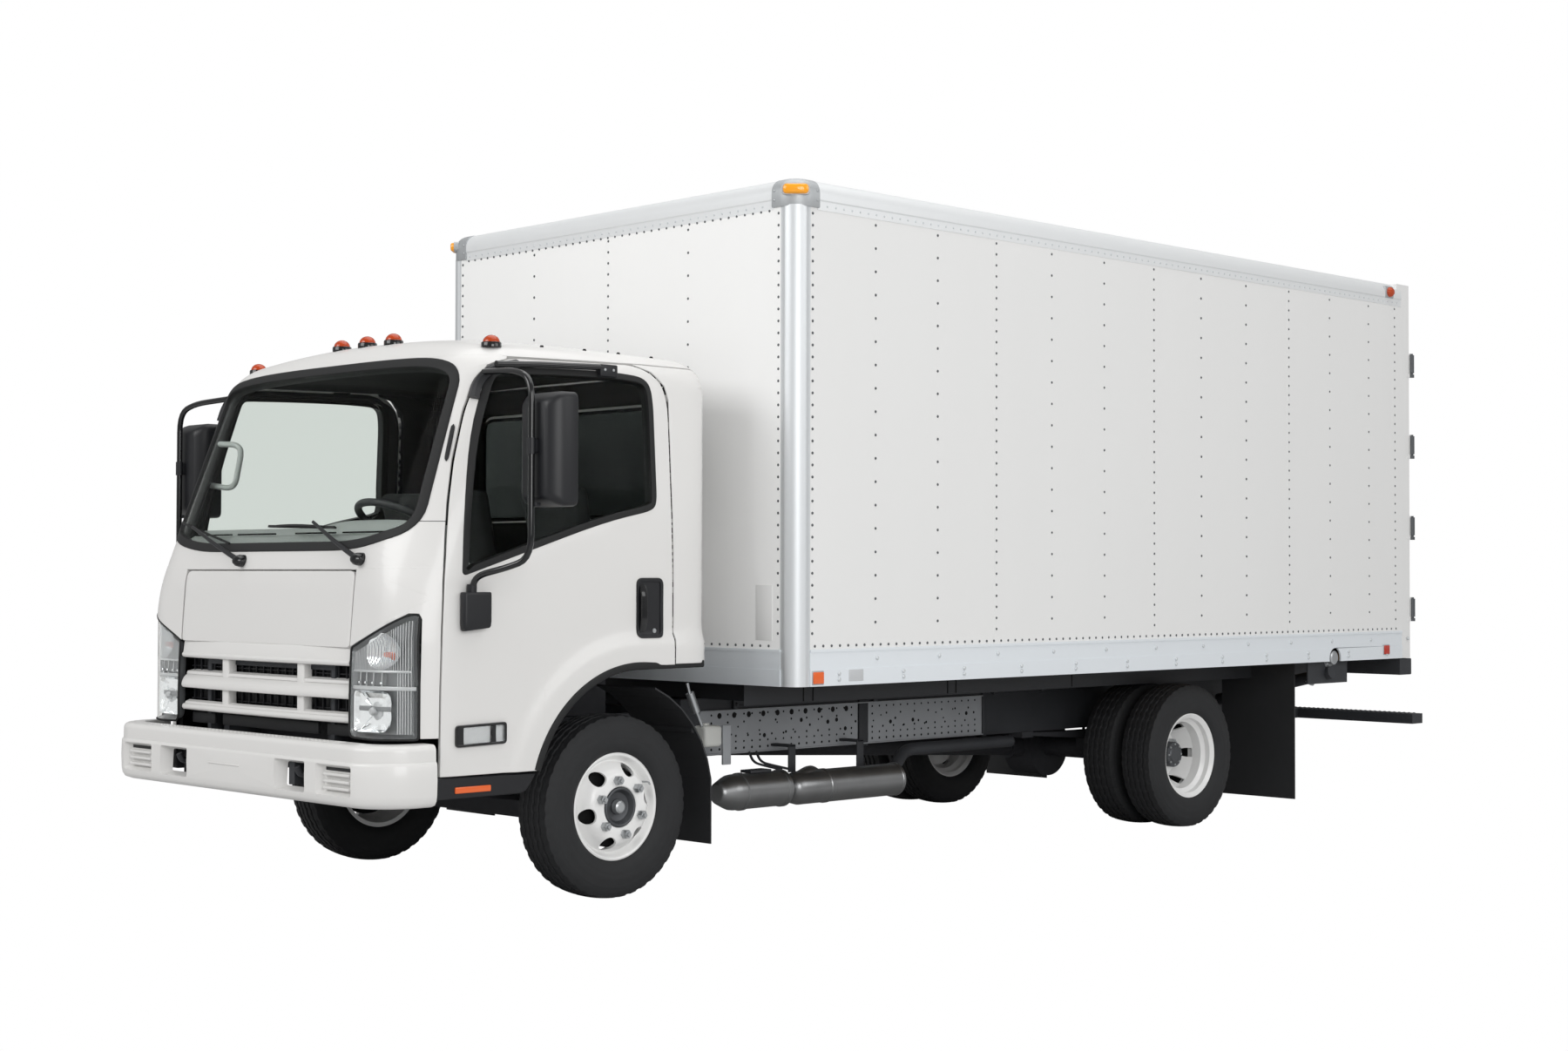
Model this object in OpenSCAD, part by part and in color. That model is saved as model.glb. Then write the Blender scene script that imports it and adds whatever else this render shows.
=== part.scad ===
// Cab-over cargo truck with a riveted van body, in millimetres.
// +X is the truck's left side, -Y its front, +Z up. The origin is on the ground at the middle of its
// bounding box.

/* [Layout] */
// Front axle to rear axle
wheelbase = 3810; // [3600:10:4200]
// Front axle to the bumper's face
front_overhang = 1225; // [1200:5:1260]
// Rear axle to the back edge of the rear step
rear_overhang = 2095; // [2060:5:2200]
// Middle of one front tyre to the middle of the other
track_front = 1665; // [1640:5:1690]
// Middle of one rear pair of tyres to the middle of the other
track_rear = 1650; // [1620:5:1680]
// Middle of the inner tyre of a pair to the middle of the outer one
dual_pitch = 248; // [240:1:256]

/* [Tyres and wheels] */
// Outer diameter of a tyre as it stands
tyre_d = 748; // [730:2:770]
// Widest part of a tyre
tyre_w = 214; // [205:1:222]
// Diameter over the rim's flanges
rim_lip_d = 444; // [436:1:452]
// Width over the rim's flanges
rim_w = 164; // [158:1:170]
// Bolt circle of the wheel nuts
nut_pcd = 222; // [210:1:230]
// Centre hole of a wheel disc
disc_hole_d = 166; // [158:1:172]

/* [Ladder frame] */
// Width over the frame rails
frame_w = 850; // [830:5:870]
// Height of a frame rail
rail_h = 210; // [190:5:230]
// Underside of the frame rails above the ground
rail_z = 495; // [485:5:505]

/* [Cargo body] */
// Front axle to the outer face of the body's front wall
body_setback = 717; // [690:1:760]
// Width over the side walls
body_w = 2438; // [2300:2:2500]
// Lower edge of the body's bottom rails above the ground
body_low_z = 842; // [836:2:860]
// Height of the body from its lower edge to its roof
body_h = 2150; // [1900:10:2300]
// Thickness of a wall with its posts and lining
wall_t = 50; // [40:1:60]

/* [Cab] */
// Width of the cab over its doors
cab_w = 2016; // [1980:2:2040]
// Front axle to the cab's front face
cab_front = 1092; // [1080:1:1100]
// Front axle to the cab's back face
cab_back = 480; // [440:5:520]
// Top of the roof above the ground
cab_top_z = 2285; // [2240:5:2320]
// Thickness of the doors and cab walls
cab_t = 45; // [36:1:50]

/* [Hidden] */
axle_y = front_overhang - (front_overhang + wheelbase + rear_overhang) / 2;
overrun = 20;
run_gap = 0.05;
seat_gap = 0.3;
door_gap = 7;
smooth = 64;
arc_steps = 6;
step_reach = 188;
body_l = wheelbase + rear_overhang - step_reach - body_setback;

paint = "whitesmoke";
bare = "silver";
dark = "#2b2d30";
black = "#161718";
steel = "#55585c";

// Wheel and tyre
tyre_r = tyre_d / 2;
rim_lip_r = rim_lip_d / 2;
rim_t = 8;
rim_seat_r = rim_lip_r - 19;
rim_well_r = rim_seat_r - 21;
flange_w = 13;
bead_w = 40;
well_ramp = 14;
disc_t = 11;
disc_face_r = 138;
disc_root_share = 0.3;
hand_hole_r = 24;
hand_hole_at_r = 165;
hand_holes = 6;
nut_d = 33;
nut_h = 26;
nuts = 6;
hub_r = 62;
hub_cap_h = 26;
drum_r = 160;
drum_w = 92;
hub_end_gap = 20;

// Front axle, steering and springs
kingpin_off = 132;
kingpin_x = track_front / 2 - kingpin_off;
kingpin_r = 18;
spindle_r = 30;
eye_r = 46;
eye_h = 96;
ear_h = 30;
ear_gap = 1;
ear_w = 84;
stub_wall = 14;
beam_h = 72;
beam_w = 64;
beam_drop = 52;
beam_rise_l = 120;
beam_end_x = kingpin_x - eye_r - 2 * ear_gap;
arm_w = 38;
arm_back = 185;
tie_rod_r = 15;
ball_r = 19;
ball_pin_r = 11;
ball_h = 34;
spring_x = frame_w / 2 - 36;
spring_w = 70;
spring_leaf_t = 15;
spring_eye_r = 26;
hanger_w = 90;

// Frame, engine and driveline
rail_t = 9;
rail_flange = 68;
rail_top_z = rail_z + rail_h;
frame_front_y = -958;
frame_tail = 210;
frame_back_y = body_setback + body_l - frame_tail;
cross_w = 70;
cross_h = 120;
tilt_y = -985;
tilt_z = 770;
tilt_pin_r = 16;
tilt_bracket_x = 390;
tilt_bracket_w = 40;
tilt_bracket_l = 50;
bumper_horn_h = 120;
engine_l = 820;
engine_w = 520;
engine_h = 470;
engine_front_y = -330;
engine_z = 430;
engine_mount_w = 80;
engine_mount_h = 60;
gearbox_l = 420;
gearbox_w = 300;
gearbox_h = 220;
shaft_r = 45;
shaft_gap = 4;
shaft_drop = 20;
radiator_y = -900;
radiator_l = 80;
radiator_w = 600;
radiator_h = 370;
banjo_r = 165;
banjo_w = 190;
axle_tube_r = 56;
hub_spindle_r = 40;

// Hitch plate at the frame's tail
hitch_h = 150;
hitch_t = 16;
hitch_hole_r = 9;
hitch_dx = 180;
hitch_dz = 90;

// Exhaust: cans as [y of the front end, length, radius, drop of its axis]
exhaust_out = 175;
exhaust_x = frame_w / 2 + exhaust_out;
exhaust_z = 350;
can_y = 842;
can_l = 420;
can_r = 80;
muffler_y = 1500;
muffler_l = 585;
muffler_r = 72;
muffler_drop = 12;
pipe_r = 32;
strap_w = 26;
strap_t = 6;

// Fuel tank and filler
tank_back = 640;
tank_y = wheelbase + tank_back;
tank_l = 760;
tank_w = 560;
tank_h = 240;
filler_along = 455;
filler_y = tank_y + filler_along;
filler_r = 34;
filler_plate_l = 400;
filler_plate_h = 122;
filler_plate_t = 8;
filler_neck_l = 24;

// Bumper
bumper_side = 22;
bumper_w = cab_w + 2 * bumper_side;
bumper_r = 210;
bumper_z = 447;
bumper_h = 235;
bumper_t = 42;
bumper_lip = 52;
bumper_end_y = -962;
bumper_chamfer = 34;
pocket_shares = [0.433, 0.695];
hook_x = bumper_w / 2 * pocket_shares[0];
hook_w = 158;
hook_h = 105;
fog_x = bumper_w / 2 * pocket_shares[1];
fog_w = 182;
fog_h = 104;
fog_depth = 22;
pocket_z = 512;

// Rear step
step_short = 29;
step_w = body_w - 2 * step_short;
step_l = 115;
step_h = 57;
step_z = 455;
step_hanger_w = 70;
step_back_y = wheelbase + rear_overhang;

// Guards and flaps
guard_r = 506;
guard_t = 7;
guard_w = 375;
guard_out = 102.5;
guard_out_x = track_front / 2 + guard_out;
guard_in_x = guard_out_x - guard_w;
guard_low_a = 9;
guard_high_a = 68;
flap_t = 8;
front_flap_h = 270;
rear_flap_back = 880;
rear_flap_y = wheelbase + rear_flap_back;
rear_flap_w = 470;
rear_flap_in = 119;
rear_flap_z = 90;
stay_r = 12;

// Cargo body
body_y = body_setback;
body_back_y = body_setback + body_l;
body_top_z = body_low_z + body_h;
body_hw = body_w / 2;
sill_h = 50;
sill_w = 70;
beam_pitch = 406.4;
beam_body_w = 50;
beam_short = 400;
floor_t = 45;
post_r = 88;
post_leg = 36;
top_rail_h = 118;
top_rail_r = 66;
bottom_rail_h = 150;
bottom_rail_t = 5;
cap_t = 4;
roof_t = 45;
rear_frame_l = 136;
rear_post_w = 92;
rear_header_h = 210;

// Rear doors
rdoor_t = 42;
rdoor_gap = 8;
rhinge_r = 11;
rhinge_out = 22;
rhinge_beyond = 2;
rhinge_h = 120;
rhinges = 4;
lock_rod_r = 14;
lock_rod_off = 30;

// Cab skin: places from the front axle
cab_hw = cab_w / 2;
cab_lead = 4;
cab_corner_r = 250;
cab_back_r = 175;
cab_low_z = 548;
brow_z = 950;
nose_top_z = 1330;
nose_set = 28;
screen_low_z = 1400;
screen_low_set = 48;
screen_rake = 21.1;
screen_r = 300;
roof_front_r = 170;
roof_back_r = 160;
belt_z = 1250;
eaves_z = 2090;
eaves_in = 46;
eaves_r = 135;
crown = 56;
cab_side_extra = 5;
screen_low_y = -cab_front + screen_low_set;

// Door, arch and window outlines
door_front_y = -929;
door_back_y = 232;
door_low_z = 555;
door_top_z = 2168;
door_l = door_back_y - door_front_y;
door_h = door_top_z - door_low_z;
// Columns: share of the door's length from its front, share of its height from its foot
door_front_shares = [[0, 0], [0, 0.39], [0.015, 0.61], [0.042, 0.712], [0.091, 0.816], [0.15, 0.9],
    [0.22, 0.974], [0.3, 0.99]];
door_back_shares = [[0.86, 1], [0.93, 0.985], [0.98, 0.95], [1, 0.9]];
// Columns: share of the door's length, share of its height
window_shares = [[0.091, 0.47], [0.103, 0.6], [0.15, 0.8], [0.225, 0.95], [0.27, 0.965], [0.88, 0.966],
    [0.912, 0.945],
    [0.921, 0.9], [0.922, 0.655], [0.905, 0.635], [0.68, 0.602]];
arch_y = 40;
arch_z = 400;
arch_r = 545;
flare_r = 680;
flare_top_z = 1018;
flare_out = 14;
arch_top_z = arch_z + arch_r;
sill_trim_h = 70;
hinge_in = 32;
hinge_back = 16;
hinge_r = 8;
hinge_pin_r = 4;
hinge_h = 60;
hinge_clear = 6;
hinge_arm_l = 40;
hinge_x = cab_hw - hinge_in;
hinge_y = door_front_y - hinge_back;
// Heights of the hinges as shares of the door's height
hinge_shares = [0.16, 0.37];
sill_trim_w = 110;

// Cab inside
foot_in_x = 450;
foot_z = 590;
foot_wall = 25;
foot_back_y = -482;
deck_z = 940;
deck_t = 30;
dash_z = 1180;
dash_h = 285;
dash_l = 440;
// Width of the driver's seat, and the bench's width and middle, as shares of the cab's half width
seat_share = 0.48;
seat_side = 560;
bench_shares = [0.853, -0.4167];
seat_w = cab_hw * seat_share;
seat_l = 480;
seat_h = 130;
seat_x = cab_hw - seat_side;
seat_y = -260;
seat_back_h = 640;
seat_back_t = 120;
bench_w = cab_hw * bench_shares[0];
bench_x = cab_hw * bench_shares[1];
wheel_rim_r = 205;
wheel_grip_r = 15;
wheel_y = -690;
wheel_z = 1495;
column_tilt = 28;
column_l = 330;
column_r = 32;
column_shaft_r = 11;

// Grille, lamps and mirrors
grille_share = 0.621;
grille_hw = cab_hw * grille_share;
grille_top_z = 1034;
grille_low_z = 748;
grille_t = 36;
strut_share = 0.45;
strut_x = grille_hw * strut_share;
strut_w = 62;
// Columns: foot of an opening above the grille's foot and its height, as shares of the grille's height
grille_gap_shares = [[0.066, 0.242], [0.514, 0.238]];
lamp_gap = 6;
lamp_side = 40;
lamp_in_x = grille_hw + lamp_gap;
lamp_out_x = cab_hw - lamp_side;
lamp_low_z = 696;
lamp_back = 41;
lamp_in_top_z = 1040;
lamp_out_top_z = 1166;
lamp_t = cab_t - cab_side_extra;
roof_lamp_r = 38;
roof_lamp_y = -590;
// Places across the roof as shares of the cab's half width
roof_lamp_shares = [-0.846, -0.1885, 0, 0.1885, 0.846];
side_lamp_w = 70;
side_lamp_h = 70;
side_lamp_t = 12;
cap_lamp_w = 110;
cap_lamp_h = 52;
mirror_out = 282;
mirror_x = cab_hw + mirror_out;
mirror_y = -732;
mirror_w = 190;
mirror_h = 420;
mirror_t = 90;
mirror_z = 1572;
stay_top_z = 2045;
stay_low_z = 1378;
brace_y = -96;
brace_z = 2110;
brace_r = 8;
knob_share = 1.3;
bracket_w = 150;
bracket_h = 150;
bracket_t = 26;
bracket_y = -850;
bracket_z = 1113;
wiper_t = 12;
wiper_l = 560;

// Sizes that join one group to another
glass_in = 12;
glass_t = 6;
// Half widths of the screen at its lower corners, its lower edge and its top, as shares of the cab's
// half width
screen_shares = [0.863, 0.635, 0.801];
screen_low_hw = cab_hw * screen_shares[0];
screen_mid_hw = cab_hw * screen_shares[1];
screen_hole_z = 1415;
screen_side_z = 1475;
screen_top_hw = cab_hw * screen_shares[2];
screen_top_z = 2105;
screen_top_cut = 90;
screen_top_rise = 45;
screen_top_y = -690;
roof_split_z = door_top_z + door_gap;
door_deep = 153;
door_in_x = cab_hw - door_deep;
back_window_share = 0.615;
back_window_w = cab_w * back_window_share;
back_window_z = 1560;
back_window_h = 480;
// Crossmembers behind the cab as shares of the wheelbase
cross_shares = [0.2467, 0.3937, 0.6824, 0.8661, 1.1339];
spring_seat_h = 7;
front_pad_z = tyre_r + beam_h / 2 - beam_drop + spring_seat_h;
rear_pad_h = 60;
rear_tube_short = 185;
rear_spindle_out = 80;
rear_tube_x = track_rear / 2 - rear_tube_short;
rear_spindle_x = track_rear / 2 + rear_spindle_out;
banjo_nose_r = 60;
banjo_nose_l = 90;
leaves = 3;
front_spring_hl = 580;
front_sag = 55;
rear_spring_hl = 600;
rear_sag = 12;
radiator_z = 530;
tail_pipe_short = 810;
tail_pipe_y = wheelbase - tail_pipe_short;
tank_drop = 20;
guard_stay_a = 35;
filler_x = body_hw - wall_t + filler_plate_t + seat_gap;
rear_flap_out_x = body_hw - rear_flap_in;
filler_z = body_low_z - filler_plate_h / 2;
beams = floor(body_l / beam_pitch);
beam_half_l = body_hw - beam_short;
rdoor_low_z = body_low_z + floor_t + rdoor_gap;
rdoor_h = body_h - floor_t - rear_header_h - 2 * rdoor_gap;
rdoor_out_x = body_hw - rear_post_w - rdoor_gap;
rhinge_x = body_hw + rhinge_beyond;
rhinge_y = body_back_y + rhinge_out;
rhinge_lug_r = 17;
rhinge_lug_h = 18;
rhinge_strap_l = 300;
lock_rod_share = 0.555;
lock_rod_x = rdoor_out_x * lock_rod_share;
side_lamp_in = 137;
side_lamp_back = 276;
tail_lamp_w = 420;
tail_lamp_h = 100;
foot_front_y = -cab_front;
foot_out_x = cab_hw - cab_t - door_gap;
sill_back_y = -500;
dash_side = 145;
dash_hw = cab_hw - dash_side;
dash_front_y = -cab_front;
dash_brow_share = 0.58;
wheel_hub_h = 60;
wheel_hub_r = 60;
seat_rake = 12;
// Wiper pivots as shares of the cab's half width
wiper_shares = [-0.06, 0.556];
wiper_w = 16;
wiper_arm_l = 420;
wiper_lean = 60;
wiper_blade_lean = 25;
roof_lamp_sink = 6;
handle_y = 39;
handle_l = 136;
handle_z = 1180;
handle_h = 110;
handle_depth = 18;
stub_x = 68;
stub_end = 90;
tyre_mid_r = 292;
tyre_shoulder = 26;
tyre_bead_share = 0.86;
tyre_shoulder_share = 0.93;
tyre_tread_share = 0.76;
rear_hub_l = 120;

// Points of an arc, ends included
function arc(c, r, a0, a1) = [for (k = [0 : arc_steps]) let (a = a0 + (a1 - a0) * k / arc_steps)
    c + r * [cos(a), sin(a)]];

module at_axle() {
    translate([0, axle_y, 0]) children();
}

module both_sides() {
    children();
    mirror([1, 0, 0]) children();
}

// Box between two corners
module block(lo, hi) {
    translate(lo) cube(hi - lo);
}

// Prism of a [y, z] outline from x0 to x1
module across(x0, x1) {
    translate([x0, 0, 0]) rotate([90, 0, 90]) linear_extrude(height = x1 - x0) children();
}

// Prism of an [x, z] outline from y0 to y1
module along(y0, y1) {
    translate([0, y1, 0]) rotate([90, 0, 0]) linear_extrude(height = y1 - y0) children();
}

module rod(p, q, r) {
    d = q - p;
    l = norm(d);
    translate(p) rotate([0, acos(d[2] / l), atan2(d[1], d[0])]) cylinder(r = r, h = l, $fn = smooth);
}

// Cab solid, its outer faces moved in by i
function plan_pts(i) = let (hw = cab_hw - i, yf = -cab_front - cab_lead + i, yr = cab_back - i,
    rf = cab_corner_r - i, rr = cab_back_r - i) concat(
    arc([hw - rf, yf + rf], rf, -90, 0), arc([hw - rr, yr - rr], rr, 0, 90),
    arc([rr - hw, yr - rr], rr, 90, 180), arc([rf - hw, yf + rf], rf, 180, 270));

function screen_pts(i) = let (hw = cab_hw + cab_side_extra - i, r = screen_r - i, y = i - cab_lead) concat(
    [[-hw, cab_front + cab_back], [-hw, y + r]], arc([r - hw, y + r], r, 180, 270),
        arc([hw - r, y + r], r, 270, 360),
    [[hw, y + r], [hw, cab_front + cab_back]]);

function front_pts(i) = let (hw = cab_hw + cab_side_extra - i, ex = cab_hw - eaves_in - i, r = eaves_r - i,
    cr = (pow(ex - r, 2) + pow(crown, 2)) / (2 * crown), ca = asin((ex - r) / cr),
        cz = cab_top_z - i - cr) concat(
    [[-hw, cab_low_z], [hw, cab_low_z], [hw, belt_z]], arc([ex - r, eaves_z], r, 0, 60),
    [for (k = [0 : 2 * arc_steps]) let (a = ca * (1 - k / arc_steps)) [cr * sin(a), cz + cr * cos(a)]],
    arc([r - ex, eaves_z], r, 120, 180), [[-hw, belt_z]]);

function side_pts(i) = let (y0 = -cab_front + i, g = i / cos(screen_rake), t = tan(screen_rake),
    zt = cab_top_z + cab_lead - i, r = roof_front_r - i, cz = zt - r,
    cy = screen_low_y + g + t * (cz - screen_low_z) + r / cos(screen_rake), rb = roof_back_r - i,
    yb = cab_back + cab_side_extra - i) concat(
    [[y0, cab_low_z], [y0, brow_z], [y0 + nose_set, nose_top_z], [screen_low_y + g, screen_low_z]],
    arc([cy, cz], r, 180 - screen_rake, 90), arc([yb - rb, zt - rb], rb, 90, 0), [[yb, cab_low_z]]);

module cab_solid(i) {
    intersection() {
        translate([0, 0, cab_low_z]) linear_extrude(height = cab_top_z) polygon(plan_pts(i));
        translate([0, screen_low_y, screen_low_z]) rotate([-screen_rake, 0, 0])
            translate([0, 0, -cab_top_z]) linear_extrude(height = 2 * cab_top_z) polygon(screen_pts(i));
        along(-cab_front - overrun, cab_back + overrun) polygon(front_pts(i));
        across(-cab_w, cab_w) polygon(side_pts(i));
    }
}

module cab_shell() {
    difference() {
        cab_solid(0);
        cab_solid(cab_t);
    }
}

module glass_shell() {
    difference() {
        cab_solid(glass_in);
        cab_solid(glass_in + glass_t);
    }
}

function door_pts(g) = concat(
    [for (p = door_front_shares) [door_front_y + g + p[0] * (door_l - g),
        door_low_z + p[1] * (door_h - g)]],
    [for (p = door_back_shares) [door_front_y + p[0] * door_l - g, door_low_z + p[1] * (door_h - g)]],
    [[door_back_y - g, door_low_z]]);

function window_pts() = [for (p = window_shares) [door_front_y + p[0] * door_l,
    door_low_z + p[1] * door_h]];

module arch_area() {
    union() {
        translate([arch_y, arch_z]) circle(r = arch_r, $fn = smooth);
        translate([arch_y, 0]) square([cab_back, arch_top_z]);
    }
}

module flare_area() {
    difference() {
        intersection() {
            translate([arch_y, arch_z]) circle(r = flare_r, $fn = smooth);
            translate([-cab_front, 0]) square([cab_front + cab_back, flare_top_z]);
        }
        arch_area();
    }
}

// Openings of the screen and of the back window, [x, z] outlines
function screen_hole_pts() = [[-screen_low_hw, screen_side_z], [-screen_mid_hw, screen_hole_z],
    [screen_mid_hw, screen_hole_z], [screen_low_hw, screen_side_z], [screen_top_hw, screen_top_z],
    [screen_top_hw - screen_top_cut, screen_top_z + screen_top_rise],
    [screen_top_cut - screen_top_hw, screen_top_z + screen_top_rise], [-screen_top_hw, screen_top_z]];

module screen_hole() {
    along(-cab_front - overrun, foot_back_y) polygon(screen_hole_pts());
}

module back_hole() {
    block([-back_window_w / 2, 0, back_window_z],
        [back_window_w / 2, cab_back + overrun, back_window_z + back_window_h]);
}

module lamp_hole(g) {
    along(-cab_front - overrun, door_front_y - lamp_back)
        polygon([[lamp_in_x - g, lamp_low_z - g], [lamp_out_x + g, lamp_low_z - g],
            [lamp_out_x + g, lamp_out_top_z + g],
            [lamp_in_x - g, lamp_in_top_z + g]]);
}

module ladder_frame() color(dark) at_axle() {
    both_sides() {
        difference() {
            block([frame_w / 2 - rail_flange, frame_front_y, rail_z],
                [frame_w / 2, frame_back_y, rail_top_z]);
            block([frame_w / 2 - rail_flange - overrun, frame_front_y - overrun, rail_z + rail_t],
                [frame_w / 2 - rail_t, frame_back_y + overrun, rail_top_z - rail_t]);
        }
        // Front end of the rail: tilt bracket above, bumper horn ahead
        block([tilt_bracket_x - tilt_bracket_w / 2, frame_front_y - tilt_bracket_l, rail_z + rail_t],
            [tilt_bracket_x + tilt_bracket_w / 2, frame_front_y + tilt_bracket_l,
                tilt_z + tilt_bracket_l / 2]);
        block([tilt_bracket_x - tilt_bracket_w / 2, -front_overhang + bumper_t + seat_gap, rail_z + rail_t],
            [tilt_bracket_x + tilt_bracket_w / 2, frame_front_y - tilt_bracket_l + overrun,
                rail_z + bumper_horn_h]);
        translate([tilt_bracket_x, tilt_y, tilt_z]) rotate([0, 90, 0])
            cylinder(r = tilt_pin_r, h = foot_in_x + foot_wall - tilt_bracket_x, $fn = smooth);
    }
    for (y = concat([radiator_y + radiator_l + seat_gap], wheelbase * cross_shares))
        block([-frame_w / 2 + rail_t + seat_gap, y, rail_top_z - rail_t - seat_gap - cross_h],
            [frame_w / 2 - rail_t - seat_gap, y + cross_w, rail_top_z - rail_t - seat_gap]);
    // Tail crossmember with its hitch plate
    difference() {
        block([-frame_w / 2 + rail_flange + seat_gap, frame_back_y - hitch_t,
            rail_z + rail_h / 2 - hitch_h / 2],
            [frame_w / 2 - rail_flange - seat_gap, frame_back_y, rail_z + rail_h / 2 + hitch_h / 2]);
        for (x = [-hitch_dx / 2, hitch_dx / 2], z = [-hitch_dz / 2, hitch_dz / 2])
            translate([x, frame_back_y + overrun, rail_z + rail_h / 2 + z]) rotate([90, 0, 0])
                cylinder(r = hitch_hole_r, h = hitch_t + 2 * overrun, $fn = smooth);
    }
}

module front_axle() color(steel) at_axle() {
    difference() {
        union() {
            along(-beam_w / 2, beam_w / 2) polygon([
                [-kingpin_x, tyre_r - beam_h / 2], [-beam_end_x, tyre_r - beam_h / 2],
                [beam_rise_l - beam_end_x, tyre_r - beam_h / 2 - beam_drop],
                [beam_end_x - beam_rise_l, tyre_r - beam_h / 2 - beam_drop],
                    [beam_end_x, tyre_r - beam_h / 2],
                [kingpin_x, tyre_r - beam_h / 2], [kingpin_x, tyre_r + beam_h / 2],
                    [beam_end_x, tyre_r + beam_h / 2],
                [beam_end_x - beam_rise_l, tyre_r + beam_h / 2 - beam_drop],
                [beam_rise_l - beam_end_x, tyre_r + beam_h / 2 - beam_drop],
                    [-beam_end_x, tyre_r + beam_h / 2],
                [-kingpin_x, tyre_r + beam_h / 2]]);
            both_sides() translate([kingpin_x, 0, tyre_r - eye_h / 2])
                cylinder(r = eye_r, h = eye_h, $fn = smooth);
            both_sides() block([spring_x - spring_w / 2, -hanger_w,
                tyre_r + beam_h / 2 - beam_drop - overrun],
                [spring_x + spring_w / 2, hanger_w, front_pad_z]);
        }
        both_sides() translate([kingpin_x, 0, tyre_r - eye_h])
            cylinder(r = kingpin_r + run_gap, h = 2 * eye_h, $fn = smooth);
    }
}

module rear_axle() color(steel) at_axle() {
    translate([0, wheelbase, tyre_r]) {
        rotate([0, 90, 0]) cylinder(r = axle_tube_r, h = 2 * rear_tube_x, center = true, $fn = smooth);
        rotate([0, 90, 0]) cylinder(r = banjo_r, h = banjo_w, center = true, $fn = smooth);
        rotate([90, 0, 0]) cylinder(r = banjo_nose_r, h = banjo_r + banjo_nose_l, $fn = smooth);
        rotate([0, 90, 0]) cylinder(r = hub_spindle_r, h = 2 * rear_spindle_x, center = true, $fn = smooth);
        both_sides() block([spring_x - spring_w / 2, -hanger_w, 0],
            [spring_x + spring_w / 2, hanger_w, rear_pad_h]);
    }
    // Propeller shaft from the gearbox to the axle's nose
    rod([0, engine_front_y + engine_l + gearbox_l + shaft_gap, engine_z + gearbox_h / 2 - shaft_drop],
        [0, wheelbase - banjo_r - banjo_nose_l - seat_gap, tyre_r], shaft_r);
}

// Outline of a leaf pack: its top leaf bowed down at the middle, the shorter leaves under it
function leaf_pts(half_l, sag) = let (r = (pow(half_l, 2) + pow(sag, 2)) / (2 * sag)) concat(
    [for (k = [-arc_steps : arc_steps]) let (y = half_l * k / arc_steps) [y,
        r - sqrt(pow(r, 2) - pow(y, 2))]],
    [for (k = [-arc_steps : arc_steps]) let (y = -half_l * k / arc_steps)
        [y, r - sqrt(pow(r, 2) - pow(y, 2))
            - spring_leaf_t * (1 + (leaves - 1) * (1 - abs(k) / arc_steps))]]);

module leaf_pack(half_l, sag, y, z) {
    both_sides() translate([0, y, z]) across(spring_x - spring_w / 2, spring_x + spring_w / 2)
        polygon(leaf_pts(half_l, sag));
}

module leaf_springs() color(steel) at_axle() {
    leaf_pack(front_spring_hl, front_sag, 0, front_pad_z + leaves * spring_leaf_t);
    leaf_pack(rear_spring_hl, rear_sag, wheelbase, tyre_r + rear_pad_h + leaves * spring_leaf_t);
    both_sides() {
        for (y = [-front_spring_hl, front_spring_hl])
            hanger(y, front_pad_z + leaves * spring_leaf_t + front_sag);
        for (y = [wheelbase - rear_spring_hl, wheelbase + rear_spring_hl])
            hanger(y, tyre_r + rear_pad_h + leaves * spring_leaf_t + rear_sag);
    }
}

// Hanger under a frame rail around a spring's eye
module hanger(y, z) {
    block([spring_x - hanger_w / 2, y - hanger_w / 2, z - spring_eye_r],
        [spring_x + hanger_w / 2, y + hanger_w / 2, rail_z - seat_gap]);
}

module engine() color(steel) at_axle() {
    block([-engine_w / 2, engine_front_y, engine_z],
        [engine_w / 2, engine_front_y + engine_l, engine_z + engine_h]);
    block([-gearbox_w / 2, engine_front_y + engine_l - overrun, engine_z],
        [gearbox_w / 2, engine_front_y + engine_l + gearbox_l, engine_z + gearbox_h]);
    // Mounts out to the frame rails
    both_sides() block([engine_w / 2 - overrun, engine_front_y + engine_l / 2,
        rail_z + rail_h / 2 - engine_mount_h / 2],
        [frame_w / 2 - rail_t - seat_gap, engine_front_y + engine_l / 2 + engine_mount_w,
            rail_z + rail_h / 2 + engine_mount_h / 2]);
}

module radiator() color(black) at_axle() {
    block([-radiator_w / 2, radiator_y, radiator_z],
        [radiator_w / 2, radiator_y + radiator_l, radiator_z + radiator_h]);
}

module exhaust() color(steel) at_axle() {
    rod([exhaust_x, can_y, exhaust_z], [exhaust_x, can_y + can_l, exhaust_z], can_r);
    rod([exhaust_x, can_y + can_l - overrun, exhaust_z - muffler_drop],
        [exhaust_x, muffler_y + overrun, exhaust_z - muffler_drop], pipe_r);
    rod([exhaust_x, muffler_y, exhaust_z - muffler_drop],
        [exhaust_x, muffler_y + muffler_l, exhaust_z - muffler_drop], muffler_r);
    rod([exhaust_x, muffler_y + muffler_l - overrun, exhaust_z - muffler_drop],
        [exhaust_x, tail_pipe_y, exhaust_z - muffler_drop], pipe_r);
    // Straps up to the frame rail
    for (y = [can_y + can_l / 2, muffler_y + muffler_l / 2]) {
        block([exhaust_x - strap_t / 2, y, exhaust_z],
            [exhaust_x + strap_t / 2, y + strap_w, rail_z + rail_h / 2]);
        block([frame_w / 2 + seat_gap, y, rail_z + rail_h / 2 - strap_t],
            [exhaust_x + strap_t / 2, y + strap_w, rail_z + rail_h / 2]);
    }
}

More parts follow.
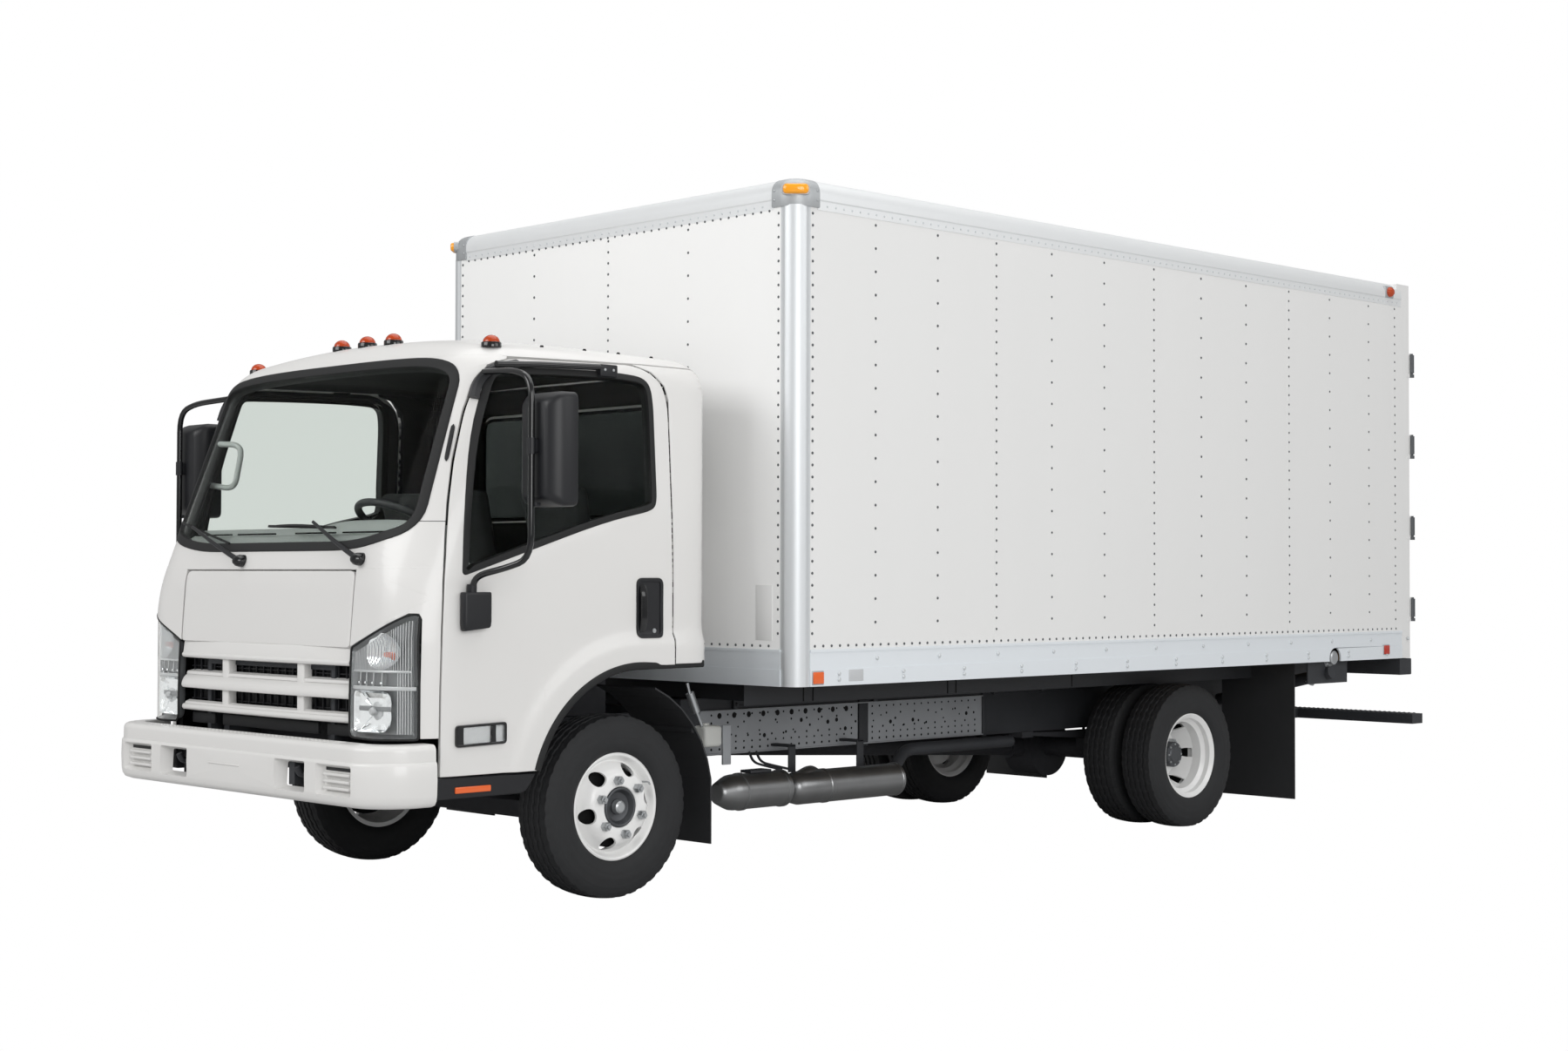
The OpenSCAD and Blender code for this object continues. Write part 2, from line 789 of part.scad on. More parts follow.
module fuel_tank() color(black) at_axle() {
    block([-tank_w / 2, tank_y, rail_top_z - tank_h - tank_drop],
        [tank_w / 2, tank_y + tank_l, rail_top_z - tank_drop]);
    for (y = [tank_y + cross_w, tank_y + tank_l - 2 * cross_w])
        block([-frame_w / 2 + rail_t + seat_gap, y, rail_z + rail_t + seat_gap],
            [frame_w / 2 - rail_t - seat_gap, y + cross_w, rail_z + 2 * rail_t]);
    // Filler plate under the body's left rail with the neck and its hose
    block([filler_x - filler_plate_t, filler_y - filler_plate_l / 2, body_low_z - filler_plate_h],
        [filler_x, filler_y + filler_plate_l / 2, body_low_z - seat_gap]);
    rod([frame_w / 2 + filler_r, filler_y, rail_z + rail_h / 2],
        [filler_x + filler_neck_l, filler_y, filler_z], filler_r);
}

module front_bumper() color(paint) at_axle() {
    difference() {
        intersection() {
            translate([0, 0, bumper_z]) linear_extrude(height = bumper_h) bumper_plan(0);
            across(-bumper_w, bumper_w) polygon([[-front_overhang + bumper_chamfer, bumper_z],
                [-front_overhang, bumper_z + bumper_chamfer],
                    [-front_overhang, bumper_z + bumper_h - 2 * bumper_chamfer],
                [-front_overhang + 2 * bumper_chamfer, bumper_z + bumper_h],
                    [bumper_end_y, bumper_z + bumper_h],
                [bumper_end_y, bumper_z]]);
        }
        translate([0, 0, bumper_z - overrun]) linear_extrude(height = bumper_h - bumper_t + overrun)
            bumper_plan(bumper_t);
        translate([0, 0, bumper_z]) linear_extrude(height = bumper_h + overrun)
            bumper_plan(bumper_lip + bumper_t);
        both_sides() {
            block([hook_x - hook_w / 2, -front_overhang - overrun, pocket_z],
                [hook_x + hook_w / 2, -front_overhang + bumper_t + overrun, pocket_z + hook_h]);
            block([fog_x - fog_w / 2, -front_overhang - overrun, pocket_z],
                [fog_x + fog_w / 2, -front_overhang + fog_depth, pocket_z + fog_h]);
        }
    }
}

module bumper_plan(i) {
    hw = bumper_w / 2 - i;
    yf = -front_overhang + i;
    r = bumper_r - i;
    polygon(concat(arc([hw - r, yf + r], r, -90, 0),
        [[hw, bumper_end_y + (i > 0 ? overrun : 0)], [-hw, bumper_end_y + (i > 0 ? overrun : 0)]],
        arc([r - hw, yf + r], r, 180, 270)));
}

module rear_step() color(dark) at_axle() {
    block([-step_w / 2, step_back_y - step_l, step_z], [step_w / 2, step_back_y, step_z + step_h]);
    both_sides() {
        block([tilt_bracket_x - step_hanger_w / 2, frame_back_y + seat_gap, step_z],
            [tilt_bracket_x + step_hanger_w / 2,
            step_back_y - step_l + overrun, step_z + step_h]);
        block([tilt_bracket_x - step_hanger_w / 2, frame_back_y + seat_gap, step_z],
            [tilt_bracket_x + step_hanger_w / 2, frame_back_y + step_hanger_w, rail_top_z]);
    }
}

module mud_guards() color(black) at_axle() {
    both_sides() {
        // Front guard behind the tyre with its flap and stay
        across(guard_in_x, guard_out_x) translate([0, tyre_r]) polygon(concat(
            arc([0, 0], guard_r, guard_low_a, guard_high_a),
                arc([0, 0], guard_r + guard_t, guard_high_a, guard_low_a)));
        block([guard_in_x, guard_r * cos(guard_low_a), tyre_r + guard_r * sin(guard_low_a) - front_flap_h],
            [guard_out_x, guard_r * cos(guard_low_a) + guard_t, tyre_r + guard_r * sin(guard_low_a)]);
        rod([frame_w / 2 + seat_gap, guard_r * cos(guard_stay_a), tyre_r + guard_r * sin(guard_stay_a)],
            [guard_out_x - stay_r, guard_r * cos(guard_stay_a), tyre_r + guard_r * sin(guard_stay_a)],
                stay_r);
        // Rear flap under the cargo body
        block([rear_flap_out_x - rear_flap_w, rear_flap_y, rear_flap_z],
            [rear_flap_out_x, rear_flap_y + flap_t, body_low_z - seat_gap]);
    }
}

module body_underframe() color(dark) at_axle() {
    both_sides() block([frame_w / 2 - sill_w, body_y + sill_w, rail_top_z + seat_gap],
        [frame_w / 2, frame_back_y, rail_top_z + sill_h]);
    for (k = [0 : beams - 1])
        block([-beam_half_l, body_y + beam_pitch / 2 + k * beam_pitch, rail_top_z + sill_h + seat_gap],
            [beam_half_l, body_y + beam_pitch / 2 + k * beam_pitch + beam_body_w, body_low_z - seat_gap]);
}

module body_floor() color("#8a6f4d") at_axle() {
    block([-body_hw + wall_t + seat_gap, body_y + wall_t + seat_gap, body_low_z],
        [body_hw - wall_t - seat_gap, body_back_y - rear_frame_l - seat_gap, body_low_z + floor_t]);
}

module body_walls() color(paint) at_axle() {
    both_sides() block([body_hw - wall_t, body_y + post_r + post_leg,
        body_low_z + bottom_rail_h + seat_gap],
        [body_hw, body_back_y - rear_frame_l - seat_gap, body_top_z - top_rail_h - seat_gap]);
    block([-body_hw + post_r + post_leg, body_y, body_low_z + bottom_rail_h + seat_gap],
        [body_hw - post_r - post_leg, body_y + wall_t, body_top_z - top_rail_h - seat_gap]);
}

module body_roof() color(paint) at_axle() {
    block([-body_hw + top_rail_r + seat_gap, body_y + top_rail_r + seat_gap, body_top_z - roof_t],
        [body_hw - top_rail_r - seat_gap, body_back_y - rear_frame_l - seat_gap, body_top_z]);
}

// Quarter-round section of a corner post, centre of its round at the origin, outside towards +x and -y
module post_section(r, leg) {
    difference() {
        union() {
            intersection() {
                circle(r = r, $fn = smooth);
                translate([0, -r]) square([r, r]);
            }
            translate([-leg, -r]) square([leg, r]);
            translate([-leg, 0]) square([r + leg, leg]);
            translate([-leg, -r]) square([leg, r]);
        }
        translate([-leg - overrun, -r + wall_t])
            square([r - wall_t + leg + overrun, r - wall_t + leg + overrun]);
    }
}

module body_rails() color(bare) at_axle() {
    both_sides() {
        // Front corner post with its cap
        translate([body_hw - post_r, body_y + post_r, body_low_z])
            linear_extrude(height = body_h - top_rail_h - seat_gap)
            post_section(post_r, post_leg - seat_gap);
        translate([body_hw - post_r, body_y + post_r, body_top_z - top_rail_h])
            linear_extrude(height = top_rail_h)
            post_section(post_r + cap_t, post_leg - seat_gap);
        // Side rails
        along(body_y + post_r + post_leg, body_back_y - rear_frame_l - seat_gap) difference() {
            union() {
                translate([body_hw - top_rail_r, body_top_z - top_rail_r]) intersection() {
                    circle(r = top_rail_r, $fn = smooth);
                    square([top_rail_r, top_rail_r]);
                }
                translate([body_hw - top_rail_r, body_top_z - top_rail_h])
                    square([top_rail_r, top_rail_h - top_rail_r]);
            }
            translate([body_hw - top_rail_r - overrun, body_top_z - top_rail_h - overrun])
                square([top_rail_r - wall_t / 2 + overrun, top_rail_h - wall_t + overrun]);
        }
    }
    block([body_hw - bottom_rail_t, body_y + post_r + post_leg, body_low_z],
        [body_hw + bottom_rail_t, body_back_y - rear_frame_l - seat_gap, body_low_z + bottom_rail_h]);
    block([-body_hw - bottom_rail_t, body_y + post_r + post_leg, body_low_z],
        [-body_hw + bottom_rail_t, body_back_y - rear_frame_l - seat_gap, body_low_z + bottom_rail_h]);
    // Front rails
    block([-body_hw + post_r + post_leg, body_y - bottom_rail_t, body_low_z],
        [body_hw - post_r - post_leg, body_y + wall_t, body_low_z + bottom_rail_h]);
    block([-body_hw + post_r + post_leg, body_y, body_top_z - top_rail_h],
        [body_hw - post_r - post_leg, body_y + top_rail_r, body_top_z]);
}

module rear_frame() color(paint) at_axle() {
    both_sides() block([body_hw - rear_post_w, body_back_y - rear_frame_l, body_low_z],
        [body_hw, body_back_y, body_top_z]);
    block([-body_hw + rear_post_w + seat_gap, body_back_y - rear_frame_l, body_top_z - rear_header_h],
        [body_hw - rear_post_w - seat_gap, body_back_y, body_top_z]);
    block([-body_hw + rear_post_w + seat_gap, body_back_y - rear_frame_l, body_low_z],
        [body_hw - rear_post_w - seat_gap, body_back_y, body_low_z + floor_t]);
    // Hinge eyes with their pins at the outer edge of each post
    both_sides() for (k = [0 : rhinges - 1])
        translate([rhinge_x, rhinge_y, rdoor_low_z + (k + 1 / 2) * rdoor_h / rhinges]) {
        cylinder(r = rhinge_r, h = rhinge_h, center = true, $fn = smooth);
        translate([0, 0, -rhinge_h / 2 - rhinge_lug_h])
            cylinder(r = rhinge_lug_r, h = rhinge_lug_h, $fn = smooth);
        translate([-rhinge_lug_r, -rhinge_out - overrun, -rhinge_h / 2 - rhinge_lug_h])
            cube([rhinge_lug_r, rhinge_out + overrun, rhinge_lug_h]);
    }
}

module rear_door() {
    difference() {
        union() {
            block([rdoor_gap / 2, body_back_y - rdoor_t, rdoor_low_z],
                [rdoor_out_x, body_back_y, rdoor_low_z + rdoor_h]);
            for (k = [0 : rhinges - 1]) translate([0, 0, rdoor_low_z + (k + 1 / 2) * rdoor_h / rhinges]) {
                translate([rhinge_x, rhinge_y, 0])
                    cylinder(r = rhinge_lug_r, h = rhinge_h - 2 * rdoor_gap, center = true, $fn = smooth);
                block([rdoor_out_x - rhinge_strap_l, body_back_y - strap_t, -rhinge_h / 2 + rdoor_gap],
                    [rdoor_out_x - rhinge_lug_r, body_back_y + 2 * rdoor_gap, rhinge_h / 2 - rdoor_gap]);
                block([rdoor_out_x - rhinge_strap_l, body_back_y + rdoor_gap, -rhinge_h / 2 + rdoor_gap],
                    [rhinge_x, rhinge_y, rhinge_h / 2 - rdoor_gap]);
            }
            // Lock rod in its guides
            translate([lock_rod_x, body_back_y + lock_rod_off, rdoor_low_z])
                cylinder(r = lock_rod_r, h = rdoor_h, $fn = smooth);
            for (k = [0 : rhinges - 1]) translate([0, 0, rdoor_low_z + (k + 1 / 2) * rdoor_h / rhinges])
                block([lock_rod_x - 2 * lock_rod_r, body_back_y - strap_t, -lock_rod_r],
                    [lock_rod_x + 2 * lock_rod_r, body_back_y + lock_rod_off, lock_rod_r]);
        }
        for (k = [0 : rhinges - 1]) translate([rhinge_x, rhinge_y,
            rdoor_low_z + (k + 1 / 2) * rdoor_h / rhinges])
            cylinder(r = rhinge_r + run_gap, h = 2 * rhinge_h, center = true, $fn = smooth);
    }
}

module rear_door_left() color(paint) at_axle() rear_door();
module rear_door_right() color(paint) at_axle() mirror([1, 0, 0]) rear_door();

module body_lamps() color("#e08a1e") at_axle() {
    both_sides() {
        for (y = [body_y + side_lamp_in, body_back_y - side_lamp_back])
            block([body_hw + bottom_rail_t + seat_gap, y - side_lamp_w / 2, body_low_z],
            [body_hw + bottom_rail_t + side_lamp_t, y + side_lamp_w / 2, body_low_z + side_lamp_h]);
        block([body_hw - post_r - cap_lamp_w, body_y - cap_t - side_lamp_t,
            body_top_z - top_rail_h / 2 - cap_lamp_h / 2],
            [body_hw - post_r, body_y - cap_t - seat_gap, body_top_z - top_rail_h / 2 + cap_lamp_h / 2]);
    }
    // Tail lamps under the rear frame
    both_sides() block([body_hw - tail_lamp_w, body_back_y - rear_frame_l, body_low_z - tail_lamp_h],
        [body_hw, body_back_y, body_low_z - seat_gap]);
}

module cab_floor() color(paint) at_axle() {
    difference() {
        intersection() {
            floor_pan();
            cab_solid(cab_t + seat_gap);
        }
        both_sides() translate([foot_in_x - overrun, tilt_y, tilt_z]) rotate([0, 90, 0])
            cylinder(r = tilt_pin_r + run_gap, h = foot_wall + 2 * overrun, $fn = smooth);
    }
}

module floor_pan() {
    both_sides() {
        // Footwell: floor, inner wall and back wall
        block([foot_in_x, foot_front_y, foot_z], [foot_out_x, foot_back_y, foot_z + foot_wall]);
        block([foot_in_x, foot_front_y, foot_z], [foot_in_x + foot_wall, foot_back_y, deck_z + deck_t]);
        block([foot_in_x, foot_back_y - foot_wall, foot_z], [foot_out_x, foot_back_y, deck_z + deck_t]);
    }
    block([-foot_in_x - overrun, foot_front_y, deck_z],
        [foot_in_x + overrun, foot_back_y, deck_z + deck_t]);
    block([-foot_out_x, foot_back_y - foot_wall, deck_z], [foot_out_x, cab_back, deck_z + deck_t]);
}

module cab_back() color(paint) at_axle() {
    difference() {
        intersection() {
            cab_shell();
            across(-cab_w, cab_w) polygon([[door_back_y, arch_top_z], [cab_back + overrun, arch_top_z],
                [cab_back + overrun, roof_split_z], [door_back_y, roof_split_z]]);
        }
        back_hole();
    }
}

module cab_roof() color(paint) at_axle() {
    intersection() {
        cab_shell();
        across(-cab_w, cab_w) polygon([[screen_top_y, roof_split_z + seat_gap],
            [cab_back + overrun, roof_split_z + seat_gap],
            [cab_back + overrun, cab_top_z + overrun], [screen_top_y, cab_top_z + overrun]]);
    }
}

// Pins of the door hinges, and the room cut around them
module hinge_pins(r, h) {
    for (z = [for (h = hinge_shares) door_low_z + h * door_h]) translate([hinge_x, hinge_y, z])
        cylinder(r = r, h = h, center = true, $fn = smooth);
}

module hinge_room() {
    hinge_pins(hinge_r + hinge_clear, hinge_h + 2 * hinge_clear);
    for (z = [for (h = hinge_shares) door_low_z + h * door_h])
        block([hinge_x, hinge_y - hinge_r - hinge_clear, z - hinge_h / 2 - hinge_clear],
            [cab_hw + overrun, door_front_y, z + hinge_h / 2 + hinge_clear]);
}

module cab_front() color(paint) at_axle() {
    both_sides() hinge_pins(hinge_pin_r, hinge_h + 4 * hinge_clear);
    difference() {
        intersection() {
            cab_shell();
            across(-cab_w, cab_w) polygon([[-cab_front - overrun, lamp_low_z],
                [door_front_y - door_gap, lamp_low_z],
                [door_front_y - door_gap, screen_hole_z - seat_gap],
                    [-cab_front - overrun, screen_hole_z - seat_gap]]);
        }
        both_sides() lamp_hole(0);
        both_sides() hinge_room();
        along(-cab_front - overrun, -cab_front + 2 * cab_t)
            polygon([[-grille_hw, 0], [grille_hw, 0], [grille_hw, grille_top_z],
            [-grille_hw, grille_top_z]]);
    }
}

module cab_pillars() color(paint) at_axle() {
    difference() {
        intersection() {
            cab_shell();
            across(-cab_w, cab_w) polygon([[-cab_front - overrun, screen_hole_z], [0, screen_hole_z],
                [0, roof_split_z], [screen_top_y - seat_gap, roof_split_z],
                    [screen_top_y - seat_gap, cab_top_z], [-cab_front - overrun, cab_top_z]]);
        }
        both_sides() across(door_in_x - door_gap, cab_w) polygon(door_pts(-door_gap / 2));
        screen_hole();
    }
}

module cab_glass() color("#9fb3b5") at_axle() {
    difference() {
        intersection() {
            glass_shell();
            union() {
                screen_hole();
                back_hole();
            }
        }
        both_sides() across(door_in_x - door_gap, cab_w) polygon(door_pts(0));
    }
}

module cab_sills() color(black) at_axle() {
    both_sides() {
        block([cab_hw - sill_trim_w, door_front_y - door_gap, door_low_z - sill_trim_h],
            [cab_hw, sill_back_y, door_low_z - door_gap]);
        block([cab_hw - sill_trim_w, door_front_y - door_gap, door_low_z - sill_trim_h],
            [foot_out_x - 3 * door_gap, sill_back_y, foot_z - seat_gap]);
    }
}

module grille() color(paint) at_axle() {
    difference() {
        block([-grille_hw + seat_gap, -cab_front, grille_low_z],
            [grille_hw - seat_gap, -cab_front + grille_t, grille_top_z - seat_gap]);
        for (g = (grille_top_z - grille_low_z) * grille_gap_shares) {
            block([-strut_x + strut_w / 2, -cab_front - overrun, grille_low_z + g[0]],
                [strut_x - strut_w / 2, -cab_front + grille_t + overrun, grille_low_z + g[0] + g[1]]);
            both_sides() block([strut_x + strut_w / 2, -cab_front - overrun, grille_low_z + g[0]],
                [grille_hw - strut_w / 2, -cab_front + grille_t + overrun, grille_low_z + g[0] + g[1]]);
        }
    }
}

module headlamps() color("#cfd6d8") at_axle() {
    intersection() {
        difference() {
            cab_solid(0);
            cab_solid(lamp_t);
        }
        both_sides() lamp_hole(-seat_gap);
    }
}

module dashboard() color("#77797a") at_axle() {
    intersection() {
        across(-dash_hw, dash_hw) polygon([[dash_front_y, dash_z], [dash_front_y + dash_l, dash_z],
            [dash_front_y + dash_l, dash_z + dash_h / 2],
                [dash_front_y + dash_l * dash_brow_share, dash_z + dash_h],
            [dash_front_y, dash_z + dash_h]]);
        cab_solid(cab_t + seat_gap);
    }
    // Steering column up to the wheel's hub
    translate([seat_x, wheel_y, wheel_z]) rotate([-column_tilt, 0, 0]) difference() {
        translate([0, 0, -column_l]) cylinder(r = column_r, h = column_l - wheel_hub_h, $fn = smooth);
        translate([0, 0, -2 * wheel_hub_h])
            cylinder(r = column_shaft_r + run_gap, h = 2 * wheel_hub_h, $fn = smooth);
    }
}

module steering_wheel() color(black) at_axle() {
    translate([seat_x, wheel_y, wheel_z]) rotate([-column_tilt, 0, 0]) {
        rotate_extrude($fn = smooth) translate([wheel_rim_r, 0]) circle(r = wheel_grip_r, $fn = smooth);
        for (a = [0, 120, 240]) rotate([0, 0, a + 90]) translate([0, -wheel_grip_r, -wheel_grip_r / 2])
            cube([wheel_rim_r, 2 * wheel_grip_r, wheel_grip_r]);
        translate([0, 0, -wheel_hub_h + door_gap]) cylinder(r = wheel_hub_r, h = wheel_hub_h, $fn = smooth);
        translate([0, 0, -2 * wheel_hub_h + door_gap])
            cylinder(r = column_shaft_r, h = 2 * wheel_hub_h - door_gap, $fn = smooth);
    }
}

module seat(x, w) {
    block([x - w / 2, seat_y, deck_z + deck_t + seat_gap],
        [x + w / 2, seat_y + seat_l, deck_z + deck_t + seat_h]);
    translate([x - w / 2, seat_y + seat_l - seat_back_t, deck_z + deck_t + seat_h - overrun])
        rotate([-seat_rake, 0, 0])
        cube([w, seat_back_t, seat_back_h]);
}

module seats() color("#6d6f70") at_axle() {
    seat(seat_x, seat_w);
    seat(bench_x, bench_w);
}

module wipers() color(black) at_axle() {
    for (x = cab_hw * wiper_shares) translate([x, screen_low_y, screen_low_z]) rotate([-screen_rake, 0, 0])
        translate([0, -wiper_t - seat_gap, 0]) {
            rotate([0, -wiper_lean, 0]) cube([wiper_w, wiper_t, wiper_arm_l]);
            rotate([0, -wiper_lean, 0]) translate([0, 0, wiper_arm_l - wiper_w])
                rotate([0, -wiper_blade_lean, 0])
                translate([0, 0, -wiper_l / 2]) cube([wiper_w, wiper_t, wiper_l]);
        }
}

module roof_lamps() color("#b24a2e") at_axle() {
    difference() {
        for (x = cab_hw * roof_lamp_shares)
            translate([x, roof_lamp_y, cab_top_z - crown * pow(x / (cab_hw - eaves_in - eaves_r), 2)
                - roof_lamp_sink])
                sphere(r = roof_lamp_r, $fn = smooth);
        cab_solid(-seat_gap);
    }
}

module door_panel() {
    difference() {
        union() {
            intersection() {
                cab_shell();
                across(door_in_x, cab_w) polygon(door_pts(door_gap));
            }
            intersection() {
                across(cab_hw - cab_t, cab_hw + flare_out) flare_area();
                across(0, cab_w) polygon(door_pts(door_gap));
                across(0, cab_w) translate([door_front_y + cab_corner_r, 0]) square([door_l, cab_top_z]);
            }
            // Barrels of the hinges on their arms
            hinge_pins(hinge_r, hinge_h);
            for (z = [for (h = hinge_shares) door_low_z + h * door_h])
                block([hinge_x - hinge_pin_r, hinge_y, z - hinge_h / 2 + hinge_clear],
                    [hinge_x + hinge_pin_r, hinge_y + hinge_arm_l, z + hinge_h / 2 - hinge_clear]);
        }
        hinge_pins(hinge_pin_r + run_gap, 2 * hinge_h);
        across(0, cab_w) polygon(window_pts());
        across(0, cab_w) arch_area();
        // Recess of the outer handle
        block([cab_hw - handle_depth, handle_y, handle_z],
            [cab_hw + overrun, handle_y + handle_l, handle_z + handle_h]);
    }
}

module door_glass() {
    intersection() {
        glass_shell();
        across(0, cab_w) polygon(window_pts());
    }
}

module door_left() color(paint) at_axle() door_panel();
module door_right() color(paint) at_axle() mirror([1, 0, 0]) door_panel();
module door_glass_left() color("#9fb3b5") at_axle() door_glass();
module door_glass_right() color("#9fb3b5") at_axle() mirror([1, 0, 0]) door_glass();

module mirror_set() {
    difference() {
        union() {
            // Head behind its upright tube
            block([mirror_x - mirror_w / 2, mirror_y + stay_r / 2, mirror_z],
                [mirror_x + mirror_w / 2, mirror_y + mirror_t, mirror_z + mirror_h]);
            rod([mirror_x, mirror_y, stay_low_z], [mirror_x, mirror_y, stay_top_z], stay_r);
            for (z = [stay_low_z, stay_top_z]) translate([mirror_x, mirror_y, z])
                sphere(r = stay_r * knob_share, $fn = smooth);
            // Upper arm and its brace, lower arm, and their brackets on the door
            rod([cab_hw - eaves_in - cab_t, mirror_y, stay_top_z], [mirror_x, mirror_y, stay_top_z],
                stay_r);
            rod([cab_hw - eaves_in - cab_t, brace_y, brace_z],
                [mirror_x - stay_r, mirror_y, stay_top_z], brace_r);
            rod([cab_hw - cab_t, bracket_y + bracket_w / 2, bracket_z + bracket_h / 2],
                [mirror_x, mirror_y, stay_low_z], stay_r);
            block([cab_hw - cab_t, bracket_y, bracket_z],
                [cab_hw + bracket_t, bracket_y + bracket_w, bracket_z + bracket_h]);
            block([cab_hw - eaves_in - cab_t, mirror_y - bracket_t, stay_top_z - bracket_t],
                [cab_hw - eaves_in + bracket_t, mirror_y + bracket_t, stay_top_z + bracket_t / 2]);
        }
        cab_solid(-seat_gap);
    }
}

module mirror_left() color(black) at_axle() mirror_set();
module mirror_right() color(black) at_axle() mirror([1, 0, 0]) mirror_set();

// Knuckle about its kingpin, stub axle towards +x
module knuckle() {
    translate([kingpin_x, 0, tyre_r]) {
        translate([0, 0, -eye_h / 2 - ear_h / 2]) cylinder(r = kingpin_r, h = eye_h + ear_h, $fn = smooth);
        for (z = [-eye_h / 2 - ear_h - ear_gap, eye_h / 2 + ear_gap]) {
            translate([0, 0, z]) cylinder(r = eye_r, h = ear_h, $fn = smooth);
            translate([0, -ear_w / 2, z]) cube([stub_x, ear_w, ear_h]);
        }
        translate([stub_x - stub_wall, -ear_w / 2, -eye_h / 2 - ear_h - ear_gap])
            cube([stub_wall, ear_w, eye_h + 2 * (ear_h + ear_gap)]);
        translate([stub_x - stub_wall / 2, 0, 0]) rotate([0, 90, 0])
            cylinder(r = spindle_r, h = kingpin_off - stub_x + stub_wall / 2 + stub_end, $fn = smooth);
        // Steering arm back to the tie rod's ball pin
        translate([-arm_w / 2, 0, -eye_h / 2 - ear_h])
            cube([arm_w, arm_back + ball_r, ear_h - 2 * ear_gap]);
        translate([0, arm_back, -eye_h / 2 - ear_h - ear_gap - ball_h])
            cylinder(r = ball_pin_r, h = ball_h + ear_h / 2, $fn = smooth);
    }
}

module knuckle_left() color(steel) at_axle() knuckle();
module knuckle_right() color(steel) at_axle() mirror([1, 0, 0]) knuckle();

module tie_rod() color(steel) at_axle() {
    z = tyre_r - eye_h / 2 - ear_h - ear_gap - ball_h;
    difference() {
        union() {
            rod([-kingpin_x, arm_back, z + ball_h / 2 - ear_gap],
                [kingpin_x, arm_back, z + ball_h / 2 - ear_gap], tie_rod_r);
            both_sides() translate([kingpin_x, arm_back, z])
                cylinder(r = ball_r, h = ball_h - 2 * ear_gap, $fn = smooth);
        }
        translate([kingpin_x, arm_back, z - overrun])
            cylinder(r = ball_pin_r + run_gap, h = ball_h + 2 * overrun, $fn = smooth);
        translate([-kingpin_x, arm_back, z - overrun])
            cylinder(r = ball_pin_r + run_gap, h = ball_h + 2 * overrun, $fn = smooth);
    }
}

// Rim with its dished disc, axis along z, disc face towards +z at half the pitch of a pair
module rim() {
    h = rim_w / 2;
    f = dual_pitch / 2;
    rotate_extrude($fn = smooth) polygon([
        [rim_lip_r, -h], [rim_lip_r, flange_w - h], [rim_seat_r, flange_w - h], [rim_seat_r, bead_w - h],
        [rim_well_r, bead_w + well_ramp - h], [rim_well_r, h - bead_w - well_ramp],
            [rim_seat_r, h - bead_w],
        [rim_seat_r, h - flange_w], [rim_lip_r, h - flange_w], [rim_lip_r, h],
        [rim_lip_r - rim_t, h], [rim_seat_r - rim_t, h - flange_w], [rim_seat_r - rim_t, h - bead_w],
        [rim_well_r - rim_t, h - bead_w - well_ramp], [rim_well_r - rim_t, bead_w + well_ramp - h],
        [rim_seat_r - rim_t, bead_w - h], [rim_seat_r - rim_t, flange_w - h], [rim_lip_r - rim_t, -h]]);
    difference() {
        rotate_extrude($fn = smooth) polygon([
            [disc_hole_d / 2, f - disc_t], [disc_face_r, f - disc_t],
                [rim_well_r - rim_t / 2, h * disc_root_share - disc_t],
            [rim_well_r - rim_t / 2, h * disc_root_share], [disc_face_r + disc_t, f],
                [disc_hole_d / 2, f]]);
        for (k = [0 : hand_holes - 1]) rotate([0, 0, (k + 1 / 2) * 360 / hand_holes])
            translate([hand_hole_at_r, 0, 0])
            cylinder(r = hand_hole_r, h = 2 * f, $fn = smooth);
    }
}

module wheel_nuts(z) {
    for (k = [0 : nuts - 1]) rotate([0, 0, k * 360 / nuts]) translate([nut_pcd / 2, 0, z])
        cylinder(d = nut_d, h = nut_h, $fn = 6);
}

module tyre() {
    h = tyre_w / 2;
    b = rim_w / 2 - flange_w - seat_gap;
    r = rim_seat_r + seat_gap;
    rotate_extrude($fn = 2 * smooth) polygon(concat([[r, -b], [rim_lip_r + seat_gap, -b],
        [rim_lip_r + flange_w, -h * tyre_bead_share]],
        [[tyre_mid_r, -h], [tyre_r - tyre_shoulder, -h * tyre_shoulder_share],
            [tyre_r, -h * tyre_tread_share],
        [tyre_r, h * tyre_tread_share], [tyre_r - tyre_shoulder, h * tyre_shoulder_share], [tyre_mid_r, h],
        [rim_lip_r + flange_w, h * tyre_bead_share], [rim_lip_r + seat_gap, b], [r, b]]));
}

module front_wheel() {
    f = dual_pitch / 2;
    difference() {
        union() {
            rim();
            wheel_nuts(f);
            translate([0, 0, f - disc_t - drum_w]) cylinder(r = drum_r, h = drum_w, $fn = smooth);
            translate([0, 0, f - disc_t - drum_w])
                cylinder(r = hub_r, h = drum_w + hub_cap_h, $fn = smooth);
        }
        translate([0, 0, -dual_pitch]) cylinder(r = spindle_r + run_gap,
            h = dual_pitch + stub_end + hub_end_gap, $fn = smooth);
    }
}

module rear_wheels() {
    f = dual_pitch / 2;
    difference() {
        union() {
            translate([0, 0, f + seat_gap / 2]) rotate([180, 0, 0]) rim();
            translate([0, 0, -f - seat_gap / 2]) rim();
            cylinder(r = drum_r, h = seat_gap, center = true, $fn = smooth);
            wheel_nuts(disc_t);
            translate([0, 0, -disc_t - drum_w])
                cylinder(r = drum_r - overrun / 4, h = drum_w, $fn = smooth);
            translate([0, 0, -disc_t - drum_w]) cylinder(r = hub_r, h = drum_w + rear_hub_l, $fn = smooth);
        }
        translate([0, 0, -dual_pitch]) cylinder(r = hub_spindle_r + run_gap,
            h = dual_pitch + rear_spindle_x - track_rear / 2 + hub_end_gap, $fn = smooth);
    }
}

